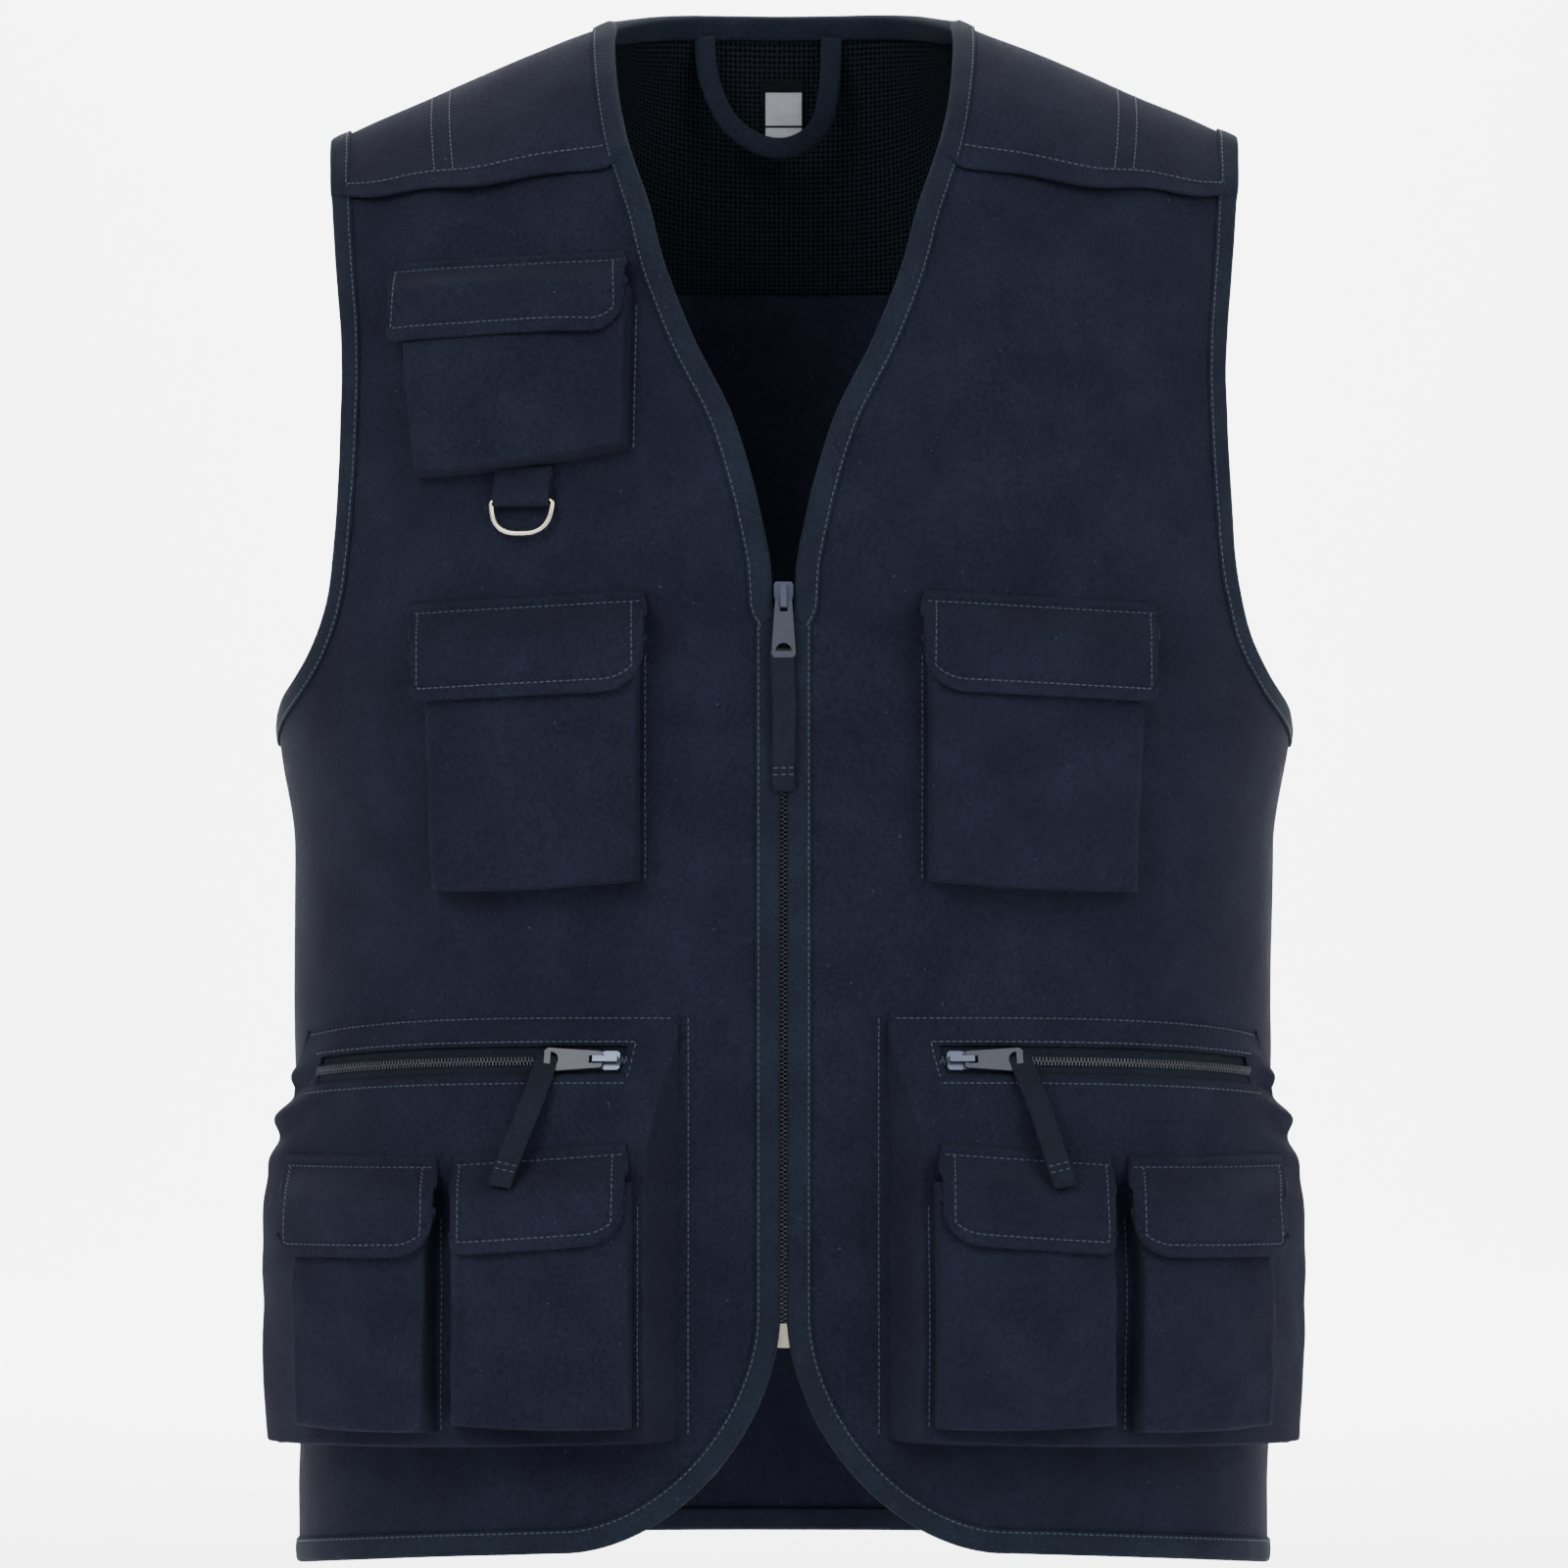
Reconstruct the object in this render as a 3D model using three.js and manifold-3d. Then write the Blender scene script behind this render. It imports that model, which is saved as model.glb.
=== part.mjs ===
// Utility work vest: navy cotton twill, bound edges, a front zip and nine pockets, filled out as it is worn.
// Millimetres. +Z is up, -Y is the front, +X is the wearer's left. The origin is between the shoulders, level
// with the shoulder line where the vest sits on its wearer.
import * as THREE from "three";
import { mergeVertices } from "three/addons/utils/BufferGeometryUtils.js";
import Module from "manifold-3d";

const wasm = await Module();
wasm.setup();

// Body: heights are drops below the origin, half widths from the centre line, depths from the side seams.
const ARMPIT_DROP = 316;
const HEM_DROP = 694.5;
const HEM_RISE = 20;
const CHEST_HALF = 227;
const WAIST_HALF = 220;
const HEM_HALF = 218.5;
const TAPER_HEIGHT = 55;
const FRONT_DEPTH = 134;
const BACK_DEPTH = 121;
const FRONT_HOLLOW = 6;
const BACK_HOLLOW = 12;
const BODY_POWER = 2.3;
const NECK_HALF = 77;
const SHOULDER_RUN_IN = 4;
const SHOULDER_LEVEL = -0.5;
const SHOULDER_SLOPE = 0.42;
const COLLAR_STAND = 69;
const BACK_NECK_RISE = 5;
const V_BASE_ABOVE_ARMPIT = 46;
const EDGE_GAP = 2.7;
const CORNER_WIDTH = 94;
const CORNER_HEIGHT = 100;
const CORNER_POWER = 1.8;

// Cloth, tape and clearances
const CLOTH = 1.1;
const BINDING_CLOTH = 1;
const BINDING_WIDTH = 9.5;
const LINING = 0.7;
const FLAP_CLOTH = 1.7;
const POUCH_CLOTH = 1.2;
const GAP = 0.35;
const TRIM_GAP = 0.25;
const SEAM_GAP = 0.15;
const FLAP_CLEARANCE = 1.3;
const SINK = 3;

// Zips: tapes and chain, slider with its bridge, puller and the cloth tape threaded through the puller.
// Along is measured from the puller's hinge, positive towards the puller's free end.
const TAPE_IN = 3;
const TAPE_OUT = 14.5;
const TAPE_BACK = -3.2;
const TAPE_FACE = -2.4;
const CHAIN_HALF = 2.7;
const CHAIN_BACK = -3.9;
const CHAIN_FACE = -1.7;
const SLIDER_FROM = -8.1;
const SLIDER_TO = 3.4;
const SLIDER_HALF = 4.2;
const SLIDER_FOOT_HALF = 2.9;
const SLIDER_Z = -262.6;
const SLIDER_BACK = -3.2;
const SLIDER_FACE = 0.8;
const BRIDGE_HALF = 1.3;
const BRIDGE_THICK = 1;
const PIN_HALF = 0.6;
const PIN_ROOM = 1.2;
const SLOT_END = 5.2;
const SLOT_HALF = 1.7;
const PULLER_END = 25.2;
const PULLER_TOP_HALF = 3.7;
const PULLER_END_HALF = 5.3;
const PULLER_THICK = 1.6;
const MOON_AT = 22.4;
const MOON_RADIUS = 3.6;
const PULL_TAPE = 0.7;
const PULL_TAPE_SLIP = 0.3;
const PULL_TAPE_HALF = 5.1;
const PULL_TAPE_THREAD = 2.9;
const MAIN_PULL_TAPE = 57;
const TAPE_END_ARC = 108;
const TAPE_END_Z = -516;
const POCKET_PULL_LEAN = 68;
const BOX_HALF = 2.6;
const BOX_HEIGHT = 10.5;
const BOX_THICK = 3.2;
const WINDOW_HEIGHT = 10.4;
const ZIP_BELOW_SEAM = 22;
const WINDOW_INSET = 18;
const POCKET_ZIP_MARGIN = 3.8;
const COIL_HALF = 2.6;
const SLIDER_INSET = 3;

// Tab under the upper pocket, and the D-ring that it holds
const TAB_ARC = 114.5;
const TAB_BAR_Z = -219;
const TAB_HALF = 12.75;
const TAB_RUN = 14;
const TAB_CLOTH = 1.2;
const RING_HALF = 14;
const RING_DROP = 14.75;
const RING_WIRE = 1.25;
const RING_ROOM = 0.4;

// Hanger loop and label inside the back neck
const LOOP_HALF = 4.9;
const LOOP_CLOTH = 1.2;
const LOOP_PATH = [
  { x: -37, z: -10.5 },
  { x: -34, z: -22 },
  { x: -25, z: -37 },
  { x: -12, z: -47 },
  { x: 3, z: -49 },
  { x: 16, z: -40 },
  { x: 21, z: -26 },
  { x: 22, z: -10.5 },
];
const LOOP_UP = -3.8;
const LOOP_BELLY = 3;
const LABEL_HALF = 9.5;
const LABEL_TOP = 13;
const LABEL_HEIGHT = 30;
const LABEL_THICK = 1.2;

// Yoke: where its free front edge leaves the binding and how far the wave in that edge stands off and dips
const YOKE_BACK_DROP = 112;
const YOKE_WAVE_DROP = 5;
const YOKE_WAVE_LIFT = 2.2;

// Pouches and flaps. Arcs are measured over the cloth from the centre front, drops and heights straight down.
const POUCH_LEAN = 4;
const POUCH_CROWN = 2;
const POUCH_FOOT = 1;
const POUCH_UNDER_FLAP = 17;
const FLAP_OVERHANG = 4;
const FLAP_RADIUS = 18;
const FLAP_DROOP = 1;
const FLAP_SINK = 1.2;

const UPPER_ARC = 66.5;
const UPPER_WIDTH = 109.5;
const UPPER_DROP = 108;
const UPPER_SLANT = 3.5;
const UPPER_HEIGHT = 88;
const UPPER_HANG = 11;
const UPPER_TAPER = 10;
const UPPER_FLAP = 39;
const UPPER_DEPTH = 11;

const CHEST_ARC = 59;
const CHEST_WIDTH = 102;
const CHEST_ABOVE_V = 12;
const CHEST_SLANT = 5;
const CHEST_HEIGHT = 126;
const CHEST_TAPER = 4;
const CHEST_FLAP = 44;
const CHEST_DEPTH = 13;

const BELLOWS_ARC = 45;
const BELLOWS_WIDTH = 194;
const BELLOWS_ABOVE_HEM = 66;
const BELLOWS_HEIGHT = 188;
const BELLOWS_DEPTH = 24;
const BELLOWS_LEAN = 12;
const BELLOWS_SIDE_LEAN = 2;
const BELLOWS_TUCK = 5;
const BELLOWS_CROWN = 2;
const BELLOWS_TOP_FALL = 11;
const BELLOWS_FALL = 7;

const SMALL_FLAP = 44;
const SMALL_FLAP_RADIUS = 16;
const SMALL_DEPTH = 13;
const INNER_POCKET = { arc: 64, width: 68, slant: 6, drop: 57, height: 124, pouchWidth: 70, pouchShift: -1 };
const OUTER_POCKET = { arc: 139, width: 66, slant: 2, drop: 64, height: 120, pouchWidth: 56, pouchShift: 5 };

// Columns of the front wall between its two bound edges, and of the back wall as shares from the centre
// to the neck point
const FRONT_COLUMNS = 5;
const NECK_SHARES = [0, 0.45, 0.76, 0.925, 0.985, 1];
const NECK_COLUMNS = NECK_SHARES.length - 1;

const RAD = Math.PI / 180;
const ARMPIT_Z = -ARMPIT_DROP;
const V_BASE_Z = ARMPIT_Z + V_BASE_ABOVE_ARMPIT;
const FRONT = -1;
const BACK = 1;

// Armhole edge: rise is the share of the armhole's height above the armpit, inset the degrees round from
// the side seam
const ARMHOLE = [
  { rise: 0, inset: 0 },
  { rise: 0.012, inset: 6 },
  { rise: 0.035, inset: 12.5 },
  { rise: 0.075, inset: 21 },
  { rise: 0.135, inset: 27.3 },
  { rise: 0.23, inset: 31.6 },
  { rise: 0.4, inset: 33.7 },
  { rise: 0.62, inset: 34.4 },
  { rise: 0.84, inset: 31.9 },
  { rise: 1, inset: 29.8 },
];

// V neckline: rise is the share of the way from the foot of the V to the neck point, spread the share of
// its half width
const NECKLINE = [
  { rise: 0, spread: 0 },
  { rise: 0.02, spread: 0.039 },
  { rise: 0.045, spread: 0.046 },
  { rise: 0.09, spread: 0.058 },
  { rise: 0.14, spread: 0.093 },
  { rise: 0.22, spread: 0.16 },
  { rise: 0.33, spread: 0.289 },
  { rise: 0.45, spread: 0.509 },
  { rise: 0.57, spread: 0.68 },
  { rise: 0.67, spread: 0.776 },
  { rise: 0.757, spread: 0.88 },
  { rise: 0.83, spread: 0.945 },
  { rise: 0.9, spread: 0.98 },
  { rise: 0.955, spread: 0.996 },
  { rise: 1, spread: 1 },
];

// Rows of the front wall above the armpit: the neckline's rise at one end and the armhole's at the other
const FRONT_ROWS = [
  { neck: 0, armhole: 0.012 },
  { neck: 0.02, armhole: 0.035 },
  { neck: 0.09, armhole: 0.075 },
  { neck: 0.2, armhole: 0.135 },
  { neck: 0.33, armhole: 0.23 },
  { neck: 0.45, armhole: 0.4 },
  { neck: 0.57, armhole: 0.62 },
  { neck: 0.68, armhole: 0.84 },
  { neck: 0.757, armhole: 0.896 },
  { neck: 0.83, armhole: 0.94 },
  { neck: 0.9, armhole: 0.97 },
  { neck: 0.955, armhole: 0.99 },
  { neck: 1, armhole: 1 },
];
const YOKE_FRONT_ROW = 8;

// Rows of the back wall above the armpit: share of the way to the yoke seam, or above it from the seam to
// the top, and the armhole's rise. The two rows at the seam are placed by its drop.
const BACK_ROWS = [
  { share: 0.11, armhole: 0.012 },
  { share: 0.22, armhole: 0.035 },
  { share: 0.34, armhole: 0.075 },
  { share: 0.47, armhole: 0.135 },
  { share: 0.61, armhole: 0.25 },
  { share: 0.75, armhole: 0.42 },
  { share: 0.88, armhole: 0.6 },
  { share: 1, armhole: 0 },
  { share: 1, armhole: 0 },
  { share: 0.3, armhole: 0.9 },
  { share: 0.55, armhole: 0.955 },
  { share: 0.76, armhole: 0.99 },
  { share: 1, armhole: 1 },
];
const YOKE_BACK_ROW = 8;
const YOKE_SEAM_ALLOWANCE = 9;

// Rows of both walls below the armpit: height above the hem, and on the front edge how far round the
// corner it is
const LOWER_ROWS = [
  { height: 0, turn: 90 },
  { height: BINDING_WIDTH, turn: 83 },
  { height: 24, turn: 66 },
  { height: 42, turn: 48 },
  { height: 64, turn: 30 },
  { height: 88, turn: 14 },
  { height: 118, turn: 0 },
  { height: 182, turn: 0 },
  { height: 246, turn: 0 },
  { height: 310, turn: 0 },
];
const ROW_UNDER_ARMPIT = 26;

const COLOUR = {
  twill: 0x1f2331,
  binding: 0x232a37,
  zip: 0x171a22,
  puller: 0x4d5262,
  nickel: 0xd8cfba,
  lining: 0x14181f,
  label: 0x1b1d22,
};
const FINISH = {
  twill: { color: COLOUR.twill, roughness: 0.92, metalness: 0 },
  binding: { color: COLOUR.binding, roughness: 0.88, metalness: 0 },
  zip: { color: COLOUR.zip, roughness: 0.6, metalness: 0 },
  puller: { color: COLOUR.puller, roughness: 0.45, metalness: 0.4 },
  nickel: { color: COLOUR.nickel, roughness: 0.2, metalness: 1 },
  lining: { color: COLOUR.lining, roughness: 0.9, metalness: 0 },
  label: { color: COLOUR.label, roughness: 0.7, metalness: 0 },
};

const vest = new THREE.Group();

function add(name, geometry, finish) {
  const mesh = new THREE.Mesh(geometry, new THREE.MeshStandardMaterial(FINISH[finish]));
  mesh.name = name;
  vest.add(mesh);
}

const mix = (a, b, t) => a + (b - a) * t;

// Smooth step from 0 to 1
function ease(t) {
  const s = THREE.MathUtils.clamp(t, 0, 1);
  return s * s * (3 - 2 * s);
}

// Catmull-Rom value of a table's column at a place along another of its columns
function lookUp(table, from, to, at) {
  const last = table.length - 1;
  let i = table.findIndex((row) => row[from] >= at) - 1;
  if (i < 0) i = at <= table[0][from] ? 0 : last - 1;
  const a = table[i];
  const b = table[i + 1];
  const before = table[Math.max(i - 1, 0)];
  const after = table[Math.min(i + 2, last)];
  const span = b[from] - a[from];
  const t = THREE.MathUtils.clamp((at - a[from]) / span, 0, 1);
  const slopeA = ((b[to] - before[to]) / (b[from] - before[from])) * span;
  const slopeB = ((after[to] - a[to]) / (after[from] - a[from])) * span;
  const t2 = t * t;
  const t3 = t2 * t;
  return (
    (2 * t3 - 3 * t2 + 1) * a[to] +
    (t3 - 2 * t2 + t) * slopeA +
    (3 * t2 - 2 * t3) * b[to] +
    (t3 - t2) * slopeB
  );
}

// Torso form

function halfWidth(z) {
  const under = ARMPIT_Z - z;
  const waist = ease(under / TAPER_HEIGHT);
  const skirt = THREE.MathUtils.clamp((under - TAPER_HEIGHT) / (HEM_DROP - ARMPIT_DROP - TAPER_HEIGHT), 0, 1);
  return CHEST_HALF + (WAIST_HALF - CHEST_HALF) * waist + (HEM_HALF - WAIST_HALF) * skirt;
}

// Height of the shoulder line. Between the neck points it carries on up as the line the neck is cut from.
function shoulderZ(x) {
  const start = NECK_HALF + SHOULDER_RUN_IN;
  const across = Math.abs(x);
  const stand = Math.pow(Math.max(0, 1 - Math.pow(across / start, 3)), 2.2);
  const run = across < start ? ((across * across) / start - start) / 2 : across - start;
  return SHOULDER_LEVEL - SHOULDER_SLOPE * run + COLLAR_STAND * stand;
}

function depthAt(z, side) {
  const down = THREE.MathUtils.clamp((ARMPIT_Z - z) / (HEM_DROP - ARMPIT_DROP), 0, 1);
  const hollow = Math.pow(Math.sin(Math.PI * down), 2);
  return side < 0 ? FRONT_DEPTH - FRONT_HOLLOW * hollow : BACK_DEPTH - BACK_HOLLOW * hollow;
}

// A place on the form has an angle round from the centre line, 0 to 90 degrees at the side seam, and a level:
// millimetres below the armpit as a negative number, or degrees up from it to 90 at the shoulder line.
function formPoint(angle, level, side) {
  const sine = Math.sin(angle * RAD);
  const cosine = Math.cos(angle * RAD);
  const reach = Math.pow(
    Math.pow(Math.abs(sine), BODY_POWER) + Math.pow(Math.abs(cosine), BODY_POWER),
    -1 / BODY_POWER,
  );
  const low = Math.min(level, 0);
  const x = halfWidth(ARMPIT_Z + low) * reach * sine;
  const up = Math.max(level, 0) * RAD;
  const z = ARMPIT_Z + low + (shoulderZ(x) - ARMPIT_Z) * Math.sin(up);
  const y = side * depthAt(ARMPIT_Z + low, side) * reach * cosine * Math.cos(up);
  return new THREE.Vector3(x, y, z);
}

function slopes(angle, level, side) {
  const e = 0.02;
  const along = formPoint(angle + e, level, side).sub(formPoint(angle - e, level, side)).divideScalar(2 * e);
  const up = formPoint(angle, level + e, side).sub(formPoint(angle, level - e, side)).divideScalar(2 * e);
  return { along, up };
}

function formNormal(angle, level, side) {
  const { along, up } = slopes(angle, level, side);
  return along.cross(up).multiplyScalar(-side).normalize();
}

function spot(angle, level, side) {
  return { angle, level, side, p: formPoint(angle, level, side), n: formNormal(angle, level, side) };
}

function angleOf(x, z) {
  const share = Math.min(Math.abs(x) / halfWidth(z), 0.99999);
  const cotangent = Math.pow(Math.pow(share, -BODY_POWER) - 1, 1 / BODY_POWER);
  return x === 0 ? 0 : Math.atan2(1, cotangent) / RAD;
}

function levelOf(x, z) {
  const above = z - ARMPIT_Z;
  return above <= 0 ? above : Math.asin(Math.min(above / (shoulderZ(x) - ARMPIT_Z), 1)) / RAD;
}

function spotOfXZ(x, z, side) {
  return spot(angleOf(x, z), levelOf(x, z), side);
}

// Walks over the form from a spot, a distance along a direction, and lands on the form again
function walk(from, direction, distance) {
  const target = from.p.clone().addScaledVector(direction, distance);
  let { angle, level } = from;
  for (let i = 0; i < 6; i++) {
    const miss = target.clone().sub(formPoint(angle, level, from.side));
    const { along, up } = slopes(angle, level, from.side);
    const aa = along.dot(along);
    const ab = along.dot(up);
    const bb = up.dot(up);
    const am = along.dot(miss);
    const bm = up.dot(miss);
    const det = aa * bb - ab * ab;
    angle += (am * bb - bm * ab) / det;
    level += (bm * aa - am * ab) / det;
  }
  return spot(angle, level, from.side);
}

// Angle at an arc length round from the centre front at one height
function angleAtArc(arc, z) {
  const steps = 60;
  let last = formPoint(0, levelOf(0, z), FRONT);
  let length = 0;
  for (let i = 1; i <= steps; i++) {
    const angle = (90 * i) / steps;
    const x = formPoint(angle, Math.min(z - ARMPIT_Z, 0), FRONT).x;
    const next = formPoint(angle, levelOf(x, z), FRONT);
    const step = next.distanceTo(last);
    if (length + step >= arc) return (90 * (i - 1 + (arc - length) / step)) / steps;
    length += step;
    last = next;
  }
  return 90;
}

// A point of the front at an arc length from the centre and a height, held off the form by a distance
function frontPoint(arc, z, off) {
  const angle = angleAtArc(arc, z);
  const x = formPoint(angle, Math.min(z - ARMPIT_Z, 0), FRONT).x;
  const place = spot(angle, levelOf(x, z), FRONT);
  return place.p.addScaledVector(place.n, off);
}

// Closed walls from nets of cells, and closed solids from rings

function closed(points, triangles) {
  const geometry = new THREE.BufferGeometry();
  const flat = new Float32Array(points.length * 3);
  points.forEach((point, i) => point.toArray(flat, i * 3));
  geometry.setAttribute("position", new THREE.BufferAttribute(flat, 3));
  geometry.setIndex(triangles.flat());
  const merged = mergeVertices(geometry, 1e-3);
  const at = merged.attributes.position;
  const index = merged.index.array;
  const kept = [];
  let volume = 0;
  const a = new THREE.Vector3();
  const b = new THREE.Vector3();
  const c = new THREE.Vector3();
  for (let i = 0; i < index.length; i += 3) {
    const [i0, i1, i2] = [index[i], index[i + 1], index[i + 2]];
    if (i0 === i1 || i1 === i2 || i2 === i0) continue;
    a.fromBufferAttribute(at, i0);
    b.fromBufferAttribute(at, i1);
    c.fromBufferAttribute(at, i2);
    volume += a.dot(b.cross(c));
    kept.push([i0, i1, i2]);
  }
  merged.setIndex((volume < 0 ? kept.map(([i0, i1, i2]) => [i0, i2, i1]) : kept).flat());
  return merged;
}

const offForm = (height) => (corner) => corner.p.clone().addScaledVector(corner.n, height);

// A wall over four-cornered cells, from a low face to a high face, with a rim wherever a cell has no
// neighbour. Each cell is cut along its shorter diagonal, so walls over the same cells stay parallel.
function wall(cells, low, high) {
  const ids = new Map();
  const corners = [];
  const idOf = (corner) => {
    if (!ids.has(corner)) {
      ids.set(corner, corners.length);
      corners.push(corner);
    }
    return ids.get(corner);
  };
  const faces = [];
  for (const [a, b, c, d] of cells) {
    const [i, j, k, l] = [a, b, c, d].map(idOf);
    const longer = a.p.distanceTo(c.p) - b.p.distanceTo(d.p);
    const lowest = Math.min(a.p.z, b.p.z, c.p.z, d.p.z);
    const alike = Math.abs(longer) < 1e-3 && Math.min(a.p.z, c.p.z) > lowest;
    if (longer < 1e-3 && !alike) faces.push([i, j, k], [i, k, l]);
    else faces.push([i, j, l], [j, k, l]);
  }
  const count = corners.length;
  const points = [...corners.map(low), ...corners.map(high)];
  const edges = new Map();
  const triangles = [];
  for (const [i, j, k] of faces) {
    triangles.push([i, k, j], [i + count, j + count, k + count]);
    for (const [from, to] of [[i, j], [j, k], [k, i]]) {
      if (edges.has(`${to} ${from}`)) edges.delete(`${to} ${from}`);
      else edges.set(`${from} ${to}`, [from, to]);
    }
  }
  for (const [from, to] of edges.values()) {
    triangles.push([from, to, to + count], [from, to + count, from + count]);
  }
  return closed(points, triangles);
}

function cellsOf(rows) {
  const cells = [];
  for (let i = 0; i + 1 < rows.length; i++) {
    for (let j = 0; j + 1 < rows[i].length; j++) {
      cells.push([rows[i][j], rows[i][j + 1], rows[i + 1][j + 1], rows[i + 1][j]]);
    }
  }
  return cells;
}

// A solid through rings of points. The section gives the ring's outline in the flat, for the two ends.
function loft(rings, section, loop) {
  const size = section.length;
  const points = rings.flat();
  const triangles = [];
  const spans = loop ? rings.length : rings.length - 1;
  for (let i = 0; i < spans; i++) {
    const here = i * size;
    const next = ((i + 1) % rings.length) * size;
    for (let j = 0; j < size; j++) {
      const k = (j + 1) % size;
      const across = points[here + j].distanceTo(points[next + k]);
      const other = points[here + k].distanceTo(points[next + j]);
      if (across <= other + 1e-6) {
        triangles.push([here + j, here + k, next + k], [here + j, next + k, next + j]);
      } else {
        triangles.push([here + j, here + k, next + j], [here + k, next + k, next + j]);
      }
    }
  }
  if (!loop) {
    const end = (rings.length - 1) * size;
    for (const [a, b, c] of THREE.ShapeUtils.triangulateShape(section, [])) {
      triangles.push([a, c, b], [end + a, end + b, end + c]);
    }
  }
  return closed(points, triangles);
}

function solidOf(geometry) {
  const plain = geometry.index ? geometry.clone() : geometry;
  for (const name of Object.keys(plain.attributes)) if (name !== "position") plain.deleteAttribute(name);
  const merged = mergeVertices(plain, 1e-3);
  return new wasm.Manifold(
    new wasm.Mesh({
      numProp: 3,
      vertProperties: new Float32Array(merged.attributes.position.array),
      triVerts: new Uint32Array(merged.index.array),
    }),
  );
}

function geometryOf(solid) {
  const { numProp, vertProperties, triVerts } = solid.getMesh();
  const count = vertProperties.length / numProp;
  const flat = new Float32Array(count * 3);
  for (let i = 0; i < count; i++) flat.set(vertProperties.subarray(i * numProp, i * numProp + 3), i * 3);
  const geometry = new THREE.BufferGeometry();
  geometry.setAttribute("position", new THREE.BufferAttribute(flat, 3));
  geometry.setIndex([...triVerts]);
  return geometry;
}

// Cuts a piece back from each solid it seats on, and keeps its largest body
function cutBack(geometry, ...solids) {
  let made = solidOf(geometry);
  for (const solid of solids) made = made.subtract(solid);
  const bodies = made.decompose();
  bodies.sort((a, b) => b.volume() - a.volume());
  return geometryOf(bodies[0]);
}

function mirrored(geometry) {
  const flipped = geometry.clone();
  flipped.scale(-1, 1, 1);
  const index = [...flipped.index.array];
  for (let i = 0; i < index.length; i += 3) [index[i + 1], index[i + 2]] = [index[i + 2], index[i + 1]];
  flipped.setIndex(index);
  return flipped;
}

// Made once on the wearer's left, and turned over for the right
function addPair(name, geometry, finish) {
  add(`${name}_left`, geometry, finish);
  add(`${name}_right`, mirrored(geometry), finish);
}

// Edges of the body

function hemZ(angle, side) {
  const rise = side < 0 ? HEM_RISE * Math.pow(Math.max(Math.cos(angle * RAD), 0), 1.3) : 0;
  return -HEM_DROP + rise;
}

function lowerSpot(angle, height, side) {
  const share = height / (HEM_DROP - ARMPIT_DROP);
  const z = hemZ(angle, side) * (1 - share) + ARMPIT_Z * share;
  return spot(angle, z - ARMPIT_Z, side);
}

function armholeSpot(rise, side) {
  const roots = ARMHOLE.map((row) => ({ root: Math.sqrt(row.rise), inset: row.inset }));
  const angle = 90 - lookUp(roots, "root", "inset", Math.sqrt(rise));
  const tipAngle = 90 - ARMHOLE[ARMHOLE.length - 1].inset;
  const tip = formPoint(tipAngle, 90, side).z;
  const x = formPoint(angle, 0, side).x;
  const z = ARMPIT_Z + (tip - ARMPIT_Z) * rise;
  return spot(angle, rise >= 1 ? 90 : levelOf(x, z), side);
}

const NECK_POINT_Z = shoulderZ(NECK_HALF);

function necklineSpot(rise) {
  const x = EDGE_GAP + (NECK_HALF - EDGE_GAP) * lookUp(NECKLINE, "rise", "spread", rise);
  const z = V_BASE_Z + (NECK_POINT_Z - V_BASE_Z) * rise;
  return rise >= 1 ? spot(angleOf(NECK_HALF, 0), 90, FRONT) : spotOfXZ(x, z, FRONT);
}

const CORNER_TOP_Z = -HEM_DROP + HEM_RISE + CORNER_HEIGHT;

function cornerSpot(turn) {
  const round = 2 / CORNER_POWER;
  const x = EDGE_GAP + CORNER_WIDTH * (1 - Math.pow(Math.max(Math.cos(turn * RAD), 0), round));
  const foot = hemZ(angleOf(EDGE_GAP + CORNER_WIDTH, -HEM_DROP), FRONT);
  const z = CORNER_TOP_Z - (CORNER_TOP_Z - foot) * Math.pow(Math.sin(turn * RAD), round);
  return spotOfXZ(x, z, FRONT);
}

// Spots one binding's width in from an edge, square to it. The edge runs so that the cloth lies on the
// given hand.
function inward(edge, i, hand) {
  const before = edge[Math.max(i - 1, 0)];
  const after = edge[Math.min(i + 1, edge.length - 1)];
  const along = after.p.clone().sub(before.p).normalize();
  const across = edge[i].n.clone().cross(along).multiplyScalar(hand).normalize();
  return walk(edge[i], across, BINDING_WIDTH);
}

const between = (a, b, t, side) => spot(mix(a.angle, b.angle, t), mix(a.level, b.level, t), side);

// Half way along the straight line between two spots, where a binding's leg turns a corner of the net
function midway(a, b, side) {
  const middle = between(a, b, 0.5, side);
  middle.p = a.p.clone().lerp(b.p, 0.5);
  middle.n = a.n.clone().add(b.n).normalize();
  return middle;
}

// Front wall, wearer's left: rows from the hem up to the shoulder, columns from the zip edge out to the
// side seam and the armhole

const LOWER = LOWER_ROWS.length;
const ARMPIT_ROW = LOWER + 1;
const TOP_ROW = ARMPIT_ROW + FRONT_ROWS.length;
const straightTop = HEM_DROP - HEM_RISE - CORNER_HEIGHT - (ARMPIT_DROP + ROW_UNDER_ARMPIT);

const frontEdge = [];
LOWER_ROWS.forEach((row, i) => {
  if (row.turn > 0 || LOWER_ROWS[i - 1].turn > 0) {
    frontEdge.push(cornerSpot(row.turn));
    return;
  }
  const firstStraight = LOWER_ROWS.findIndex((r) => r.turn === 0);
  const share = (i - firstStraight) / (LOWER - firstStraight);
  frontEdge.push(spotOfXZ(EDGE_GAP, CORNER_TOP_Z + straightTop * share, FRONT));
});
frontEdge.push(spotOfXZ(EDGE_GAP, ARMPIT_Z - ROW_UNDER_ARMPIT, FRONT));
frontEdge.push(spotOfXZ(EDGE_GAP, ARMPIT_Z, FRONT));
FRONT_ROWS.forEach((row) => frontEdge.push(necklineSpot(row.neck)));

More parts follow.
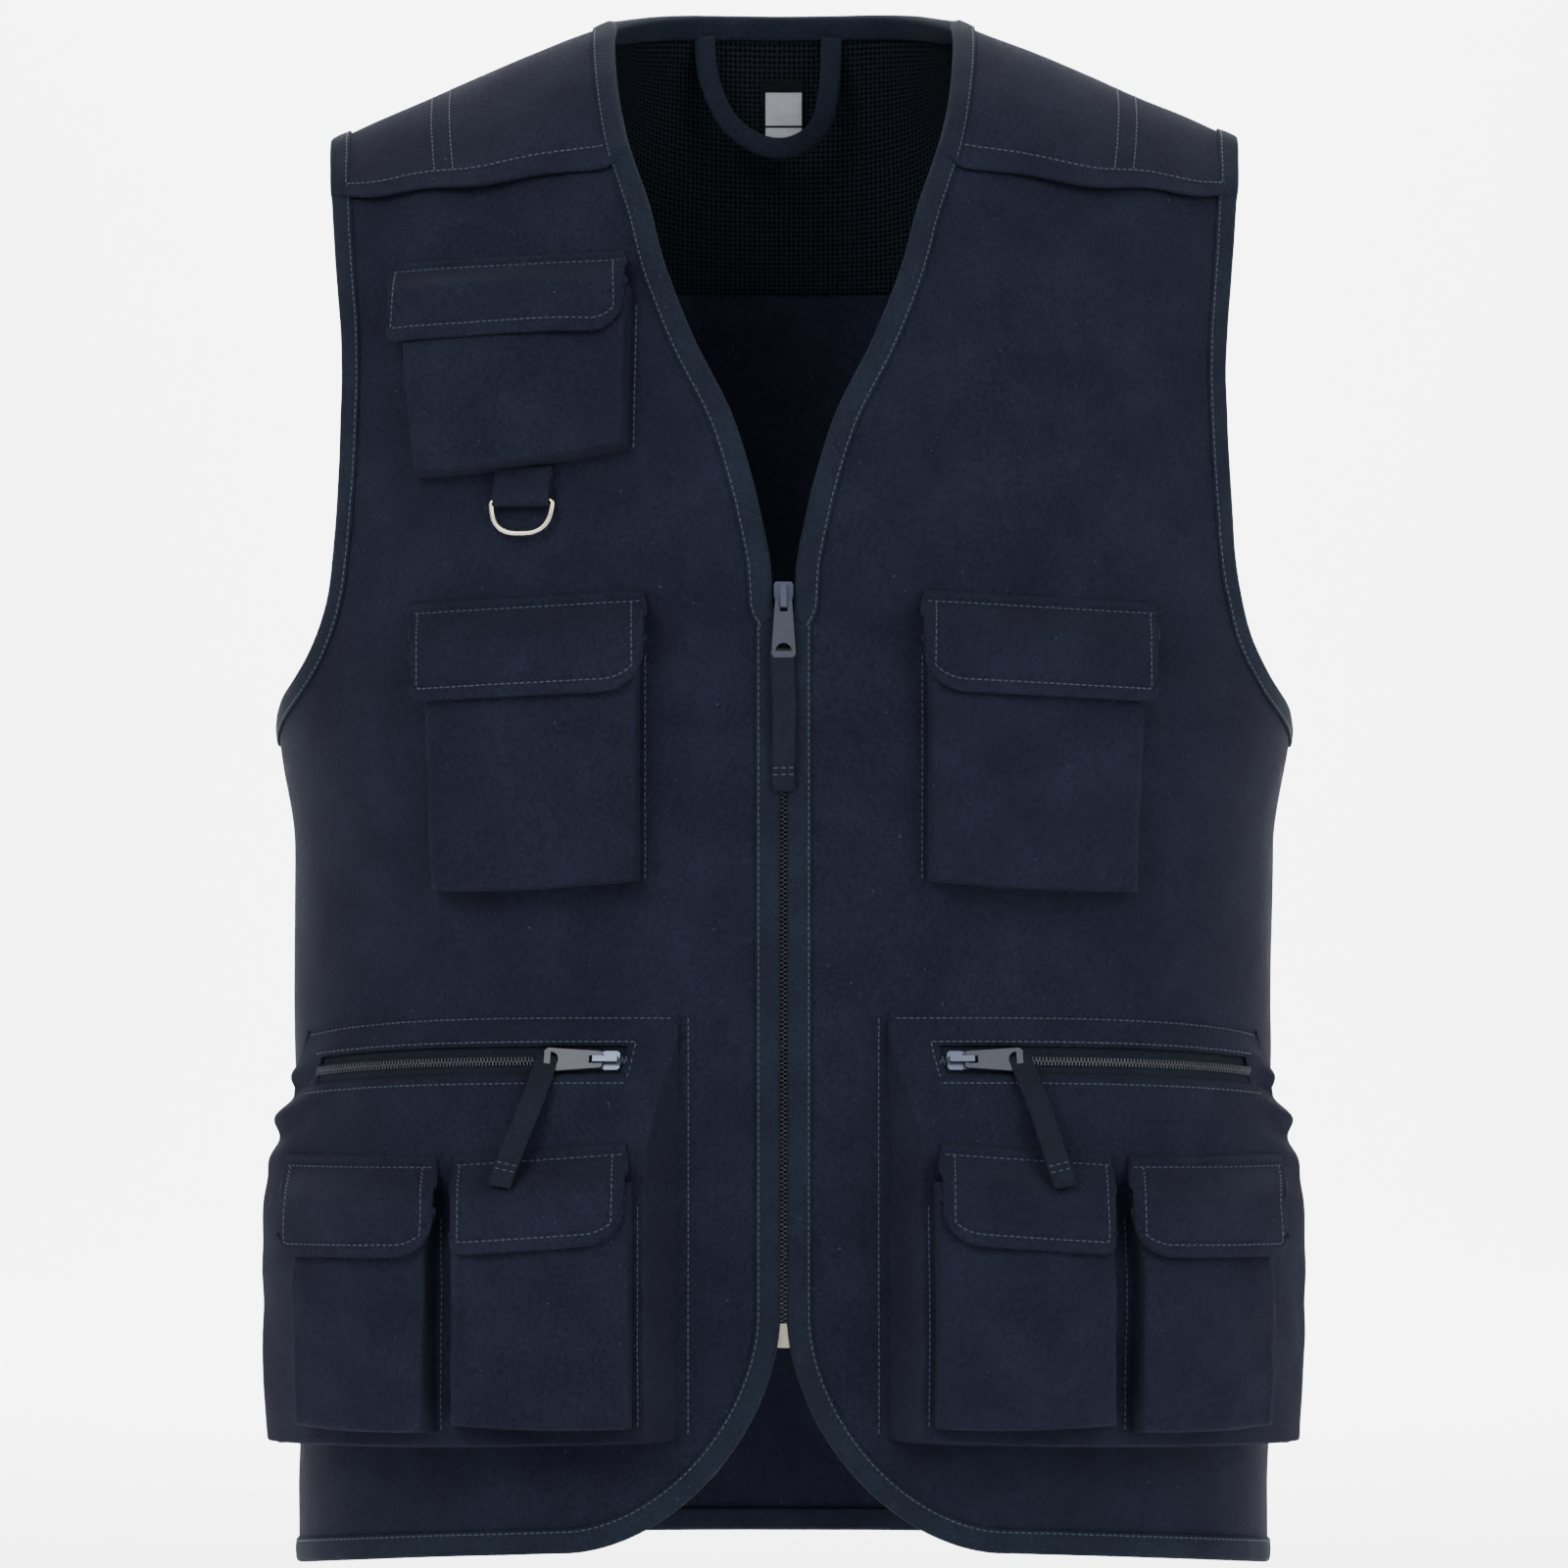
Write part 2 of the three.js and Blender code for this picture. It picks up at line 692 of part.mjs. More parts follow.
const frontInner = frontEdge.map((edge, i) => inward(frontEdge, i, -1));
frontInner[ARMPIT_ROW + 1] = walk(frontEdge[ARMPIT_ROW + 1], new THREE.Vector3(1, 0, 0), BINDING_WIDTH);
const downShoulder = new THREE.Vector3(1, 0, -SHOULDER_SLOPE).normalize();
frontInner[TOP_ROW] = walk(frontEdge[TOP_ROW], downShoulder, BINDING_WIDTH);
frontInner[TOP_ROW] = spot(frontInner[TOP_ROW].angle, 90, FRONT);
const cornerInner = inward(frontEdge, 0, -1);

function armholeRun(rows, side) {
  const edge = [spot(90, 0, side), ...rows.map((row) => armholeSpot(row.armhole, side))];
  const inner = edge.map((_, i) => inward(edge, i, side * FRONT));
  inner[0] = spot(90, -BINDING_WIDTH, side);
  const last = edge.length - 1;
  const tip = walk(edge[last], downShoulder.clone().negate(), BINDING_WIDTH);
  inner[last] = spot(tip.angle, 90, side);
  return { edge, inner };
}

const frontArmhole = armholeRun(FRONT_ROWS, FRONT);
const SEAM_COLUMN_ANGLE = 84.5;

function frontRows() {
  const rows = [];
  for (let r = 0; r <= TOP_ROW; r++) {
    const row = [frontEdge[r]];
    const first = frontInner[r];
    let near;
    let last;
    if (r < LOWER) {
      near = lowerSpot(SEAM_COLUMN_ANGLE, LOWER_ROWS[r].height, FRONT);
      last = lowerSpot(90, LOWER_ROWS[r].height, FRONT);
    } else if (r === LOWER) {
      near = spot(SEAM_COLUMN_ANGLE, -ROW_UNDER_ARMPIT * 0.75, FRONT);
      last = frontArmhole.inner[0];
    } else if (r === ARMPIT_ROW) {
      near = midway(frontArmhole.inner[0], frontArmhole.inner[1], FRONT);
      last = frontArmhole.edge[0];
    } else {
      near = frontArmhole.inner[r - ARMPIT_ROW];
      last = frontArmhole.edge[r - ARMPIT_ROW];
    }
    for (let j = 0; j <= FRONT_COLUMNS; j++) {
      if (r === 0) {
        const start = frontEdge[0].angle;
        const lead = start + (near.angle - start) * 0.03;
        const angle = lead + ((near.angle - lead) * j) / FRONT_COLUMNS;
        row.push(lowerSpot(angle, 0, FRONT));
      } else if (r === 1) {
        row.push(j === 0 ? cornerInner : lowerSpot(rows[0][j + 1].angle, BINDING_WIDTH, FRONT));
      } else {
        row.push(between(first, near, j / FRONT_COLUMNS, FRONT));
      }
    }
    row.push(last);
    rows.push(row);
  }
  return rows;
}

const FRONT_NET = frontRows();

// Back wall, wearer's left half: columns from the centre back out; the first few end at the neckline

const neckAngle = angleOf(NECK_HALF, 0);
const besideNeck = spot(frontInner[TOP_ROW].angle, 90, BACK);

function backNeckSpot(angle) {
  if (angle >= neckAngle) return spot(angle, 90, BACK);
  const x = formPoint(angle, 0, BACK).x;
  const z = NECK_POINT_Z + BACK_NECK_RISE * (1 - Math.pow(x / NECK_HALF, 2));
  return spot(angle, levelOf(x, z), BACK);
}

const tipZ = formPoint(90 - ARMHOLE[ARMHOLE.length - 1].inset, 90, BACK).z;
const riseOf = (z) => (z - ARMPIT_Z) / (tipZ - ARMPIT_Z);
BACK_ROWS[YOKE_BACK_ROW - 1].armhole = riseOf(-YOKE_BACK_DROP - YOKE_SEAM_ALLOWANCE);
BACK_ROWS[YOKE_BACK_ROW].armhole = riseOf(-YOKE_BACK_DROP);

// Level of a column of the back wall at one of its rows above the armpit
function backLevel(i, angle) {
  const x = formPoint(angle, 0, BACK).x;
  const { share } = BACK_ROWS[i];
  const drop = i === YOKE_BACK_ROW - 1 ? YOKE_BACK_DROP + YOKE_SEAM_ALLOWANCE : YOKE_BACK_DROP;
  const seam = levelOf(x, -drop);
  return i > YOKE_BACK_ROW ? mix(seam, backNeckSpot(angle).level, share) : seam * share;
}

const backArmhole = armholeRun(BACK_ROWS, BACK);
const yokeBackStart = ARMPIT_ROW + 1 + YOKE_BACK_ROW;

function backRows() {
  const columns = NECK_COLUMNS + FRONT_COLUMNS + 2;
  const rows = [];
  for (let r = 0; r <= TOP_ROW; r++) {
    let near;
    let last;
    if (r < LOWER) {
      near = lowerSpot(SEAM_COLUMN_ANGLE, LOWER_ROWS[r].height, BACK);
      last = lowerSpot(90, LOWER_ROWS[r].height, BACK);
    } else if (r === LOWER) {
      near = spot(SEAM_COLUMN_ANGLE, -ROW_UNDER_ARMPIT * 0.75, BACK);
      last = backArmhole.inner[0];
    } else if (r === ARMPIT_ROW) {
      near = midway(backArmhole.inner[0], backArmhole.inner[1], BACK);
      last = backArmhole.edge[0];
    } else {
      near = backArmhole.inner[r - ARMPIT_ROW];
      last = backArmhole.edge[r - ARMPIT_ROW];
    }
    const row = [];
    for (let j = 0; j < columns; j++) {
      const beside = (j - NECK_COLUMNS - 1) / FRONT_COLUMNS;
      const outAngle = mix(besideNeck.angle, near.angle, beside);
      const topAngle = j <= NECK_COLUMNS ? neckAngle * NECK_SHARES[j] : outAngle;
      const evenAngle = (near.angle * j) / (columns - 1);
      const angle = mix(evenAngle, topAngle, THREE.MathUtils.clamp((r - TOP_ROW + 3) / 2, 0, 1));
      const out = THREE.MathUtils.clamp(
        (angle - besideNeck.angle) / (near.angle - besideNeck.angle),
        0,
        1,
      );
      if (j === columns - 1) {
        row.push(near);
      } else if (r < LOWER) {
        row.push(lowerSpot(angle, LOWER_ROWS[r].height, BACK));
      } else if (r <= ARMPIT_ROW) {
        const flat = r === LOWER ? -ROW_UNDER_ARMPIT : 0;
        row.push(spot(angle, flat + (near.level - flat) * Math.pow(out, 6), BACK));
      } else {
        const seamRow = Math.abs(r - yokeBackStart + 0.5) < 1;
        const level = backLevel(r - ARMPIT_ROW - 1, angle);
        row.push(spot(angle, seamRow ? level : mix(level, near.level, out), BACK));
      }
    }
    row.push(last);
    rows.push(row);
  }
  // One binding's width under the neckline, and half way round the turn at the neck point
  const neckEdge = rows[TOP_ROW].slice(0, NECK_COLUMNS + 1);
  for (let j = 1; j < NECK_COLUMNS; j++) {
    rows[TOP_ROW - 1][j] = inward(neckEdge, j, 1);
  }
  rows[TOP_ROW - 1][0] = walk(neckEdge[0], new THREE.Vector3(0, 0.35, -1).normalize(), BINDING_WIDTH);
  rows[TOP_ROW - 1][0] = spot(0, rows[TOP_ROW - 1][0].level, BACK);
  rows[TOP_ROW - 1][NECK_COLUMNS] = midway(rows[TOP_ROW - 1][NECK_COLUMNS - 1], besideNeck, BACK);
  return rows;
}

const BACK_NET = backRows();

// The same spot on the wearer's right, kept so that shared corners stay shared
const turned = new Map();
function turn(corner) {
  if (Math.abs(corner.p.x) < 1e-6) return corner;
  if (!turned.has(corner)) {
    const p = corner.p.clone();
    const n = corner.n.clone();
    p.x *= -1;
    n.x *= -1;
    turned.set(corner, { ...corner, p, n });
  }
  return turned.get(corner);
}
const turnCells = (cells) => cells.map(([a, b, c, d]) => [turn(b), turn(a), turn(d), turn(c)]);
const turnRung = (rung) => ({ ...rung, edge: turn(rung.edge), inner: turn(rung.inner) });

// Side and shoulder seams: the two walls meet face to face at the seam with a hair between them
const atSeam = (height, gap) => (corner) => {
  const point = offForm(height)(corner);
  const clear = corner.side * gap;
  if (Math.abs(corner.p.y) < 0.01) point.y = clear;
  return point;
};

const frontCells = cellsOf(FRONT_NET);
const backCells = [...cellsOf(BACK_NET), ...turnCells(cellsOf(BACK_NET))];

addPair("front_panel", wall(frontCells, atSeam(0, SEAM_GAP), atSeam(CLOTH, SEAM_GAP)), "twill");
add("back_panel", wall(backCells, atSeam(0, SEAM_GAP), atSeam(CLOTH, SEAM_GAP)), "twill");

// What the front panel takes up, with clearance: pockets are cut back from it
const frontBed = solidOf(wall(frontCells, atSeam(-4 * SINK, -SEAM_GAP), atSeam(CLOTH + GAP, -SEAM_GAP)));

// Shoulder yoke: over both shoulders and the upper back in one piece, its front edges free and wavy

const YOKE_LOW = CLOTH + GAP;
const YOKE_HIGH = YOKE_LOW + CLOTH;
const yokeTop = ARMPIT_ROW + 1 + YOKE_FRONT_ROW;

function yokeCells() {
  const sameBehind = (corner) => BACK_NET[TOP_ROW][FRONT_NET[TOP_ROW].indexOf(corner) + NECK_COLUMNS];
  const shared = (corner) => (Math.abs(corner.p.y) < 0.01 ? sameBehind(corner) : corner);
  const rows = FRONT_NET.slice(yokeTop).map((row) => row.map(shared));
  const last = rows[0].length - 1;
  rows[0] = rows[0].map((corner, j) => {
    const wave = Math.sin((Math.PI * j) / last) * (1 + 0.35 * Math.cos((j * Math.PI * 5) / last));
    const down = j > 1 && j < last - 1 ? wave : 0;
    const dipped = walk(corner, new THREE.Vector3(0, -0.45, -1).normalize(), YOKE_WAVE_DROP * down);
    return { ...dipped, lift: YOKE_WAVE_LIFT * down };
  });
  const front = cellsOf(rows);
  const back = cellsOf(BACK_NET.slice(yokeBackStart));
  // Rows run up the front and down the back, so the back cells are turned over to match
  const half = [...front, ...back.map(([a, b, c, d]) => [b, a, d, c])];
  return [...half, ...turnCells(half)];
}

const offYoke = (height) => (corner) => offForm(height + (corner.lift ?? 0))(corner);
add("shoulder_yoke", wall(yokeCells(), offYoke(YOKE_LOW), offYoke(YOKE_HIGH)), "twill");

// Bindings: a folded strip round an edge, its two legs on either side of what it holds

// The channel's corners in order, and where each lies in its section laid flat
const CHANNEL = {
  innerTopIn: new THREE.Vector2(9, 3),
  innerTopOut: new THREE.Vector2(9, 4),
  edgeTopOut: new THREE.Vector2(-1, 4),
  edgeLowOut: new THREE.Vector2(-1, -1),
  innerLowOut: new THREE.Vector2(9, -1),
  innerLowIn: new THREE.Vector2(9, 0),
  edgeLowIn: new THREE.Vector2(0, 0),
  edgeTopIn: new THREE.Vector2(0, 3),
};

function channelRing({ edge, inner, top, low }) {
  const out = edge.p.clone().sub(inner.p).normalize();
  const at = (corner, height, beyond) => offForm(height)(corner).addScaledVector(out, beyond);
  const skin = BINDING_CLOTH;
  const made = {
    innerTopIn: at(inner, top, 0),
    innerTopOut: at(inner, top + skin, 0),
    edgeTopOut: at(edge, top + skin, GAP + skin),
    edgeLowOut: at(edge, low - skin, GAP + skin),
    innerLowOut: at(inner, low - skin, 0),
    innerLowIn: at(inner, low, 0),
    edgeLowIn: at(edge, low, GAP),
    edgeTopIn: at(edge, top, GAP),
  };
  return Object.keys(CHANNEL).map((name) => made[name]);
}

const channel = (rungs, loop) => loft(rungs.map(channelRing), Object.values(CHANNEL), loop);

const ONE_CLOTH = CLOTH + GAP;
const TWO_CLOTHS = YOKE_HIGH + GAP;
const LINED = -GAP - LINING - GAP;

// Armhole: up the front edge, over the shoulder and down the back edge to where it began
function armholeRungs() {
  const rungs = [];
  frontArmhole.edge.forEach((edge, i) => {
    const top = i >= YOKE_FRONT_ROW + 1 ? TWO_CLOTHS : ONE_CLOTH;
    rungs.push({ edge, inner: frontArmhole.inner[i], top, low: -GAP });
  });
  for (let i = backArmhole.edge.length - 2; i > 0; i--) {
    const top = i >= YOKE_BACK_ROW + 1 ? TWO_CLOTHS : ONE_CLOTH;
    rungs.push({ edge: backArmhole.edge[i], inner: backArmhole.inner[i], top, low: -GAP });
  }
  return rungs;
}
const frontTrim = solidOf(wall(frontCells, offForm(-TRIM_GAP), offForm(CLOTH + TRIM_GAP)));
const backTrim = solidOf(wall(backCells, offForm(-TRIM_GAP), offForm(CLOTH + TRIM_GAP)));
addPair("armhole_binding", cutBack(channel(armholeRungs(), true), frontTrim, backTrim), "binding");

// Neck: up one side of the V, round the back and down the other side
function neckRungs() {
  const half = [];
  for (let r = ARMPIT_ROW + 1; r <= TOP_ROW; r++) {
    const yoked = r >= yokeTop;
    const low = r >= TOP_ROW - 1 ? LINED : -GAP;
    half.push({ edge: frontEdge[r], inner: frontInner[r], top: yoked ? TWO_CLOTHS : ONE_CLOTH, low });
  }
  for (let j = NECK_COLUMNS - 1; j >= 0; j--) {
    half.push({ edge: BACK_NET[TOP_ROW][j], inner: BACK_NET[TOP_ROW - 1][j], top: TWO_CLOTHS, low: LINED });
  }
  const other = half.slice(0, -1).map(turnRung);
  return [...half, ...other.reverse()];
}
const yokeBed = solidOf(wall(yokeCells(), offYoke(YOKE_LOW - TRIM_GAP), offYoke(YOKE_HIGH + TRIM_GAP)));
add("neck_binding", cutBack(channel(neckRungs(), false), yokeBed), "binding");

// Front: along the hem from the side seam, round the corner and up the zip edge to the foot of the V
function frontBindingRungs() {
  const rungs = [];
  for (let j = FRONT_NET[0].length - 1; j >= 1; j--) {
    rungs.push({ edge: FRONT_NET[0][j], inner: FRONT_NET[1][j], top: ONE_CLOTH, low: -GAP });
  }
  rungs.push({ edge: frontEdge[0], inner: cornerInner, top: ONE_CLOTH, low: -GAP });
  rungs.push({ edge: frontEdge[1], inner: cornerInner, top: ONE_CLOTH, low: -GAP });
  for (let r = 2; r <= ARMPIT_ROW; r++) {
    rungs.push({ edge: frontEdge[r], inner: frontInner[r], top: ONE_CLOTH, low: -GAP });
  }
  const foot = frontEdge[ARMPIT_ROW + 1];
  const under = spotOfXZ(EDGE_GAP, foot.p.z - GAP, FRONT);
  const beside = walk(under, new THREE.Vector3(1, 0, 0), BINDING_WIDTH);
  rungs.push({ edge: under, inner: beside, top: ONE_CLOTH, low: -GAP });
  return rungs;
}
const seamClear = (geometry, clear) => {
  const at = geometry.attributes.position;
  for (let i = 0; i < at.count; i++) if (Math.abs(at.getY(i)) < SEAM_GAP) at.setY(i, clear);
  return geometry;
};
addPair("front_binding", seamClear(channel(frontBindingRungs(), false), -SEAM_GAP), "binding");

function backHemRungs() {
  const half = BACK_NET[0].map((edge, j) => ({ edge, inner: BACK_NET[1][j], top: ONE_CLOTH, low: -GAP }));
  const other = half.slice(1).map(turnRung);
  return [...other.reverse(), ...half];
}
add("back_hem_binding", seamClear(channel(backHemRungs(), false), SEAM_GAP), "binding");

// Mesh lining inside the upper back, under the neck
function liningCells() {
  const rows = BACK_NET.slice(yokeBackStart, TOP_ROW + 1).map((row) => row.slice(0, NECK_COLUMNS + 1));
  const half = cellsOf(rows);
  return [...half, ...turnCells(half)];
}
add("mesh_lining", wall(liningCells(), offForm(-GAP - LINING), offForm(-GAP)), "lining");

// Pouches: a front wall held off the cloth by gussets at both sides and the bottom, open behind, at its seat

// Corners of one face of a pouch. Shrink takes the outer face in by the cloth's thickness to give the inner
// face. The pocket's own functions give, for each height, the arc of its two sides, how far it stands off
// and its sag.
function pouchNet(pocket, shrink) {
  const { stations, levels, inner, outer, off, bed } = pocket;
  const low = (arc, z) => bed(arc, z) - SINK;
  const rows = levels.map((share, i) => {
    const last = i === levels.length - 1;
    const zAt = (arcShare) => pocket.z(share, arcShare) + (last ? shrink : 0);
    const near = inner(share) + shrink;
    const far = outer(share) - shrink;
    const row = [];
    const nearFoot = near - pocket.innerLean(share);
    const farFoot = far + pocket.outerLean(share);
    row.push(frontPoint(nearFoot, zAt(0), low(nearFoot, zAt(0))));
    stations.forEach((s) => {
      const arc = near + (far - near) * s;
      const z = zAt(s);
      row.push(frontPoint(arc, z, bed(arc, z) + off(share, s) - shrink));
    });
    row.push(frontPoint(farFoot, zAt(1), low(farFoot, zAt(1))));
    return row;
  });
  const share = levels[levels.length - 1];
  const near = inner(share) + shrink;
  const far = outer(share) - shrink;
  const foot = (arc, s) => {
    const z = pocket.z(share, s) + shrink - pocket.footDrop;
    return frontPoint(arc, z, low(arc, z));
  };
  rows.push([
    foot(near - pocket.innerLean(share), 0),
    ...stations.map((s) => foot(near + (far - near) * s, s)),
    foot(far + pocket.outerLean(share), 1),
  ]);
  return rows;
}

// Pairs the outer and inner faces of a pouch into cells with a low and a high point
function pouchCells(pocket, outset, inset) {
  const high = pouchNet(pocket, -outset);
  const low = pouchNet(pocket, inset);
  const rows = high.map((row, i) => row.map((point, j) => ({ p: point, high: point, low: low[i][j], i, j })));
  const open = ([corner]) => pocket.open && outset === 0 && pocket.open(corner.i, corner.j);
  return cellsOf(rows).filter((cell) => !open(cell));
}
const lowFace = (corner) => corner.low;
const highFace = (corner) => corner.high;
const pouchWall = (pocket) => wall(pouchCells(pocket, 0, POUCH_CLOTH), lowFace, highFace);

// Flap: sewn down along its top edge, lying over the pouch, with its free lower corners rounded
function flapWall(flap) {
  const { inner, outer, stations, bed, off } = flap;
  const rows = flap.levels.map((share) =>
    stations.map((s) => {
      const arc = inner + (outer - inner) * s;
      const corner = flap.corner(s);
      const z = flap.top(s) - share * (flap.height(s) - corner);
      const up = bed(arc, z) + off(share, s);
      return {
        p: frontPoint(arc, z, up),
        low: frontPoint(arc, z, up),
        high: frontPoint(arc, z, up + FLAP_CLOTH),
      };
    }),
  );
  return wall(cellsOf(rows), lowFace, highFace);
}

// Rounded lower corner of a flap: how much shorter it is near an end, with a quarter circle of the radius
const roundedEnd = (width, radius) => (s) => {
  const fromEnd = s * width;
  return fromEnd >= radius ? 0 : radius - Math.sqrt(radius * radius - Math.pow(radius - fromEnd, 2));
};

const onBody = () => 0;

// Chest pockets

function plainPouch({ inner, outer, taper, top, bottom, depth, bed, sag }) {
  return {
    stations: [0, 0.3, 0.7, 1],
    levels: [0, 0.4, 0.8, 1],
    inner: (share) => inner + taper.inner * share,
    outer: (share) => outer - taper.outer * share,
    innerLean: () => POUCH_LEAN,
    outerLean: () => POUCH_LEAN,
    off: (share, s) => depth * mix(0.78, 1, ease(share / 0.5)) + POUCH_CROWN * Math.sin(Math.PI * s),
    z: (share, s) => mix(top(s), bottom(s), share) - sag * Math.sin(Math.PI * s) * share,
    bed,
    footDrop: POUCH_FOOT,
  };
}

const FLAP_STATIONS = [0, 0.04, 0.11, 0.21, 0.6, 0.96, 1];
const FLAP_LEVELS = [0, 0.14, 0.3, 0.5, 1];

function plainFlap({ inner, outer, top, height, depth, bed, radius, outerRadius }) {
  const width = outer - inner;
  const near = roundedEnd(width, radius);
  const far = roundedEnd(width, outerRadius);
  return {
    inner,
    outer,
    stations: FLAP_STATIONS,
    levels: FLAP_LEVELS,
    corner: (s) => near(s) + far(1 - s),
    top,
    height: () => height,
    off: (share, s) => {
      const edge = Math.pow(Math.abs(2 * s - 1), 6);
      const over = depth + FLAP_CLEARANCE + POUCH_CROWN * Math.sin(Math.PI * s) - FLAP_DROOP * edge;
      return mix(-FLAP_SINK, over, ease(share / 0.42));
    },
    bed,
  };
}

const slanted = (a, b) => (s) => mix(a, b, s);

// Upper chest pocket, made on the wearer's left and turned over, since only the right has one
const upper = {
  pouch: plainPouch({
    inner: UPPER_ARC + FLAP_OVERHANG,
    outer: UPPER_ARC + UPPER_WIDTH - FLAP_OVERHANG,
    taper: { inner: 0, outer: UPPER_TAPER },
    top: slanted(-UPPER_DROP - POUCH_UNDER_FLAP, -UPPER_DROP - POUCH_UNDER_FLAP - UPPER_SLANT),
    bottom: slanted(-UPPER_DROP - UPPER_HEIGHT, -UPPER_DROP - UPPER_HEIGHT - UPPER_HANG),
    depth: UPPER_DEPTH,
    bed: onBody,
    sag: 2,
  }),
  flap: plainFlap({
    inner: UPPER_ARC,
    outer: UPPER_ARC + UPPER_WIDTH,
    top: slanted(-UPPER_DROP, -UPPER_DROP - UPPER_SLANT),
    height: UPPER_FLAP,
    depth: UPPER_DEPTH,
    bed: onBody,
    radius: FLAP_RADIUS,
    outerRadius: 3,
  }),
};
add("upper_pouch", mirrored(cutBack(pouchWall(upper.pouch), frontBed)), "twill");
add("upper_flap", mirrored(cutBack(flapWall(upper.flap), frontBed)), "twill");

// Chest pockets, one on each side
const chestDrop = -V_BASE_Z - CHEST_ABOVE_V;
const chest = {
  pouch: plainPouch({
    inner: CHEST_ARC + FLAP_OVERHANG,
    outer: CHEST_ARC + CHEST_WIDTH - FLAP_OVERHANG,
    taper: { inner: 0, outer: CHEST_TAPER },
    top: slanted(-chestDrop - POUCH_UNDER_FLAP, -chestDrop - POUCH_UNDER_FLAP - CHEST_SLANT),
    bottom: slanted(-chestDrop - CHEST_HEIGHT, -chestDrop - CHEST_HEIGHT - CHEST_SLANT),
    depth: CHEST_DEPTH,
    bed: onBody,
    sag: 1,
  }),
  flap: plainFlap({
    inner: CHEST_ARC,
    outer: CHEST_ARC + CHEST_WIDTH,
    top: slanted(-chestDrop, -chestDrop - CHEST_SLANT),
    height: CHEST_FLAP,
    depth: CHEST_DEPTH,
    bed: onBody,
    radius: FLAP_RADIUS,
    outerRadius: 3,
  }),
};
addPair("chest_pouch", cutBack(pouchWall(chest.pouch), frontBed), "twill");
addPair("chest_flap", cutBack(flapWall(chest.flap), frontBed), "twill");

// Lower bellows pocket: sewn down along its top, with a zipped slot just under the seam, full below it

const bellowsTop = -HEM_DROP + BELLOWS_ABOVE_HEM + BELLOWS_HEIGHT;
const bellowsSpan = BELLOWS_WIDTH - BELLOWS_LEAN - BELLOWS_SIDE_LEAN;
const windowFrom = WINDOW_INSET / bellowsSpan;
const windowTo = 1 - WINDOW_INSET / bellowsSpan;
const lip = (at) => (ZIP_BELOW_SEAM + (at * WINDOW_HEIGHT) / 2) / BELLOWS_HEIGHT;

// How far the front stands off at each share of the pocket's height, as a share of its full depth
const BELLOWS_PROFILE = [
  { share: 0, off: -0.1 },
  { share: 0.04, off: 0.12 },
  { share: 0.09, off: 0.3 },
  { share: 0.15, off: 0.46 },
  { share: 0.27, off: 0.76 },
  { share: 0.42, off: 0.97 },
  { share: 0.7, off: 1.04 },
  { share: 1, off: 0.97 },
];
const bellowsOff = (share) => BELLOWS_DEPTH * lookUp(BELLOWS_PROFILE, "share", "off", share);
const bellows = {
  stations: [0, windowFrom, 0.32, 0.52, 0.72, windowTo, 1],
  levels: [0, lip(-1), lip(1), 0.27, 0.42, 0.7, 1],
  inner: (share) => BELLOWS_ARC + BELLOWS_LEAN * ease(share / 0.35),
  outer: (share) => BELLOWS_ARC + BELLOWS_WIDTH - BELLOWS_SIDE_LEAN * ease(share / 0.2),
  innerLean: (share) => BELLOWS_LEAN * ease(share / 0.35) * 0.9,
  outerLean: (share) => -BELLOWS_TUCK * ease(share / 0.2),
  off: (share, s) => bellowsOff(share) + BELLOWS_CROWN * Math.sin(Math.PI * s) * ease(share / 0.3),
  z: (share, s) => {
    const seam = bellowsTop - BELLOWS_TOP_FALL * Math.pow(s, 3);
    return mix(seam, bellowsTop - BELLOWS_HEIGHT - BELLOWS_FALL * s, share);
  },
  bed: onBody,
  footDrop: -2,
};
const windowRow = 1;
bellows.open = (i, j) => i === windowRow && j >= 2 && j <= bellows.stations.length - 2;
addPair("bellows_pouch", cutBack(pouchWall(bellows), frontBed), "twill");
const bellowsBed = solidOf(wall(pouchCells(bellows, GAP, 3 * SINK), lowFace, highFace));

// Height of the bellows front over the body at an arc and a height
function bellowsFront(arc, z) {
  const s = THREE.MathUtils.clamp((arc - BELLOWS_ARC - BELLOWS_LEAN) / bellowsSpan, 0, 1);
  const top = bellows.z(0, s);
  return bellows.off((top - z) / (top - bellows.z(1, s)), s);
}

function smallPocket({ arc, width, slant, drop, height, pouchWidth, pouchShift }) {
  const top = bellowsTop - drop;
  const from = arc + pouchShift;
  return {
    pouch: plainPouch({
      inner: from,
      outer: from + pouchWidth,
      taper: { inner: 0, outer: 0 },
      top: slanted(top - POUCH_UNDER_FLAP, top - POUCH_UNDER_FLAP - slant),
      bottom: slanted(top - height, top - height),
      depth: SMALL_DEPTH,
      bed: bellowsFront,
      sag: 1,
    }),
    flap: plainFlap({
      inner: arc,
      outer: arc + width,
      top: slanted(top, top - slant),
      height: SMALL_FLAP,
      depth: SMALL_DEPTH,
      bed: bellowsFront,
      radius: SMALL_FLAP_RADIUS,
      outerRadius: 3,
    }),
  };
}
const innerSmall = smallPocket(INNER_POCKET);
const outerSmall = smallPocket(OUTER_POCKET);
addPair("inner_pouch", cutBack(pouchWall(innerSmall.pouch), bellowsBed), "twill");
addPair("inner_flap", cutBack(flapWall(innerSmall.flap), bellowsBed), "twill");
addPair("outer_pouch", cutBack(pouchWall(outerSmall.pouch), bellowsBed), "twill");
addPair("outer_flap", cutBack(flapWall(outerSmall.flap), bellowsBed), "twill");

// Solids in a frame of their own: along, across and up from the cloth

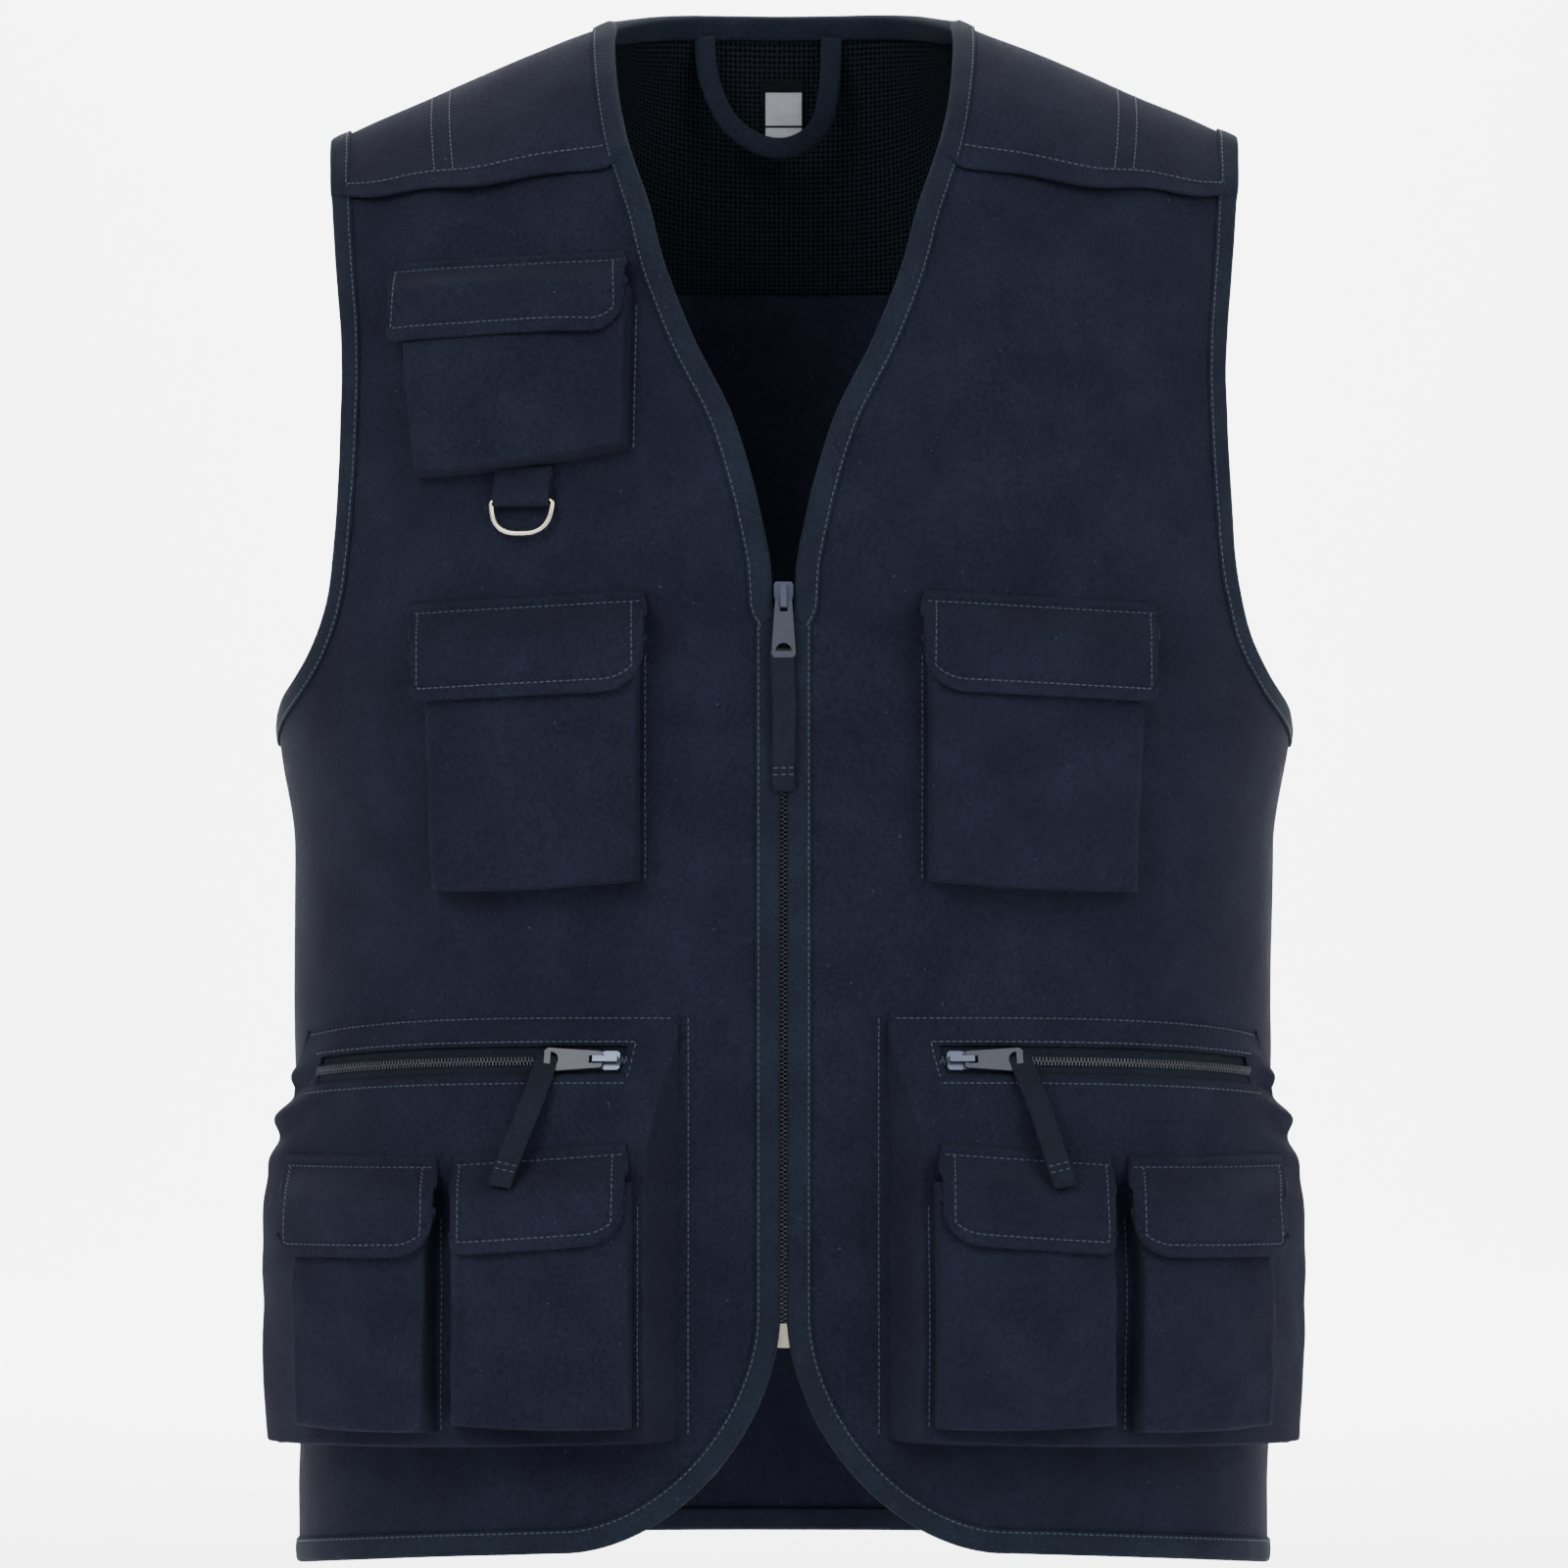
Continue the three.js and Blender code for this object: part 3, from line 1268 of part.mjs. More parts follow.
function block(from, to) {
  const [length, width, height] = from.map((low, i) => to[i] - low);
  const box = new THREE.BoxGeometry(length, width, height);
  box.translate(from[0] + length / 2, from[1] + width / 2, from[2] + height / 2);
  return solidOf(box);
}

// A flat plate: an outline in along and across, between two heights
function plate(outline, low, high) {
  const shape = new THREE.Shape(outline.map(([along, across]) => new THREE.Vector2(along, across)));
  const extruded = new THREE.ExtrudeGeometry(shape, { depth: high - low, bevelEnabled: false });
  extruded.translate(0, 0, low);
  return solidOf(extruded);
}

// Both sides of an outline given on one side only, from the hinge end to the free end
const doubled = (side) => [...side.map(([along, half]) => [along, -half]), ...[...side].reverse()];

function frameAt(origin, along, out) {
  const up = out.clone().normalize();
  const ahead = along.clone().addScaledVector(up, -along.dot(up)).normalize();
  const across = up.clone().cross(ahead);
  const matrix = new THREE.Matrix4().makeBasis(ahead, across, up).setPosition(origin);
  const at = (a, b, c) => new THREE.Vector3(a, b, c).applyMatrix4(matrix);
  return { at, place: (solid) => geometryOf(solid).applyMatrix4(matrix) };
}

const pinHeight = (rest) => rest + GAP + PULL_TAPE + PULL_TAPE_SLIP + PULLER_THICK / 2;

// Slider: a shield shaped body, and a bridge along it that the puller's pin passes under
function sliderSolid(back, face, rest) {
  const body = plate(
    doubled([
      [SLIDER_FROM, SLIDER_HALF - 0.8],
      [SLIDER_FROM + 1.2, SLIDER_HALF],
      [-2, SLIDER_HALF],
      [SLIDER_TO, SLIDER_FOOT_HALF],
    ]),
    back,
    face,
  );
  const inside = pinHeight(rest) + PIN_ROOM;
  const bridgeFrom = SLIDER_FROM + 0.5;
  const bridgeTop = inside + BRIDGE_THICK;
  const bridge = block([bridgeFrom, -BRIDGE_HALF, face - 0.1], [SLIDER_TO, BRIDGE_HALF, bridgeTop]);
  const under = block(
    [bridgeFrom + BRIDGE_THICK, -SLIDER_HALF, face],
    [SLIDER_TO - BRIDGE_THICK, SLIDER_HALF, inside],
  );
  return body.add(bridge.subtract(under));
}

// Puller: a plate that widens towards its free end, with a slot for the bridge and a half-moon hole for
// the tape
function pullerSolid(rest) {
  const low = pinHeight(rest) - PULLER_THICK / 2;
  const high = low + PULLER_THICK;
  const body = plate(
    doubled([
      [-PIN_HALF, PULLER_TOP_HALF - 0.5],
      [0.6, PULLER_TOP_HALF],
      [PULLER_END - 1.6, PULLER_END_HALF],
      [PULLER_END, PULLER_END_HALF - 1.2],
    ]),
    low,
    high,
  );
  const slot = block([PIN_HALF, -SLOT_HALF, low - 1], [SLOT_END, SLOT_HALF, high + 1]);
  const moon = [];
  for (let i = 0; i <= 8; i++) {
    const turned = (Math.PI * i) / 8;
    moon.push([MOON_AT - MOON_RADIUS * Math.sin(turned), MOON_RADIUS * Math.cos(turned)]);
  }
  return body.subtract(slot).subtract(plate(moon, low - 1, high + 1));
}

// Where the pull tape is threaded through the half-moon hole and round the end of the puller
function threadSolid(rest) {
  const low = pinHeight(rest) - PULLER_THICK / 2 - PULL_TAPE_SLIP;
  const high = low + PULLER_THICK + 2 * PULL_TAPE_SLIP;
  const from = MOON_AT - PULL_TAPE_SLIP;
  const to = PULLER_END + PULL_TAPE_SLIP;
  const outer = block(
    [from - PULL_TAPE, -PULL_TAPE_THREAD, low - PULL_TAPE],
    [to + PULL_TAPE, PULL_TAPE_THREAD, high + PULL_TAPE],
  );
  return outer.subtract(block([from, -PULL_TAPE_HALF, low], [to, PULL_TAPE_HALF, high]));
}

// The free part of a pull tape: a strip through pairs of points along its back, as thick as two layers
function tapeStrip(rungs) {
  const rows = rungs.map(([left, right], i) => {
    const before = rungs[Math.max(i - 1, 0)];
    const after = rungs[Math.min(i + 1, rungs.length - 1)];
    const run = after[0].clone().add(after[1]).sub(before[0]).sub(before[1]);
    const out = right.clone().sub(left).cross(run).normalize();
    if (out.y > 0) out.negate();
    return [left, right].map((p) => ({ p, low: p, high: p.clone().addScaledVector(out, 2 * PULL_TAPE) }));
  });
  return wall(cellsOf(rows), lowFace, highFace);
}

const union = (a, b) => geometryOf(solidOf(a).add(solidOf(b)));

// Front zip, closed, its slider at the foot of the V

const eitherSide = (x, z, side) => (x < 0 ? turn(spotOfXZ(-x, z, side)) : spotOfXZ(x, z, side));
const sliderSpot = spotOfXZ(0, SLIDER_Z, FRONT);
const downward = new THREE.Vector3(0, 0, -1);
const mainFrame = frameAt(sliderSpot.p, downward, sliderSpot.n);
const MAIN_REST = CLOTH + GAP + BINDING_CLOTH;
add("zip_slider", mainFrame.place(sliderSolid(SLIDER_BACK, SLIDER_FACE, MAIN_REST)), "nickel");
add("zip_puller", mainFrame.place(pullerSolid(MAIN_REST)), "nickel");

const mainTapeBack = pinHeight(MAIN_REST) - PULL_TAPE;
// The frame's across direction is the wearer's left or right: the strip is kept the same way round
const acrossMain = Math.sign(mainFrame.at(0, 1, 0).x);
const mainTapeFrom = PULLER_END + PULL_TAPE_SLIP + PULL_TAPE / 2;
const hanging = [0, 0.2, 0.5, 0.75, 1].map((share) => {
  const drop = mainTapeFrom + MAIN_PULL_TAPE * share;
  const up = mix(mainTapeBack, MAIN_REST + 2 * GAP, ease(share / 0.5));
  return [-1, 1].map((hand) => {
    const across = hand * PULL_TAPE_HALF;
    if (share === 0) return mainFrame.at(drop, acrossMain * across, mainTapeBack);
    return offForm(up)(eitherSide(across, SLIDER_Z - drop, FRONT));
  });
});
add("zip_pull_tape", union(mainFrame.place(threadSolid(MAIN_REST)), tapeStrip(hanging)), "zip");

// Tapes and chain follow the same rows as the edges they lie behind, from the box up to the slider
const boxTop = CORNER_TOP_Z - 3;
const chainTop = SLIDER_Z - SLIDER_TO - GAP;
const firstStraightRow = LOWER_ROWS.findIndex((row) => row.turn === 0);
const edgeRows = frontEdge.slice(firstStraightRow, ARMPIT_ROW + 1).map((corner) => corner.p.z);

function zipStrip(heights, inner, outer, back, face) {
  const rows = heights.map((z) => [eitherSide(inner(z), z, FRONT), eitherSide(outer, z, FRONT)]);
  return wall(cellsOf(rows), offForm(back), offForm(face));
}
const tapeIn = (z) => (z > chainTop ? SLIDER_HALF + GAP : TAPE_IN);
const boxRows = [boxTop - BOX_HEIGHT, boxTop];
const tapeRows = [...boxRows, ...edgeRows, chainTop - 2, chainTop + 0.5, SLIDER_Z - SLIDER_FROM];
addPair("zip_tape", zipStrip(tapeRows, tapeIn, TAPE_OUT, TAPE_BACK, TAPE_FACE), "zip");
const chainRows = [boxTop + GAP, ...edgeRows, chainTop];
add("zip_chain", zipStrip(chainRows, () => -CHAIN_HALF, CHAIN_HALF, CHAIN_BACK, CHAIN_FACE), "nickel");
add("zip_box", zipStrip(boxRows, () => -BOX_HALF, BOX_HALF, CHAIN_FACE - BOX_THICK, CHAIN_FACE), "nickel");

// Pocket zips: a tape with its coil behind the slot, the slider at the inner end, the puller lying outwards

function bellowsPoint(share, s, height) {
  const arc = mix(bellows.inner(share), bellows.outer(share), s);
  return frontPoint(arc, bellows.z(share, s), bellows.off(share, s) + height);
}
const zipShare = ZIP_BELOW_SEAM / BELLOWS_HEIGHT;
const POCKET_TAPE_FACE = -POUCH_CLOTH - GAP - 1.1;
const POCKET_ZIP_ROWS = [
  { drop: -WINDOW_HEIGHT / 2 - POCKET_ZIP_MARGIN, face: POCKET_TAPE_FACE },
  { drop: -COIL_HALF - 0.3, face: POCKET_TAPE_FACE },
  { drop: -COIL_HALF, face: -POUCH_CLOTH - GAP },
  { drop: COIL_HALF, face: -POUCH_CLOTH - GAP },
  { drop: COIL_HALF + 0.3, face: POCKET_TAPE_FACE },
  { drop: WINDOW_HEIGHT / 2 + POCKET_ZIP_MARGIN, face: POCKET_TAPE_FACE },
];
const zipEnd = POCKET_ZIP_MARGIN / bellowsSpan;
const zipStations = [windowFrom - zipEnd, ...bellows.stations.slice(1, -1), windowTo + zipEnd];
const pocketZipRows = POCKET_ZIP_ROWS.map(({ drop, face }) =>
  zipStations.map((s) => {
    const share = zipShare + drop / BELLOWS_HEIGHT;
    return {
      p: bellowsPoint(share, s, 0),
      low: bellowsPoint(share, s, POCKET_TAPE_FACE - TAPE_FACE + TAPE_BACK),
      high: bellowsPoint(share, s, face),
    };
  }),
);
const bellowsPlate = solidOf(wall(pouchCells(bellows, GAP, POUCH_CLOTH + GAP), lowFace, highFace));
const pocketZip = wall(cellsOf(pocketZipRows), lowFace, highFace);
addPair("bellows_zip", cutBack(pocketZip, bellowsPlate, frontBed), "zip");

const windowStart = bellowsPoint(zipShare, windowFrom, 0);
const windowRun = bellowsPoint(zipShare, bellows.stations[2], 0).sub(windowStart).normalize();
const windowDown = bellowsPoint(lip(1), windowFrom, 0).sub(bellowsPoint(lip(-1), windowFrom, 0));
const pocketFrame = frameAt(
  windowStart.clone().addScaledVector(windowRun, SLIDER_INSET - SLIDER_FROM),
  windowRun,
  windowRun.clone().cross(windowDown).negate(),
);
const pocketSlider = sliderSolid(-POUCH_CLOTH, pinHeight(0) - PIN_ROOM, 0);
addPair("bellows_slider", pocketFrame.place(pocketSlider), "nickel");
addPair("bellows_puller", pocketFrame.place(pullerSolid(0)), "puller");

// The pocket's pull tape leans down from the puller and drapes straight on to the inner small flap
function flapFace(flap, arc, z) {
  const s = THREE.MathUtils.clamp((arc - flap.inner) / (flap.outer - flap.inner), 0, 1);
  const share = (flap.top(s) - z) / flap.height(s);
  return flap.bed(arc, z) + (share < 0 ? 0 : flap.off(share, s) + FLAP_CLOTH);
}
const pocketTapeBack = pinHeight(0) - PULL_TAPE;
const pocketTapeFrom = PULLER_END + PULL_TAPE_SLIP + PULL_TAPE / 2;
const acrossPocket = Math.sign(pocketFrame.at(0, 0, 0).z - pocketFrame.at(0, 1, 0).z);
const lean = POCKET_PULL_LEAN * RAD;
const wide = 2 * PULL_TAPE_HALF;
const fold = [pocketTapeFrom + 0.6, PULL_TAPE_THREAD + 0.6];
const foldOut = [fold[0] + wide * Math.sin(lean), fold[1] - wide * Math.cos(lean)];
const onPocket = ([along, across]) => pocketFrame.at(along, acrossPocket * across, pocketTapeBack);
const drapeEnd = [TAPE_END_ARC, TAPE_END_ARC + wide * Math.sin(lean)].map((arc, i) => {
  const z = TAPE_END_Z - i * wide * Math.cos(lean) * 0.5;
  return frontPoint(arc, z, flapFace(innerSmall.flap, arc, z) + 2 * GAP);
});
const folded = [fold, foldOut].map(onPocket);
const drapeRow = (share) => folded.map((corner, i) => corner.clone().lerp(drapeEnd[i], share));
const drape = [1 / 3, 2 / 3, 1].map(drapeRow);
const pocketStrip = [
  [onPocket([pocketTapeFrom, PULL_TAPE_THREAD]), onPocket([pocketTapeFrom, -PULL_TAPE_THREAD])],
  [onPocket([pocketTapeFrom + 0.3, PULL_TAPE_THREAD + 0.3]), onPocket([foldOut[0] - 3, -PULL_TAPE_THREAD])],
  folded,
  ...drape,
];
addPair("bellows_pull_tape", union(pocketFrame.place(threadSolid(0)), tapeStrip(pocketStrip)), "zip");

// Tab sewn in under the upper pocket and looped round the ring's bar, and the D-ring hanging from it

const barUp = CLOTH + GAP + RING_WIRE + RING_ROOM + TAB_CLOTH;
const tabSpot = spotOfXZ(frontPoint(TAB_ARC, TAB_BAR_Z, 0).x, TAB_BAR_Z, FRONT);
const tabFrame = frameAt(tabSpot.p, downward, tabSpot.n);
const eye = RING_WIRE + RING_ROOM;
function rolled(radius, half) {
  const roll = new THREE.CylinderGeometry(radius, radius, 2 * half, 16);
  roll.translate(0, 0, barUp);
  return solidOf(roll);
}
const tabSolid = block([-TAB_RUN, -TAB_HALF, CLOTH + GAP], [0, TAB_HALF, barUp + eye + TAB_CLOTH])
  .subtract(block([-TAB_RUN - 1, -RING_HALF, barUp - 0.1], [-eye * 2.2, RING_HALF, barUp * 3]))
  .add(rolled(eye + TAB_CLOTH, TAB_HALF))
  .subtract(rolled(eye, RING_HALF));
add("ring_tab", mirrored(cutBack(tabFrame.place(tabSolid), frontBed)), "twill");

// Ring: straight along its bar, then round in a half oval, always in one plane
function ringPath() {
  const bar = [-0.6, 0, 0.6].map((share) => [0, RING_HALF * share]);
  const bow = [];
  for (let i = 0; i <= 12; i++) {
    const turned = (Math.PI * i) / 12;
    const across = Math.cos(turned);
    const squarer = Math.sign(across) * Math.pow(Math.abs(across), 0.7);
    bow.push([RING_DROP * Math.pow(Math.sin(turned), 0.85), RING_HALF * squarer]);
  }
  return [...bar, ...bow];
}
function ringGeometry() {
  const path = ringPath();
  const rings = path.map(([along, across], i) => {
    const before = path[(i + path.length - 1) % path.length];
    const after = path[(i + 1) % path.length];
    const run = new THREE.Vector2(after[0] - before[0], after[1] - before[1]).normalize();
    return RING_SECTION.map(({ x, y }) => tabFrame.at(along + run.y * x, across - run.x * x, barUp + y));
  });
  return loft(rings, RING_SECTION, true);
}
const RING_SECTION = [0, 1, 2, 3, 4, 5, 6, 7].map((i) => {
  const turned = (Math.PI * (i + 0.5)) / 4;
  return new THREE.Vector2(RING_WIRE * Math.cos(turned), RING_WIRE * Math.sin(turned));
});
add("d_ring", mirrored(ringGeometry()), "nickel");

// Hanger loop: a narrow strip hanging inside the back neck from just under its binding
const liningBed = solidOf(wall(liningCells(), offForm(-GAP - LINING - GAP), offForm(3 * SINK)));
const loopLast = LOOP_PATH.length - 1;
const depthAtTop = ({ x, z }) => offForm(LOOP_UP)(eitherSide(x, z, BACK)).y;
const LOOP_FLAT = [
  new THREE.Vector2(-1, -1),
  new THREE.Vector2(1, -1),
  new THREE.Vector2(1, 1),
  new THREE.Vector2(-1, 1),
];
const loopRings = LOOP_PATH.map(({ x, z }, i) => {
  const before = LOOP_PATH[Math.max(i - 1, 0)];
  const after = LOOP_PATH[Math.min(i + 1, loopLast)];
  const run = new THREE.Vector2(after.x - before.x, after.z - before.z).normalize();
  if (i === 0 || i === loopLast) run.set(0, Math.sign(run.y));
  const hung = mix(depthAtTop(LOOP_PATH[0]), depthAtTop(LOOP_PATH[loopLast]), i / loopLast);
  const y = hung - LOOP_BELLY * Math.sin((Math.PI * i) / loopLast);
  return LOOP_FLAT.map((corner) => {
    const side = corner.x * LOOP_HALF;
    return new THREE.Vector3(x - run.y * side, y + (corner.y * LOOP_CLOTH) / 2, z + run.x * side);
  });
});
add("hanger_loop", cutBack(loft(loopRings, LOOP_FLAT, false), liningBed), "binding");

// Label, blank, sewn flat to the lining
const labelRows = [-LABEL_TOP, -LABEL_TOP - LABEL_HEIGHT / 2, -LABEL_TOP - LABEL_HEIGHT].map((z) =>
  [-LABEL_HALF, 0, LABEL_HALF].map((x) => eitherSide(x, z, BACK)),
);
const labelWall = wall(cellsOf(labelRows), offForm(-GAP - LINING - GAP - LABEL_THICK), offForm(0));
add("neck_label", cutBack(labelWall, liningBed), "label");

export default vest;
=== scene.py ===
"""Utility work vest: the finish of every cloth, tape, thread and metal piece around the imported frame.

Sizes in this file are millimetres unless a comment says otherwise; a mesh is made in metres.
+Z is up, -Y is the front and +X is the wearer's left.
"""

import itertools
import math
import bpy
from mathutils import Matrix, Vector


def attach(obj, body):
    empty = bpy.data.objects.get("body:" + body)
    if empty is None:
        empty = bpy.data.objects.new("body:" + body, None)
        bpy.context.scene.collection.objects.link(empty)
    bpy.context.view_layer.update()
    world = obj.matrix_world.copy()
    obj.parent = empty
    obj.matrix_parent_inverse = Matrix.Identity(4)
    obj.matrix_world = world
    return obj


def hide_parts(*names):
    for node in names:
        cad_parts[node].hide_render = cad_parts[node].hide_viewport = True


bl_info = {
    "name": "Utility Work Vest",
    "version": (1, 0, 0),
    "blender": (4, 5, 0),
    "location": "3D View > Sidebar > Vest",
    "description": "Builds a twill work vest with bellows pockets, zips and bound edges",
    "category": "Add Mesh",
}

import bmesh
import bpy
import numpy as np
from bpy.props import FloatProperty, FloatVectorProperty, PointerProperty

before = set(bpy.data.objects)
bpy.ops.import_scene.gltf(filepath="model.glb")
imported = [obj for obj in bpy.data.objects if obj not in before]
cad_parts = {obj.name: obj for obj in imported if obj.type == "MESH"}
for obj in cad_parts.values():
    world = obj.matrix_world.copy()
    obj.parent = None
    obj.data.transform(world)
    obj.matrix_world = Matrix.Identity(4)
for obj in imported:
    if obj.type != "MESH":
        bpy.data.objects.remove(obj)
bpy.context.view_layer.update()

MM = 0.001
FRONT, BACK = -1, 1
LEFT, RIGHT = 1, -1
SIDES = {"left": LEFT, "right": RIGHT}

# Torso form, the same as the solids'
ARMPIT_Z = -316.0
HEM_DROP = 694.5
HEM_RISE = 20.0
CHEST_HALF, WAIST_HALF, HEM_HALF = 227.0, 220.0, 218.5
TAPER_HEIGHT = 55.0
FRONT_DEPTH, BACK_DEPTH = 134.0, 121.0
FRONT_HOLLOW, BACK_HOLLOW = 6.0, 12.0
POWER = 2.3
NECK_HALF = 77.0
SHOULDER_SLOPE = 0.42
COLLAR_STAND = 69.0
BACK_NECK_RISE = 11.0
V_BASE_Z = ARMPIT_Z + 46.0
EDGE_GAP = 2.7
CORNER_WIDTH, CORNER_HEIGHT, CORNER_POWER = 94.0, 100.0, 1.8
CORNER_TOP_Z = -HEM_DROP + HEM_RISE + CORNER_HEIGHT
BINDING_WIDTH = 9.5

# Thicknesses, then heights off the form: what lies on one cloth, the yoke's face, what lies on the yoke,
# and what lies under the lining
CLOTH, GAP, BINDING_CLOTH = 1.1, 0.35, 1.0
POUCH_CLOTH, FLAP_CLOTHS, ZIP_CLOTH, MESH_CLOTH, PULL_CLOTHS, STRAP_CLOTH = 1.2, 1.7, 0.8, 0.5, 1.2, 0.9
ONE_CLOTH = CLOTH + GAP
YOKE_FACE = ONE_CLOTH + CLOTH
TWO_CLOTHS = YOKE_FACE + GAP
LINED = -1.4

# Armhole edge: share of its height, and degrees round from the side seam
ARMHOLE = (
    (0, 0), (0.012, 6), (0.035, 12.5), (0.075, 21), (0.135, 27.3),
    (0.23, 31.6), (0.4, 33.7), (0.62, 34.4), (0.84, 31.9), (1, 29.8),
)
# Neckline: share of the way up from the foot of the V, and share of its half width
NECKLINE = (
    (0, 0), (0.02, 0.039), (0.045, 0.046), (0.09, 0.058), (0.14, 0.093), (0.22, 0.16), (0.33, 0.289),
    (0.45, 0.509), (0.57, 0.68), (0.67, 0.776), (0.757, 0.88), (0.83, 0.945), (0.9, 0.98),
    (0.955, 0.996), (1, 1),
)
# Height above the hem, and degrees round the front's rounded corner
CORNER_TURN = ((0, 90), (9.5, 83), (24, 66), (42, 48), (64, 30), (88, 14), (118, 0))
# Steps up the front above the armpit: step, neckline share, armhole share
FRONT_STEPS = (
    (0, 0, 0), (1, 0, 0.012), (2, 0.02, 0.035), (3, 0.09, 0.075), (4, 0.2, 0.135), (5, 0.33, 0.23),
    (6, 0.45, 0.4), (7, 0.57, 0.62), (8, 0.68, 0.84), (9, 0.757, 0.896), (10, 0.83, 0.94),
    (11, 0.9, 0.97), (12, 0.955, 0.99), (13, 1, 1),
)
YOKE_STEP = 9
YOKE_BACK_DROP = 112.0
YOKE_WAVE = 5.5
TUCK_LINES = (149.0, 157.0)
SEAM_ROWS = (2.2, 4.6)
# Shares of the armhole's and the neckline's height from which the tape lies on the yoke, and on the lining
YOKE_AT_ARMHOLE_FRONT, YOKE_AT_ARMHOLE_BACK, YOKE_AT_NECK, LINING_AT_NECK = 0.885, 0.68, 0.75, 0.96
# How far the bellows front stands off at each share of its height
BELLOWS_PROFILE = (
    (0, -0.1), (0.04, 0.12), (0.09, 0.3), (0.15, 0.46), (0.27, 0.76), (0.42, 0.97), (0.7, 1.04), (1, 0.97),
)


class VestSizes(bpy.types.PropertyGroup):
    """Sizes of the threads and of the cloth's small forms"""

    stitch_pitch: FloatProperty(
        name="Stitch pitch", description="From one stitch to the next", default=2.9 * MM, unit="LENGTH"
    )
    stitch_length: FloatProperty(
        name="Stitch length", description="Length of thread that shows", default=2.1 * MM, unit="LENGTH"
    )
    stitch_width: FloatProperty(
        name="Stitch width", description="Width of the sewing thread", default=0.6 * MM, unit="LENGTH"
    )
    twill_pitch: FloatProperty(
        name="Twill pitch", description="From one diagonal rib to the next", default=1.3 * MM, unit="LENGTH"
    )
    ripple: FloatProperty(
        name="Ripple", description="How far the body cloth sways in and out", default=2.2 * MM, unit="LENGTH"
    )
    tooth_pitch: FloatProperty(
        name="Tooth pitch", description="From one zip tooth to the next", default=1.9 * MM, unit="LENGTH"
    )


def linear(hex_colour):
    """sRGB hex to linear red, green and blue."""
    channels = [int(hex_colour[i : i + 2], 16) / 255 for i in (0, 2, 4)]
    return tuple(c / 12.92 if c <= 0.04045 else ((c + 0.055) / 1.055) ** 2.4 for c in channels)


def colour(name, about, hex_colour):
    """A colour of the panel, given as sRGB hex."""
    return FloatVectorProperty(
        name=name, description=about, subtype="COLOR", size=3, min=0, max=1, default=linear(hex_colour)
    )


class VestColours(bpy.types.PropertyGroup):
    """Colours of the cloths, threads and metals"""

    twill: colour("Twill", "Cotton twill of body and pockets", "12131d")
    twill_light: colour("Twill, light yarn", "The paler yarn of the twill", "1c1e2c")
    binding: colour("Binding", "Folded tape round the edges", "141821")
    thread: colour("Thread", "Sewing thread", "2f3b47")
    zip_tape: colour("Zip tape", "Woven polyester of tapes and pulls", "12151c")
    slate: colour("Slate enamel", "Enamel on sliders and pullers", "2e323d")
    nickel: colour("Nickel", "Plated ring and bright metal", "d9d0bd")
    mesh: colour("Lining mesh", "Knitted mesh inside the neck", "0d1216")
    label: colour("Label", "Woven label, dark ground", "0c0d10")


# Form

def ease(t):
    """Smooth step from 0 to 1."""
    s = np.clip(t, 0, 1)
    return s * s * (3 - 2 * s)


def mix(a, b, t):
    """Straight line from a to b."""
    return a + (b - a) * t


def look_up(table, at, column=1):
    """Cubic through a table's rows, each row's slope being that of the line between its two neighbours."""
    rows = np.array(table, float)
    x, y = rows[:, 0], rows[:, column]
    row = np.arange(len(x))
    before, after = np.maximum(row - 1, 0), np.minimum(row + 1, len(x) - 1)
    slope = (y[after] - y[before]) / (x[after] - x[before])
    at = np.clip(np.asarray(at, float), x[0], x[-1])
    i = np.clip(np.searchsorted(x, at, side="left") - 1, 0, len(x) - 2)
    span = x[i + 1] - x[i]
    t = (at - x[i]) / span
    return (
        (2 * t**3 - 3 * t**2 + 1) * y[i]
        + (t**3 - 2 * t**2 + t) * slope[i] * span
        + (3 * t**2 - 2 * t**3) * y[i + 1]
        + (t**3 - t**2) * slope[i + 1] * span
    )


def half_width(z):
    """Half the torso's width: chest, easing in to the waist, then straight to the hem."""
    under = ARMPIT_Z - z
    skirt = np.clip((under - TAPER_HEIGHT) / (HEM_DROP + ARMPIT_Z - TAPER_HEIGHT), 0, 1)
    waist = ease(under / TAPER_HEIGHT)
    return CHEST_HALF + (WAIST_HALF - CHEST_HALF) * waist + (HEM_HALF - WAIST_HALF) * skirt


def shoulder_z(x):
    """Height of the shoulder line: a straight fall outside the neck, a rounded stand inside it."""
    start = NECK_HALF + 4
    across = np.abs(x)
    stand = np.maximum(0, 1 - (across / start) ** 3) ** 2.2
    run = np.where(across < start, (across * across / start - start) / 2, across - start)
    return -0.5 - SHOULDER_SLOPE * run + COLLAR_STAND * stand


def depth_at(z, side):
    """Depth from the side seams to the centre line, a little hollow at the waist."""
    down = np.clip((ARMPIT_Z - z) / (HEM_DROP + ARMPIT_Z), 0, 1)
    hollow = np.sin(np.pi * down) ** 2
    return FRONT_DEPTH - FRONT_HOLLOW * hollow if side < 0 else BACK_DEPTH - BACK_HOLLOW * hollow


def form(angle, level, side):
    """A superellipse round the torso at each height. The angle is in degrees from the centre line, the level
    millimetres below the armpit as a negative number, or degrees up from it to 90 at the shoulder line."""
    sine, cosine = np.sin(np.radians(angle)), np.cos(np.radians(angle))
    reach = (np.abs(sine) ** POWER + np.abs(cosine) ** POWER) ** (-1 / POWER)
    low = np.minimum(level, 0)
    up = np.radians(np.maximum(level, 0))
    x = half_width(ARMPIT_Z + low) * reach * sine
    z = ARMPIT_Z + low + (shoulder_z(x) - ARMPIT_Z) * np.sin(up)
    y = side * depth_at(ARMPIT_Z + low, side) * reach * cosine * np.cos(up)
    return np.stack([x, y, z], -1)


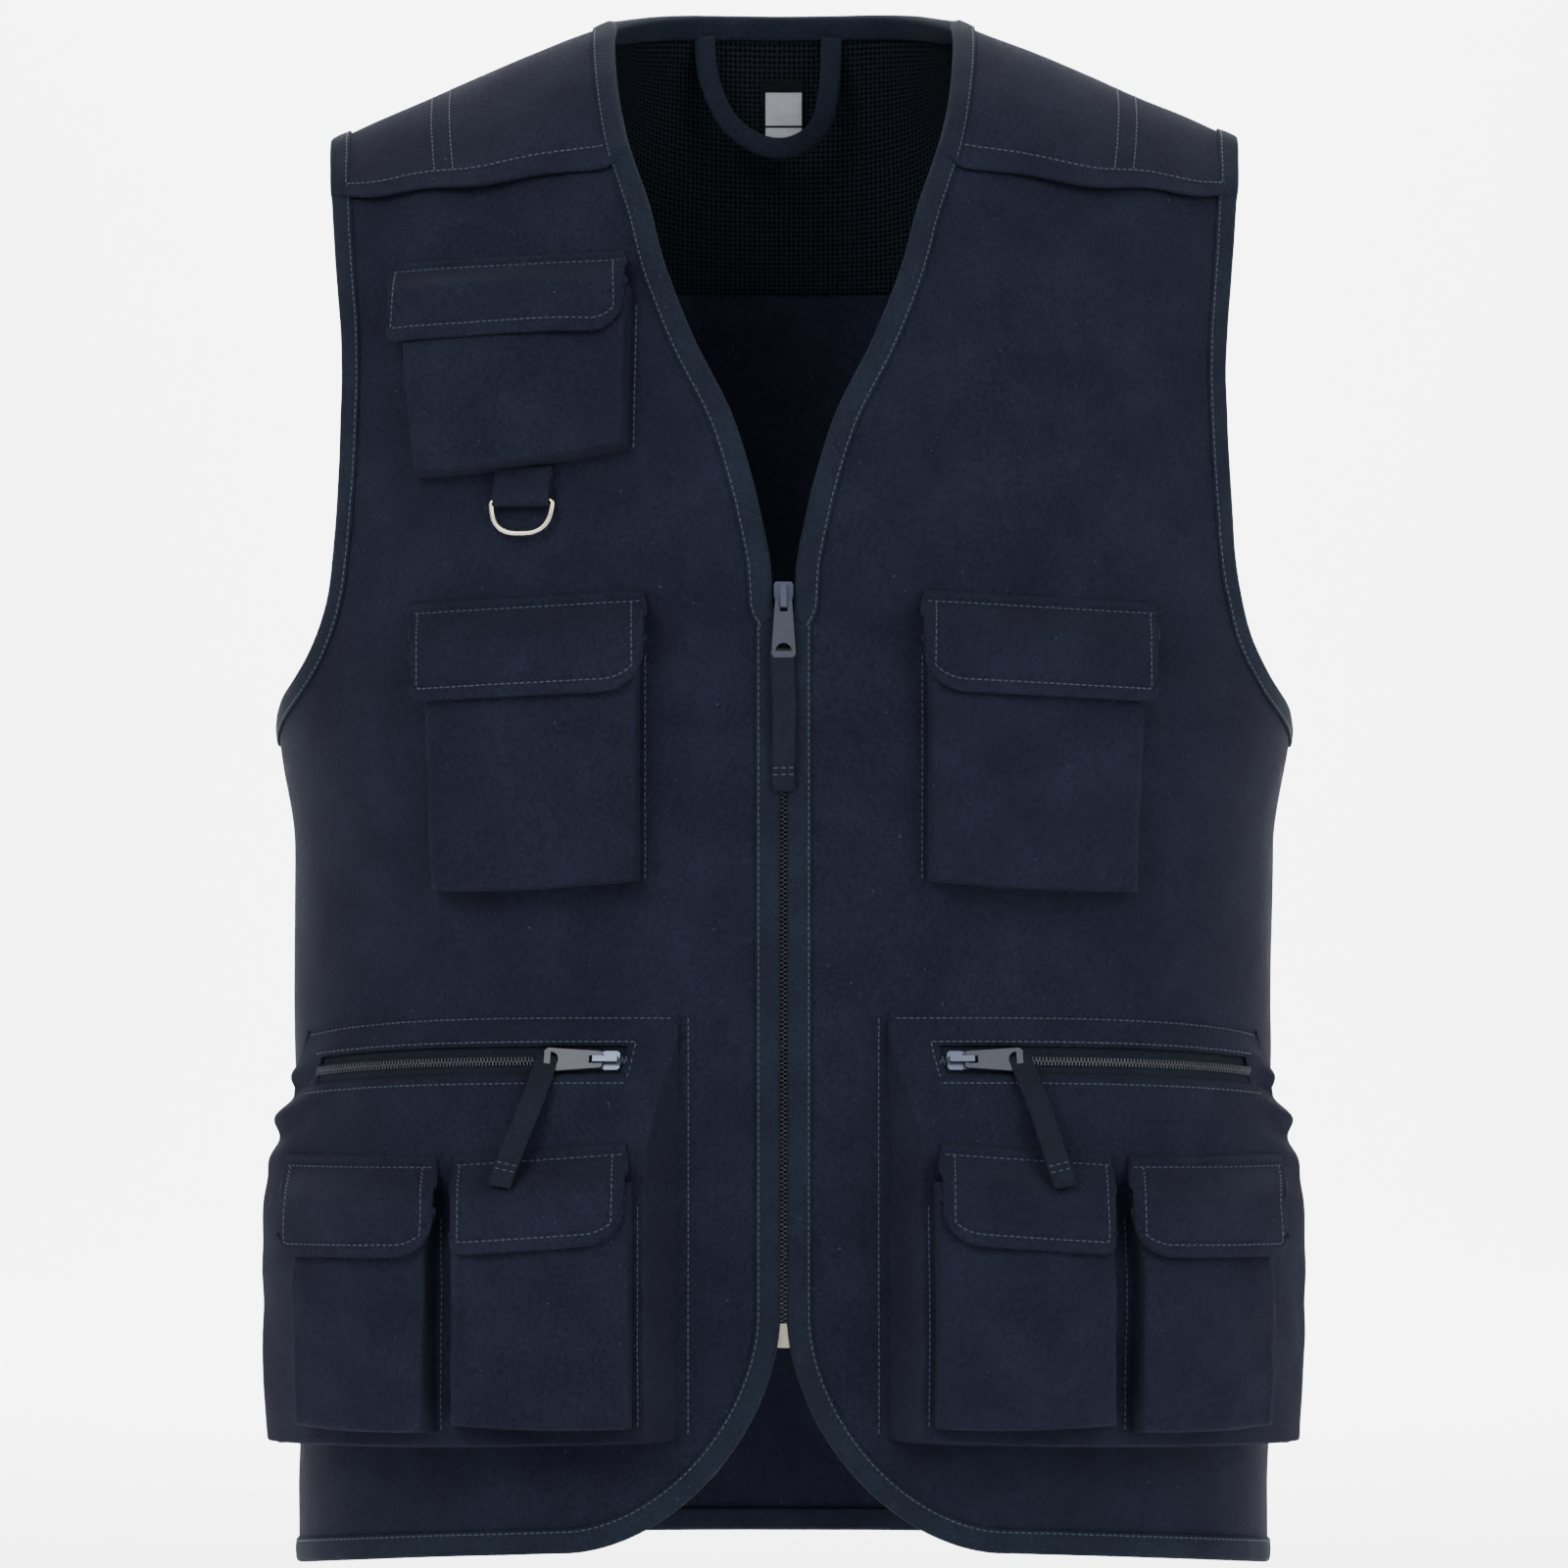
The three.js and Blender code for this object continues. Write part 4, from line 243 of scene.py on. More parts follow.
def slopes(angle, level, side, step=0.02):
    """How the form's points move for a degree of angle and for one of level, by central differences."""
    along = (form(angle + step, level, side) - form(angle - step, level, side)) / (2 * step)
    up = (form(angle, level + step, side) - form(angle, level - step, side)) / (2 * step)
    return along, up


def unit(vectors):
    """Vectors brought to length 1."""
    return vectors / np.maximum(np.linalg.norm(vectors, axis=-1, keepdims=True), 1e-12)


def spot(angle, level, side):
    """Place on the form and the direction straight out of it."""
    angle, level = np.broadcast_arrays(angle, level)
    along, up = slopes(angle, level, side)
    return form(angle, level, side), unit(np.cross(along, up) * -side)


def across_at(angle, side):
    """Distance from the centre line at an angle, at the armpit's height and all the way up from it."""
    return form(angle, 0.0, side)[..., 0]


def angle_of(x, z):
    """Angle at a distance from the centre line: the superellipse solved for its angle."""
    share = np.clip(np.abs(x) / half_width(z), 1e-9, 0.99999)
    return np.degrees(np.arctan2(1, (share**-POWER - 1) ** (1 / POWER)))


def level_of(x, z):
    """Level at a height: millimetres below the armpit, or the arc sine of the share of the way up."""
    above = np.asarray(z, float) - ARMPIT_Z
    sine = np.clip(above / (shoulder_z(x) - ARMPIT_Z), -1, 1)
    return np.where(above <= 0, above, np.degrees(np.arcsin(sine)))


def walk(angle, level, side, direction, distance):
    """Steps off the form along a direction, then slides back on to it: Newton steps on both slopes."""
    target = form(angle, level, side) + direction * np.asarray(distance)[..., None]
    for _ in range(6):
        miss = target - form(angle, level, side)
        along, up = slopes(angle, level, side)
        aa, ab, bb = (along * along).sum(-1), (along * up).sum(-1), (up * up).sum(-1)
        am, bm = (along * miss).sum(-1), (up * miss).sum(-1)
        det = aa * bb - ab * ab
        angle = angle + (am * bb - bm * ab) / det
        level = level + (bm * aa - am * ab) / det
    return angle, level


class FrontMap:
    """Angles round the front for arc lengths from the centre front, one row for each 5 mm of height."""

    def __init__(self):
        self.low, self.step = -705.0, 5.0
        heights = self.low + self.step * np.arange(131)
        angles = np.linspace(0, 90, 361)
        turn, z = np.meshgrid(angles, heights)
        x = form(turn, np.minimum(z - ARMPIT_Z, 0), FRONT)[..., 0]
        points = form(turn, level_of(x, z), FRONT)
        runs = np.linalg.norm(np.diff(points, axis=1), axis=-1)
        arcs = np.concatenate([np.zeros((len(heights), 1)), np.cumsum(runs, axis=1)], axis=1)
        self.reach = np.arange(0, 300.0)
        self.angle = np.array([np.interp(self.reach, row, angles) for row in arcs])

    def __call__(self, arc, z):
        """Angle and level for an arc length and a height, from the four nearest entries."""
        row = np.clip((z - self.low) / self.step, 0, len(self.angle) - 1.001)
        column = np.clip(arc, 0, len(self.reach) - 1.001)
        i, j = row.astype(int), column.astype(int)
        a, b = row - i, column - j
        angle = mix(
            mix(self.angle[i, j], self.angle[i, j + 1], b),
            mix(self.angle[i + 1, j], self.angle[i + 1, j + 1], b),
            a,
        )
        x = form(angle, np.minimum(z - ARMPIT_Z, 0), FRONT)[..., 0]
        return angle, level_of(x, z)


FRONT_MAP = FrontMap()


def cloth_noise(points, size, seed):
    """Random heights on a cubic lattice of the given size, eased between its corners: -1 to 1."""
    lattice = np.random.default_rng(seed).uniform(-1, 1, (16, 16, 16))
    at = points / size
    cell = np.floor(at).astype(int)
    share = ease(at - cell)
    total = np.zeros(points.shape[:-1])
    for corner in itertools.product((0, 1), repeat=3):
        weight = np.prod(np.where(corner, share, 1 - share), axis=-1)
        i, j, k = np.moveaxis((cell + corner) % 16, -1, 0)
        total += weight * lattice[i, j, k]
    return total


def ripple(points, seed=3):
    """How far the worn cloth sways off the plain form: long slack folds and a finer crumple."""
    down = cloth_noise(points * np.array([1.0, 1.0, 0.4]), 58.0, seed)
    across = cloth_noise(points * np.array([0.5, 0.5, 1.0]), 74.0, seed + 1)
    fine = cloth_noise(points, 20.0, seed + 2)
    return vest_sizes().ripple / MM * (0.75 * down + 0.6 * across + 0.2 * fine)


def vest_sizes():
    """The panel's sizes."""
    return bpy.context.scene.vest_sizes


def vest_colours():
    """The panel's colours."""
    return bpy.context.scene.vest_colours


def front_at(arc, z, height, hand):
    """Points over the front at arc lengths and heights, held off the rippled cloth, and their normals."""
    arc, z, height = np.broadcast_arrays(arc, z, height)
    angle, level = FRONT_MAP(arc, z)
    return raised(angle * hand, level, FRONT, height)


def raised(angle, level, side, height):
    """Points held off the rippled cloth by a height, and their normals."""
    points, normals = spot(angle, level, side)
    return points + normals * (height + ripple(points))[..., None], normals


# Meshes

# A sheet's cut size is at least this wide each way; the share of its width times its length for its area is
# not used
LEAST_SHEET, LEAST_SHARE = 10.2, 0.3
# Faces of a block whose corners go round its foot and then round its head
BLOCK = np.array([(0, 3, 2, 1), (4, 5, 6, 7), (0, 1, 5, 4), (1, 2, 6, 5), (2, 3, 7, 6), (3, 0, 4, 7)])


def block_faces(count):
    """Faces of a number of blocks, eight corners each."""
    return (np.arange(count)[:, None, None] * 8 + BLOCK).reshape(-1, 4)


def quads_of(rows, columns, loop_rows=False, loop_columns=False):
    """Four-cornered faces over a grid, closed into a ring along either way if asked."""
    i = np.arange(rows if loop_rows else rows - 1)[:, None]
    j = np.arange(columns if loop_columns else columns - 1)[None, :]
    below, beside = (i + 1) % rows, (j + 1) % columns
    corners = (i * columns + j, i * columns + beside, below * columns + beside, below * columns + j)
    return np.stack([c + 0 * i + 0 * j for c in corners], -1).reshape(-1, 4)


def runs_along(line):
    """Run length at each point of a line, from its start."""
    return np.concatenate([[0], np.cumsum(np.linalg.norm(np.diff(line, axis=0), axis=-1))])


def places_along(line, normals, at):
    """Points of a line at run lengths, with the ways ahead and out there."""
    arc = runs_along(line)

    def sampled(values, runs):
        """Values of the line at run lengths."""
        return np.stack([np.interp(runs, arc, values[:, k]) for k in range(3)], -1)

    ahead = sampled(line, at + 0.5) - sampled(line, at - 0.5)
    return sampled(line, at), ahead, unit(sampled(normals, at))


def new_object(name, points, faces, uv=None, smooth=True):
    """A mesh object at the origin from points in millimetres and faces, an array or a list of lists."""
    mesh = bpy.data.meshes.new(name)
    faces = faces if isinstance(faces, list) else faces.tolist()
    mesh.from_pydata((points.reshape(-1, 3) * MM).tolist(), [], faces)
    if uv is not None:
        layer = mesh.uv_layers.new(name="Cloth")
        corners = np.zeros(len(mesh.loops), int)
        mesh.loops.foreach_get("vertex_index", corners)
        layer.data.foreach_set("uv", (uv.reshape(-1, 2)[corners] * MM).ravel())
    mesh.polygons.foreach_set("use_smooth", np.full(len(mesh.polygons), smooth))
    mesh.validate()
    made = bpy.data.objects.new(name, mesh)
    bpy.context.scene.collection.objects.link(made)
    return made


def facing_out(points, quads):
    """Turns the faces over if most of them look in towards the torso's middle."""
    a, b, c, d = (points[quads[:, k]] for k in range(4))
    normal = np.cross(c - a, d - b)
    middle = (a + b + c + d) / 4 - np.array([0, 0, -330.0])
    return quads if (normal * middle).sum() > 0 else quads[:, ::-1]


def cloth_piece(name, points, thickness, finish="twill", keep=None, body="vest", replaces=(),
                inside_out=False):
    """A sheet over a grid of points on its outer face, given its thickness inwards. Its cut size, the longest
    run each way, is worked out but not used."""
    flat = points.reshape(-1, 3)
    quads = quads_of(*points.shape[:2])
    if keep is not None:
        quads = quads[keep.ravel()]
    quads = facing_out(flat, quads)
    if inside_out:
        quads = quads[:, ::-1]
    made = new_object(name, flat, quads, grid_uv(points))
    wall = made.modifiers.new("Thickness", "SOLIDIFY")
    wall.thickness = thickness * MM
    wall.offset = -1
    wall.use_even_offset = False
    dress(made, finish, body, replaces)
    runs = (np.linalg.norm(np.diff(points, axis=axis), axis=-1).sum(axis).max() for axis in (1, 0))
    width, height = (max(run, LEAST_SHEET) for run in runs)
    return made


def dress(made, finish, body="vest", replaces=()):
    """Gives a piece its material, the body it rides on and the solids it stands for."""
    made.data.materials.append(MATERIALS[finish])
    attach(made, body)
    if replaces:
        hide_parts(*replaces)


def grid_uv(points):
    """Flat coordinates of a grid's points: run length along each way, so a weave keeps its real size."""
    across = np.linalg.norm(np.diff(points, axis=1), axis=-1)
    down = np.linalg.norm(np.diff(points, axis=0), axis=-1)
    u = np.concatenate([np.zeros((points.shape[0], 1)), np.cumsum(across, axis=1)], axis=1)
    v = np.concatenate([np.zeros((1, points.shape[1])), np.cumsum(down, axis=0)], axis=0)
    u = u - u.mean(axis=1, keepdims=True)
    v = np.broadcast_to(v.mean(axis=1, keepdims=True), v.shape)
    return np.stack([u, v], -1)


def recalculated(made):
    """Turns the faces of a closed shell outwards."""
    shell = bmesh.new()
    shell.from_mesh(made.data)
    bmesh.ops.remove_doubles(shell, verts=shell.verts, dist=0.01 * MM)
    bmesh.ops.recalc_face_normals(shell, faces=shell.faces)
    shell.to_mesh(made.data)
    shell.free()
    return made


# Threads

# Corners of a stitch: shares of its length along, of its width across, and of its width up
STITCH = (
    (-0.5, -0.5, -0.21), (0.5, -0.5, -0.21), (0.5, 0.5, -0.21), (-0.5, 0.5, -0.21),
    (-0.34, -0.26, 0.42), (0.34, -0.26, 0.42), (0.34, 0.26, 0.42), (-0.34, 0.26, 0.42),
)


class Seam:
    """Collects stitches along lines and makes them one mesh."""

    def __init__(self):
        self.points = []

    def line(self, points, normals, lift=0.15):
        """Stitches along a line at even pitch: each a low bead with tapered ends, lying on the cloth."""
        sizes = vest_sizes()
        pitch, length, width = (x / MM for x in (sizes.stitch_pitch, sizes.stitch_length, sizes.stitch_width))
        whole = runs_along(points)[-1]
        count = int(whole / pitch)
        if count < 1:
            return
        here, ahead, out = places_along(points, normals, (np.arange(count) + 0.5) * whole / count)
        ahead = unit(ahead - out * (ahead * out).sum(-1, keepdims=True))
        across = np.cross(out, ahead)
        base = here + out * lift
        corners = [base + ahead * (along * length) + across * (aside * width) + out * (up * width)
                   for along, aside, up in STITCH]
        self.points.append(np.stack(corners, axis=1).reshape(-1, 3))

    def finish(self, name, body="vest"):
        """Makes the mesh of all the stitches."""
        points = np.concatenate(self.points)
        dress(new_object(name, points, block_faces(len(points) // 8)), "thread", body)


# Materials

MATERIALS = {}


def node(tree, kind, inputs=None, **settings):
    """Adds a node with its settings; an input is a value or another node's output."""
    made = tree.nodes.new(kind)
    for key, value in settings.items():
        setattr(made, key, value)
    for name, value in (inputs or {}).items():
        if isinstance(value, bpy.types.NodeSocket):
            tree.links.new(value, made.inputs[name])
        else:
            made.inputs[name].default_value = value
    return made


def rgba(c):
    """A colour with full opacity."""
    return (*tuple(c)[:3], 1.0)


def new_material(name, shader_inputs):
    """An empty material with a Principled shader; returns the tree and the shader."""
    material = bpy.data.materials.new(name)
    material.use_nodes = True
    tree = material.node_tree
    tree.nodes.clear()
    shader = node(tree, "ShaderNodeBsdfPrincipled", shader_inputs)
    output = node(tree, "ShaderNodeOutputMaterial")
    tree.links.new(shader.outputs["BSDF"], output.inputs["Surface"])
    return material, tree, shader


def link(tree, output, shader, socket):
    """Joins an output to an input of the shader."""
    tree.links.new(output, shader.inputs[socket])


def noise(tree, place, size, detail, roughness=0.5):
    """Noise with features of a size in metres."""
    inputs = {"Vector": place, "Scale": 1 / size, "Detail": detail, "Roughness": roughness}
    return node(tree, "ShaderNodeTexNoise", inputs).outputs["Fac"]


def ranged(tree, value, low, high, to_low=0.0, to_high=1.0):
    """The part of a value between low and high, spread over another range."""
    inputs = {"Value": value, "From Min": low, "From Max": high, "To Min": to_low, "To Max": to_high}
    return node(tree, "ShaderNodeMapRange", inputs).outputs[0]


def blended(tree, share, one, other, how="MIX"):
    """Two colours, mixed or multiplied by a share."""
    inputs = {"Fac": share, "Color1": one, "Color2": other}
    return node(tree, "ShaderNodeMixRGB", inputs, blend_type=how).outputs[0]


def added(tree, one, other):
    """The sum of two outputs."""
    return node(tree, "ShaderNodeMath", {0: one, 1: other}, operation="ADD").outputs[0]


def bumped(tree, shader, height, strength, depth):
    """Raises a relief on the shader, over a depth in metres."""
    made = node(tree, "ShaderNodeBump", {"Height": height, "Strength": strength, "Distance": depth})
    link(tree, made.outputs["Normal"], shader, "Normal")


def toned(base, share):
    """A colour made darker or lighter by a share."""
    return rgba([min(c * share, 1) for c in base])


# A wave texture's bands repeat every 2 pi / 20 units at scale 1, and its diagonal bands every 2 pi / 10.
BAND = math.tau / 20
DIAGONAL = math.tau / 10


def woven(name, base, light, pitch, roughness, bump):
    """Woven cotton: diagonal ribs at the twill's pitch over finer yarns, slubs a few millimetres long, a slow
    fading towards teal and loose lint. The ribs follow the cloth's own flat coordinates."""
    material, tree, shader = new_material(
        name, {"Sheen Weight": 0.015, "Sheen Roughness": 0.5, "Specular IOR Level": 0.05, "IOR": 1.5}
    )
    uv = node(tree, "ShaderNodeUVMap", uv_map="Cloth").outputs["UV"]
    place = node(tree, "ShaderNodeTexCoord").outputs["Object"]
    rib_inputs = {"Vector": uv, "Scale": DIAGONAL / pitch, "Distortion": 0.6, "Detail": 1.0,
                  "Detail Scale": 3.0}
    yarn_inputs = {"Vector": uv, "Scale": BAND / (pitch * 0.6), "Distortion": 0.8}
    ribs = node(tree, "ShaderNodeTexWave", rib_inputs, bands_direction="DIAGONAL").outputs["Fac"]
    yarns = node(tree, "ShaderNodeTexWave", yarn_inputs).outputs["Fac"]
    slubs = noise(tree, place, 1.8 * MM, 4.0, 0.7)
    spread = ranged(tree, slubs, 0.35, 0.65)
    weave = node(tree, "ShaderNodeMath", {0: ribs, 1: 0.45, 2: spread}, operation="MULTIPLY_ADD").outputs[0]
    tone = blended(tree, weave, rgba(base), rgba(light))
    # Fading: a little violet where low, a little teal where high
    tint = ranged(tree, noise(tree, place, 28 * MM, 4.0), 0.35, 0.65)
    fading = blended(tree, tint, (0.86, 0.84, 0.9, 1), (1.06, 1.14, 1.12, 1))
    faded = blended(tree, 1.0, tone, fading, "MULTIPLY")
    specks = ranged(tree, noise(tree, place, 1.6 * MM, 1.0), 0.76, 0.84)
    link(tree, blended(tree, specks, faded, rgba([c * 4.5 for c in light])), shader, "Base Color")
    link(tree, ranged(tree, slubs, 0.0, 1.0, roughness - 0.08, roughness + 0.06), shader, "Roughness")
    bumped(tree, shader, added(tree, added(tree, ribs, yarns), spread), bump, 0.3 * MM)
    return material


def enamelled(name, base, metallic, roughness, grain):
    """Die-cast metal, enamelled or plated: fine orange peel, a little wear in tone and gloss."""
    material, tree, shader = new_material(name, {"Metallic": metallic})
    place = node(tree, "ShaderNodeTexCoord").outputs["Object"]
    rub = noise(tree, place, 3 * MM, 4.0)
    link(tree, blended(tree, rub, toned(base, 0.82), toned(base, 1.12)), shader, "Base Color")
    link(tree, ranged(tree, rub, 0.0, 1.0, roughness - 0.07, roughness + 0.1), shader, "Roughness")
    bumped(tree, shader, noise(tree, place, grain * MM, 2.0), 0.15, 0.05 * MM)
    return material


def knitted_mesh(name, base):
    """Knitted polyester mesh: round holes in offset rows, 2.3 mm apart, near black in the holes: partly the
    dark cloth behind, partly painted shade.
    """
    material, tree, shader = new_material(name, {"Roughness": 0.85, "Specular IOR Level": 0.04})
    uv = node(tree, "ShaderNodeUVMap", uv_map="Cloth").outputs["UV"]
    inputs = {"Vector": uv, "Scale": 1 / (2.3 * MM), "Randomness": 0.12}
    cells = node(tree, "ShaderNodeTexVoronoi", inputs, voronoi_dimensions="2D")
    strand = ranged(tree, cells.outputs["Distance"], 0.24, 0.4)
    # Holes painted at 0.12 of the mesh's colour, darker than the cloth behind them: painted shade; the
    # strands take the yarn's own lighter tone
    link(tree, blended(tree, strand, toned(base, 0.12), toned(base, 1.7)), shader, "Base Color")
    bumped(tree, shader, strand, 0.8, 0.5 * MM)
    return material


def pale_stage(name, base):
    """Matt paper sweep behind and under the vest."""
    material, tree, shader = new_material(name, {"Roughness": 0.9, "Specular IOR Level": 0.1})
    tooth = noise(tree, node(tree, "ShaderNodeTexCoord").outputs["Object"], 1 / 3, 2.0)
    link(tree, blended(tree, tooth, toned(base, 0.98), rgba(base)), shader, "Base Color")
    return material


def make_materials():
    """Makes each material from the panel's colours."""
    colours = vest_colours()
    twill_pitch = vest_sizes().twill_pitch
    # Cotton twill, piece dyed navy: matt, with a faint bloom from its short fibres
    MATERIALS["twill"] = woven("Cotton twill", colours.twill, colours.twill_light, twill_pitch, 0.88, 0.6)
    # The same twill cut as a folded tape: a little greener from its own dye lot
    MATERIALS["binding"] = woven("Twill binding", colours.binding, [c * 1.6 for c in colours.binding],
                                 twill_pitch * 0.8, 0.84, 0.5)
    # Woven polyester zip tape: fine ribs, a little glossier than the cotton
    MATERIALS["zip_tape"] = woven("Zip tape", colours.zip_tape, [c * 1.7 for c in colours.zip_tape],
                                  1.0 * MM, 0.7, 0.5)
    # Spun polyester thread
    MATERIALS["thread"] = enamelled("Sewing thread", colours.thread, 0.0, 0.66, 0.4)
    # Nylon coil and moulded teeth
    MATERIALS["teeth"] = enamelled("Nylon teeth", [c * 0.6 for c in colours.slate], 0.0, 0.45, 0.3)
    # Zinc pullers in slate enamel, satin
    MATERIALS["slate"] = enamelled("Slate enamel", colours.slate, 0.1, 0.42, 0.5)
    # The same enamel on the sliders, glossier and more metallic; its colour is raised threefold all over as a
    # painted highlight
    MATERIALS["slider"] = enamelled("Slate enamel with painted highlight", [c * 3.0 for c in colours.slate], 0.7, 0.3, 0.5)
    # Pale nickel plate on wire and box
    MATERIALS["nickel"] = enamelled("Nickel plate", colours.nickel, 1.0, 0.22, 0.6)
    # Knitted polyester, nearly black
    MATERIALS["mesh"] = knitted_mesh("Knitted mesh", colours.mesh)
    # Satin-woven label: a dark ground with plain pale fields, nothing written on it
    satin = {"pitch": 0.6 * MM, "roughness": 0.5, "bump": 0.2}
    MATERIALS["label"] = woven("Satin label", colours.label, [c * 1.3 for c in colours.label], **satin)
    MATERIALS["label_field"] = woven("Satin label field", linear("8d8f93"), linear("9a9ca0"), **satin)
    # White paper
    MATERIALS["stage"] = pale_stage("Paper sweep", linear("fbfbfc"))


# Edges of the body

def hem_z(angle, side):
    """Height of the hem: level behind, rising in a curve towards the centre in front."""
    rise = HEM_RISE * np.maximum(np.cos(np.radians(angle)), 0) ** 1.3 if side < 0 else 0 * angle
    return -HEM_DROP + rise


def lower_level(angle, height, side):
    """Level below the armpit at a height above a level hem, its share of the way up from the real one."""
    share = height / (HEM_DROP + ARMPIT_Z)
    return hem_z(angle, side) * (1 - share) + ARMPIT_Z * share - ARMPIT_Z


def armhole_edge(rise, side):
    """Angle and level of the armhole's edge at a share of its height."""
    roots = [(math.sqrt(share), inset) for share, inset in ARMHOLE]
    angle = 90 - look_up(roots, np.sqrt(rise))
    tip = form(90 - ARMHOLE[-1][1], 90.0, side)[2]
    level = level_of(across_at(angle, side), ARMPIT_Z + (tip - ARMPIT_Z) * rise)
    return angle, np.where(rise >= 1, 90.0, level)


NECK_POINT_Z = float(shoulder_z(NECK_HALF))
NECK_ANGLE = float(angle_of(NECK_HALF, 0.0))


def neck_edge(rise):
    """Angle and level of the neckline at a share of the way up from the foot of the V."""
    x = EDGE_GAP + (NECK_HALF - EDGE_GAP) * look_up(NECKLINE, rise)
    z = V_BASE_Z + (NECK_POINT_Z - V_BASE_Z) * rise
    level = np.where(rise >= 1, 90.0, level_of(x, z))
    return angle_of(x, np.minimum(z, 0.0)), level


def corner_edge(turn):
    """Angle and level of the rounded lower corner, by degrees round from its straight edge to the hem."""
    power = 2 / CORNER_POWER
    x = EDGE_GAP + CORNER_WIDTH * (1 - np.maximum(np.cos(np.radians(turn)), 0) ** power)
    foot = hem_z(angle_of(EDGE_GAP + CORNER_WIDTH, -HEM_DROP), FRONT)
    z = CORNER_TOP_Z - (CORNER_TOP_Z - foot) * np.sin(np.radians(turn)) ** power
    return angle_of(x, z), z - ARMPIT_Z


def straight_edge(z):
    """Angle and level of the front's straight edge beside the zip."""
    return angle_of(EDGE_GAP, z), level_of(EDGE_GAP, z)


def front_edges(rows=230):
    """Front edge and outer edge of the front wall, hem to shoulder, row by row: angle and level of each.
    Below the armpit the rows follow the height above the hem, above it the table of steps."""
    count = rows // 2
    height = np.linspace(0, HEM_DROP + ARMPIT_Z, count)
    straight_from = CORNER_TURN[-1][0]
    turn = look_up(CORNER_TURN, np.minimum(height, straight_from))
    corner = corner_edge(turn)
    share = (height - straight_from) / (HEM_DROP + ARMPIT_Z - straight_from)
    straight = straight_edge(CORNER_TOP_Z + (ARMPIT_Z - CORNER_TOP_Z) * np.clip(share, 0, 1))
    round_part = height < straight_from
    inner = [np.where(round_part, c, s) for c, s in zip(corner, straight)]
    outer = [np.full(count, 90.0), lower_level(90.0, height, FRONT)]
    at, neck_shares, arm_shares = zip(*FRONT_STEPS)
    steps = np.linspace(0, at[-1], rows - count + 1)[1:]
    neck, arm = np.interp(steps, at, neck_shares), np.interp(steps, at, arm_shares)
    below_v = straight_edge(mix(ARMPIT_Z, V_BASE_Z, np.clip(steps, 0, 1)))
    above = neck_edge(neck)
    upper = [np.where(steps < 1, b, a) for a, b in zip(above, below_v)]
    armhole = armhole_edge(arm, FRONT)
    inner = [np.concatenate([a, b]) for a, b in zip(inner, upper)]
    outer = [np.concatenate([a, b]) for a, b in zip(outer, armhole)]
    return inner, outer, np.concatenate([np.zeros(count), steps])


def front_grid(columns=96, first_step=None, rows=230):
    """Angle and level over the front wall: straight between its two edges on each row."""
    inner, outer, steps = front_edges(rows)
    if first_step is not None:
        keep = steps >= first_step
        inner, outer = [a[keep] for a in inner], [a[keep] for a in outer]
    share = np.linspace(0, 1, columns)[None, :]
    angle = mix(inner[0][:, None], outer[0][:, None], share)
    level = mix(inner[1][:, None], outer[1][:, None], share)
    return angle, level


def back_top_level(angle):
    """Level of the back wall's top edge: the neckline inside the neck points, the shoulder line outside."""
    angle = np.abs(angle)
    x = across_at(angle, BACK)
    z = NECK_POINT_Z + BACK_NECK_RISE * (1 - (x / NECK_HALF) ** 4)
    return np.where(angle >= NECK_ANGLE - 1e-6, 90.0, level_of(x, z))


def back_columns(edge_angle, top_share, half=66):
    """Angles of the back wall's columns: evenly spread low down, with one at the neck point at the top."""
    neck_count = int(half * 0.55)
    even = np.linspace(0, 1, half)
    near_neck = 1 - (1 - np.linspace(0, 1, neck_count)) ** 2
    fixed = np.concatenate([NECK_ANGLE * near_neck, np.full(half - neck_count, np.nan)])
    share = np.linspace(0, 1, half - neck_count + 1)[1:]
    outer = NECK_ANGLE + (edge_angle[:, None] - NECK_ANGLE) * share[None, :]
    top = np.concatenate([np.broadcast_to(fixed[:neck_count], (len(edge_angle), neck_count)), outer], axis=1)
    plain = edge_angle[:, None] * even[None, :]
    angle = mix(plain, top, top_share[:, None])
    return np.concatenate([-angle[:, :0:-1], angle], axis=1)


def back_grid(share, half=66):
    """Angle and level over the back wall above the armpit, for shares of the way up each column."""
    rise = np.sin(np.radians(90 * share))
    rise = np.where(share >= 1, 1.0, rise)
    edge_angle, edge_level = armhole_edge(rise, BACK)
    angle = back_columns(edge_angle, ease((share - 0.72) / 0.24), half)
    level = share[:, None] * back_top_level(angle)
    outer = np.abs(angle) / edge_angle[:, None]
    level = mix(level, edge_level[:, None], ease((outer - 0.8) / 0.2))
    return angle, level


# Body walls

def build_panels():
    """The two front panels and the back."""
    for name, hand in SIDES.items():
        angle, level = front_grid()
        points, _ = raised(angle * hand, level, FRONT, CLOTH)
        cloth_piece(f"front_panel_cloth_{name}", points, CLOTH, replaces=[f"front_panel_{name}"])
    heights = np.linspace(0, HEM_DROP + ARMPIT_Z, 110)[:-1]
    columns = back_columns(np.full(len(heights), 90.0), 0 * heights)
    lower = lower_level(columns, heights[:, None], BACK)
    share = np.linspace(0, 1, 120)
    angle, level = back_grid(share)
    angle, level = np.concatenate([columns, angle]), np.concatenate([lower, level])
    points, _ = raised(angle, level, BACK, CLOTH)
    cloth_piece("back_panel_cloth", points, CLOTH, replaces=["back_panel"])


def yoke_back_grid(top=1.0):
    """Angle and level over the yoke's back part. Its rows are the back's, moved so that the lowest lies at
    the seam's even height, and less and less towards the top."""
    first = float(level_of(across_at(50.0, BACK), -YOKE_BACK_DROP)) / 90
    share = np.linspace(first, top, 56)
    angle, level = back_grid(share)
    seam = level_of(across_at(angle, BACK), -YOKE_BACK_DROP)
    return angle, level + (seam - level[0]) * ((1 - share) / (1 - first))[:, None]


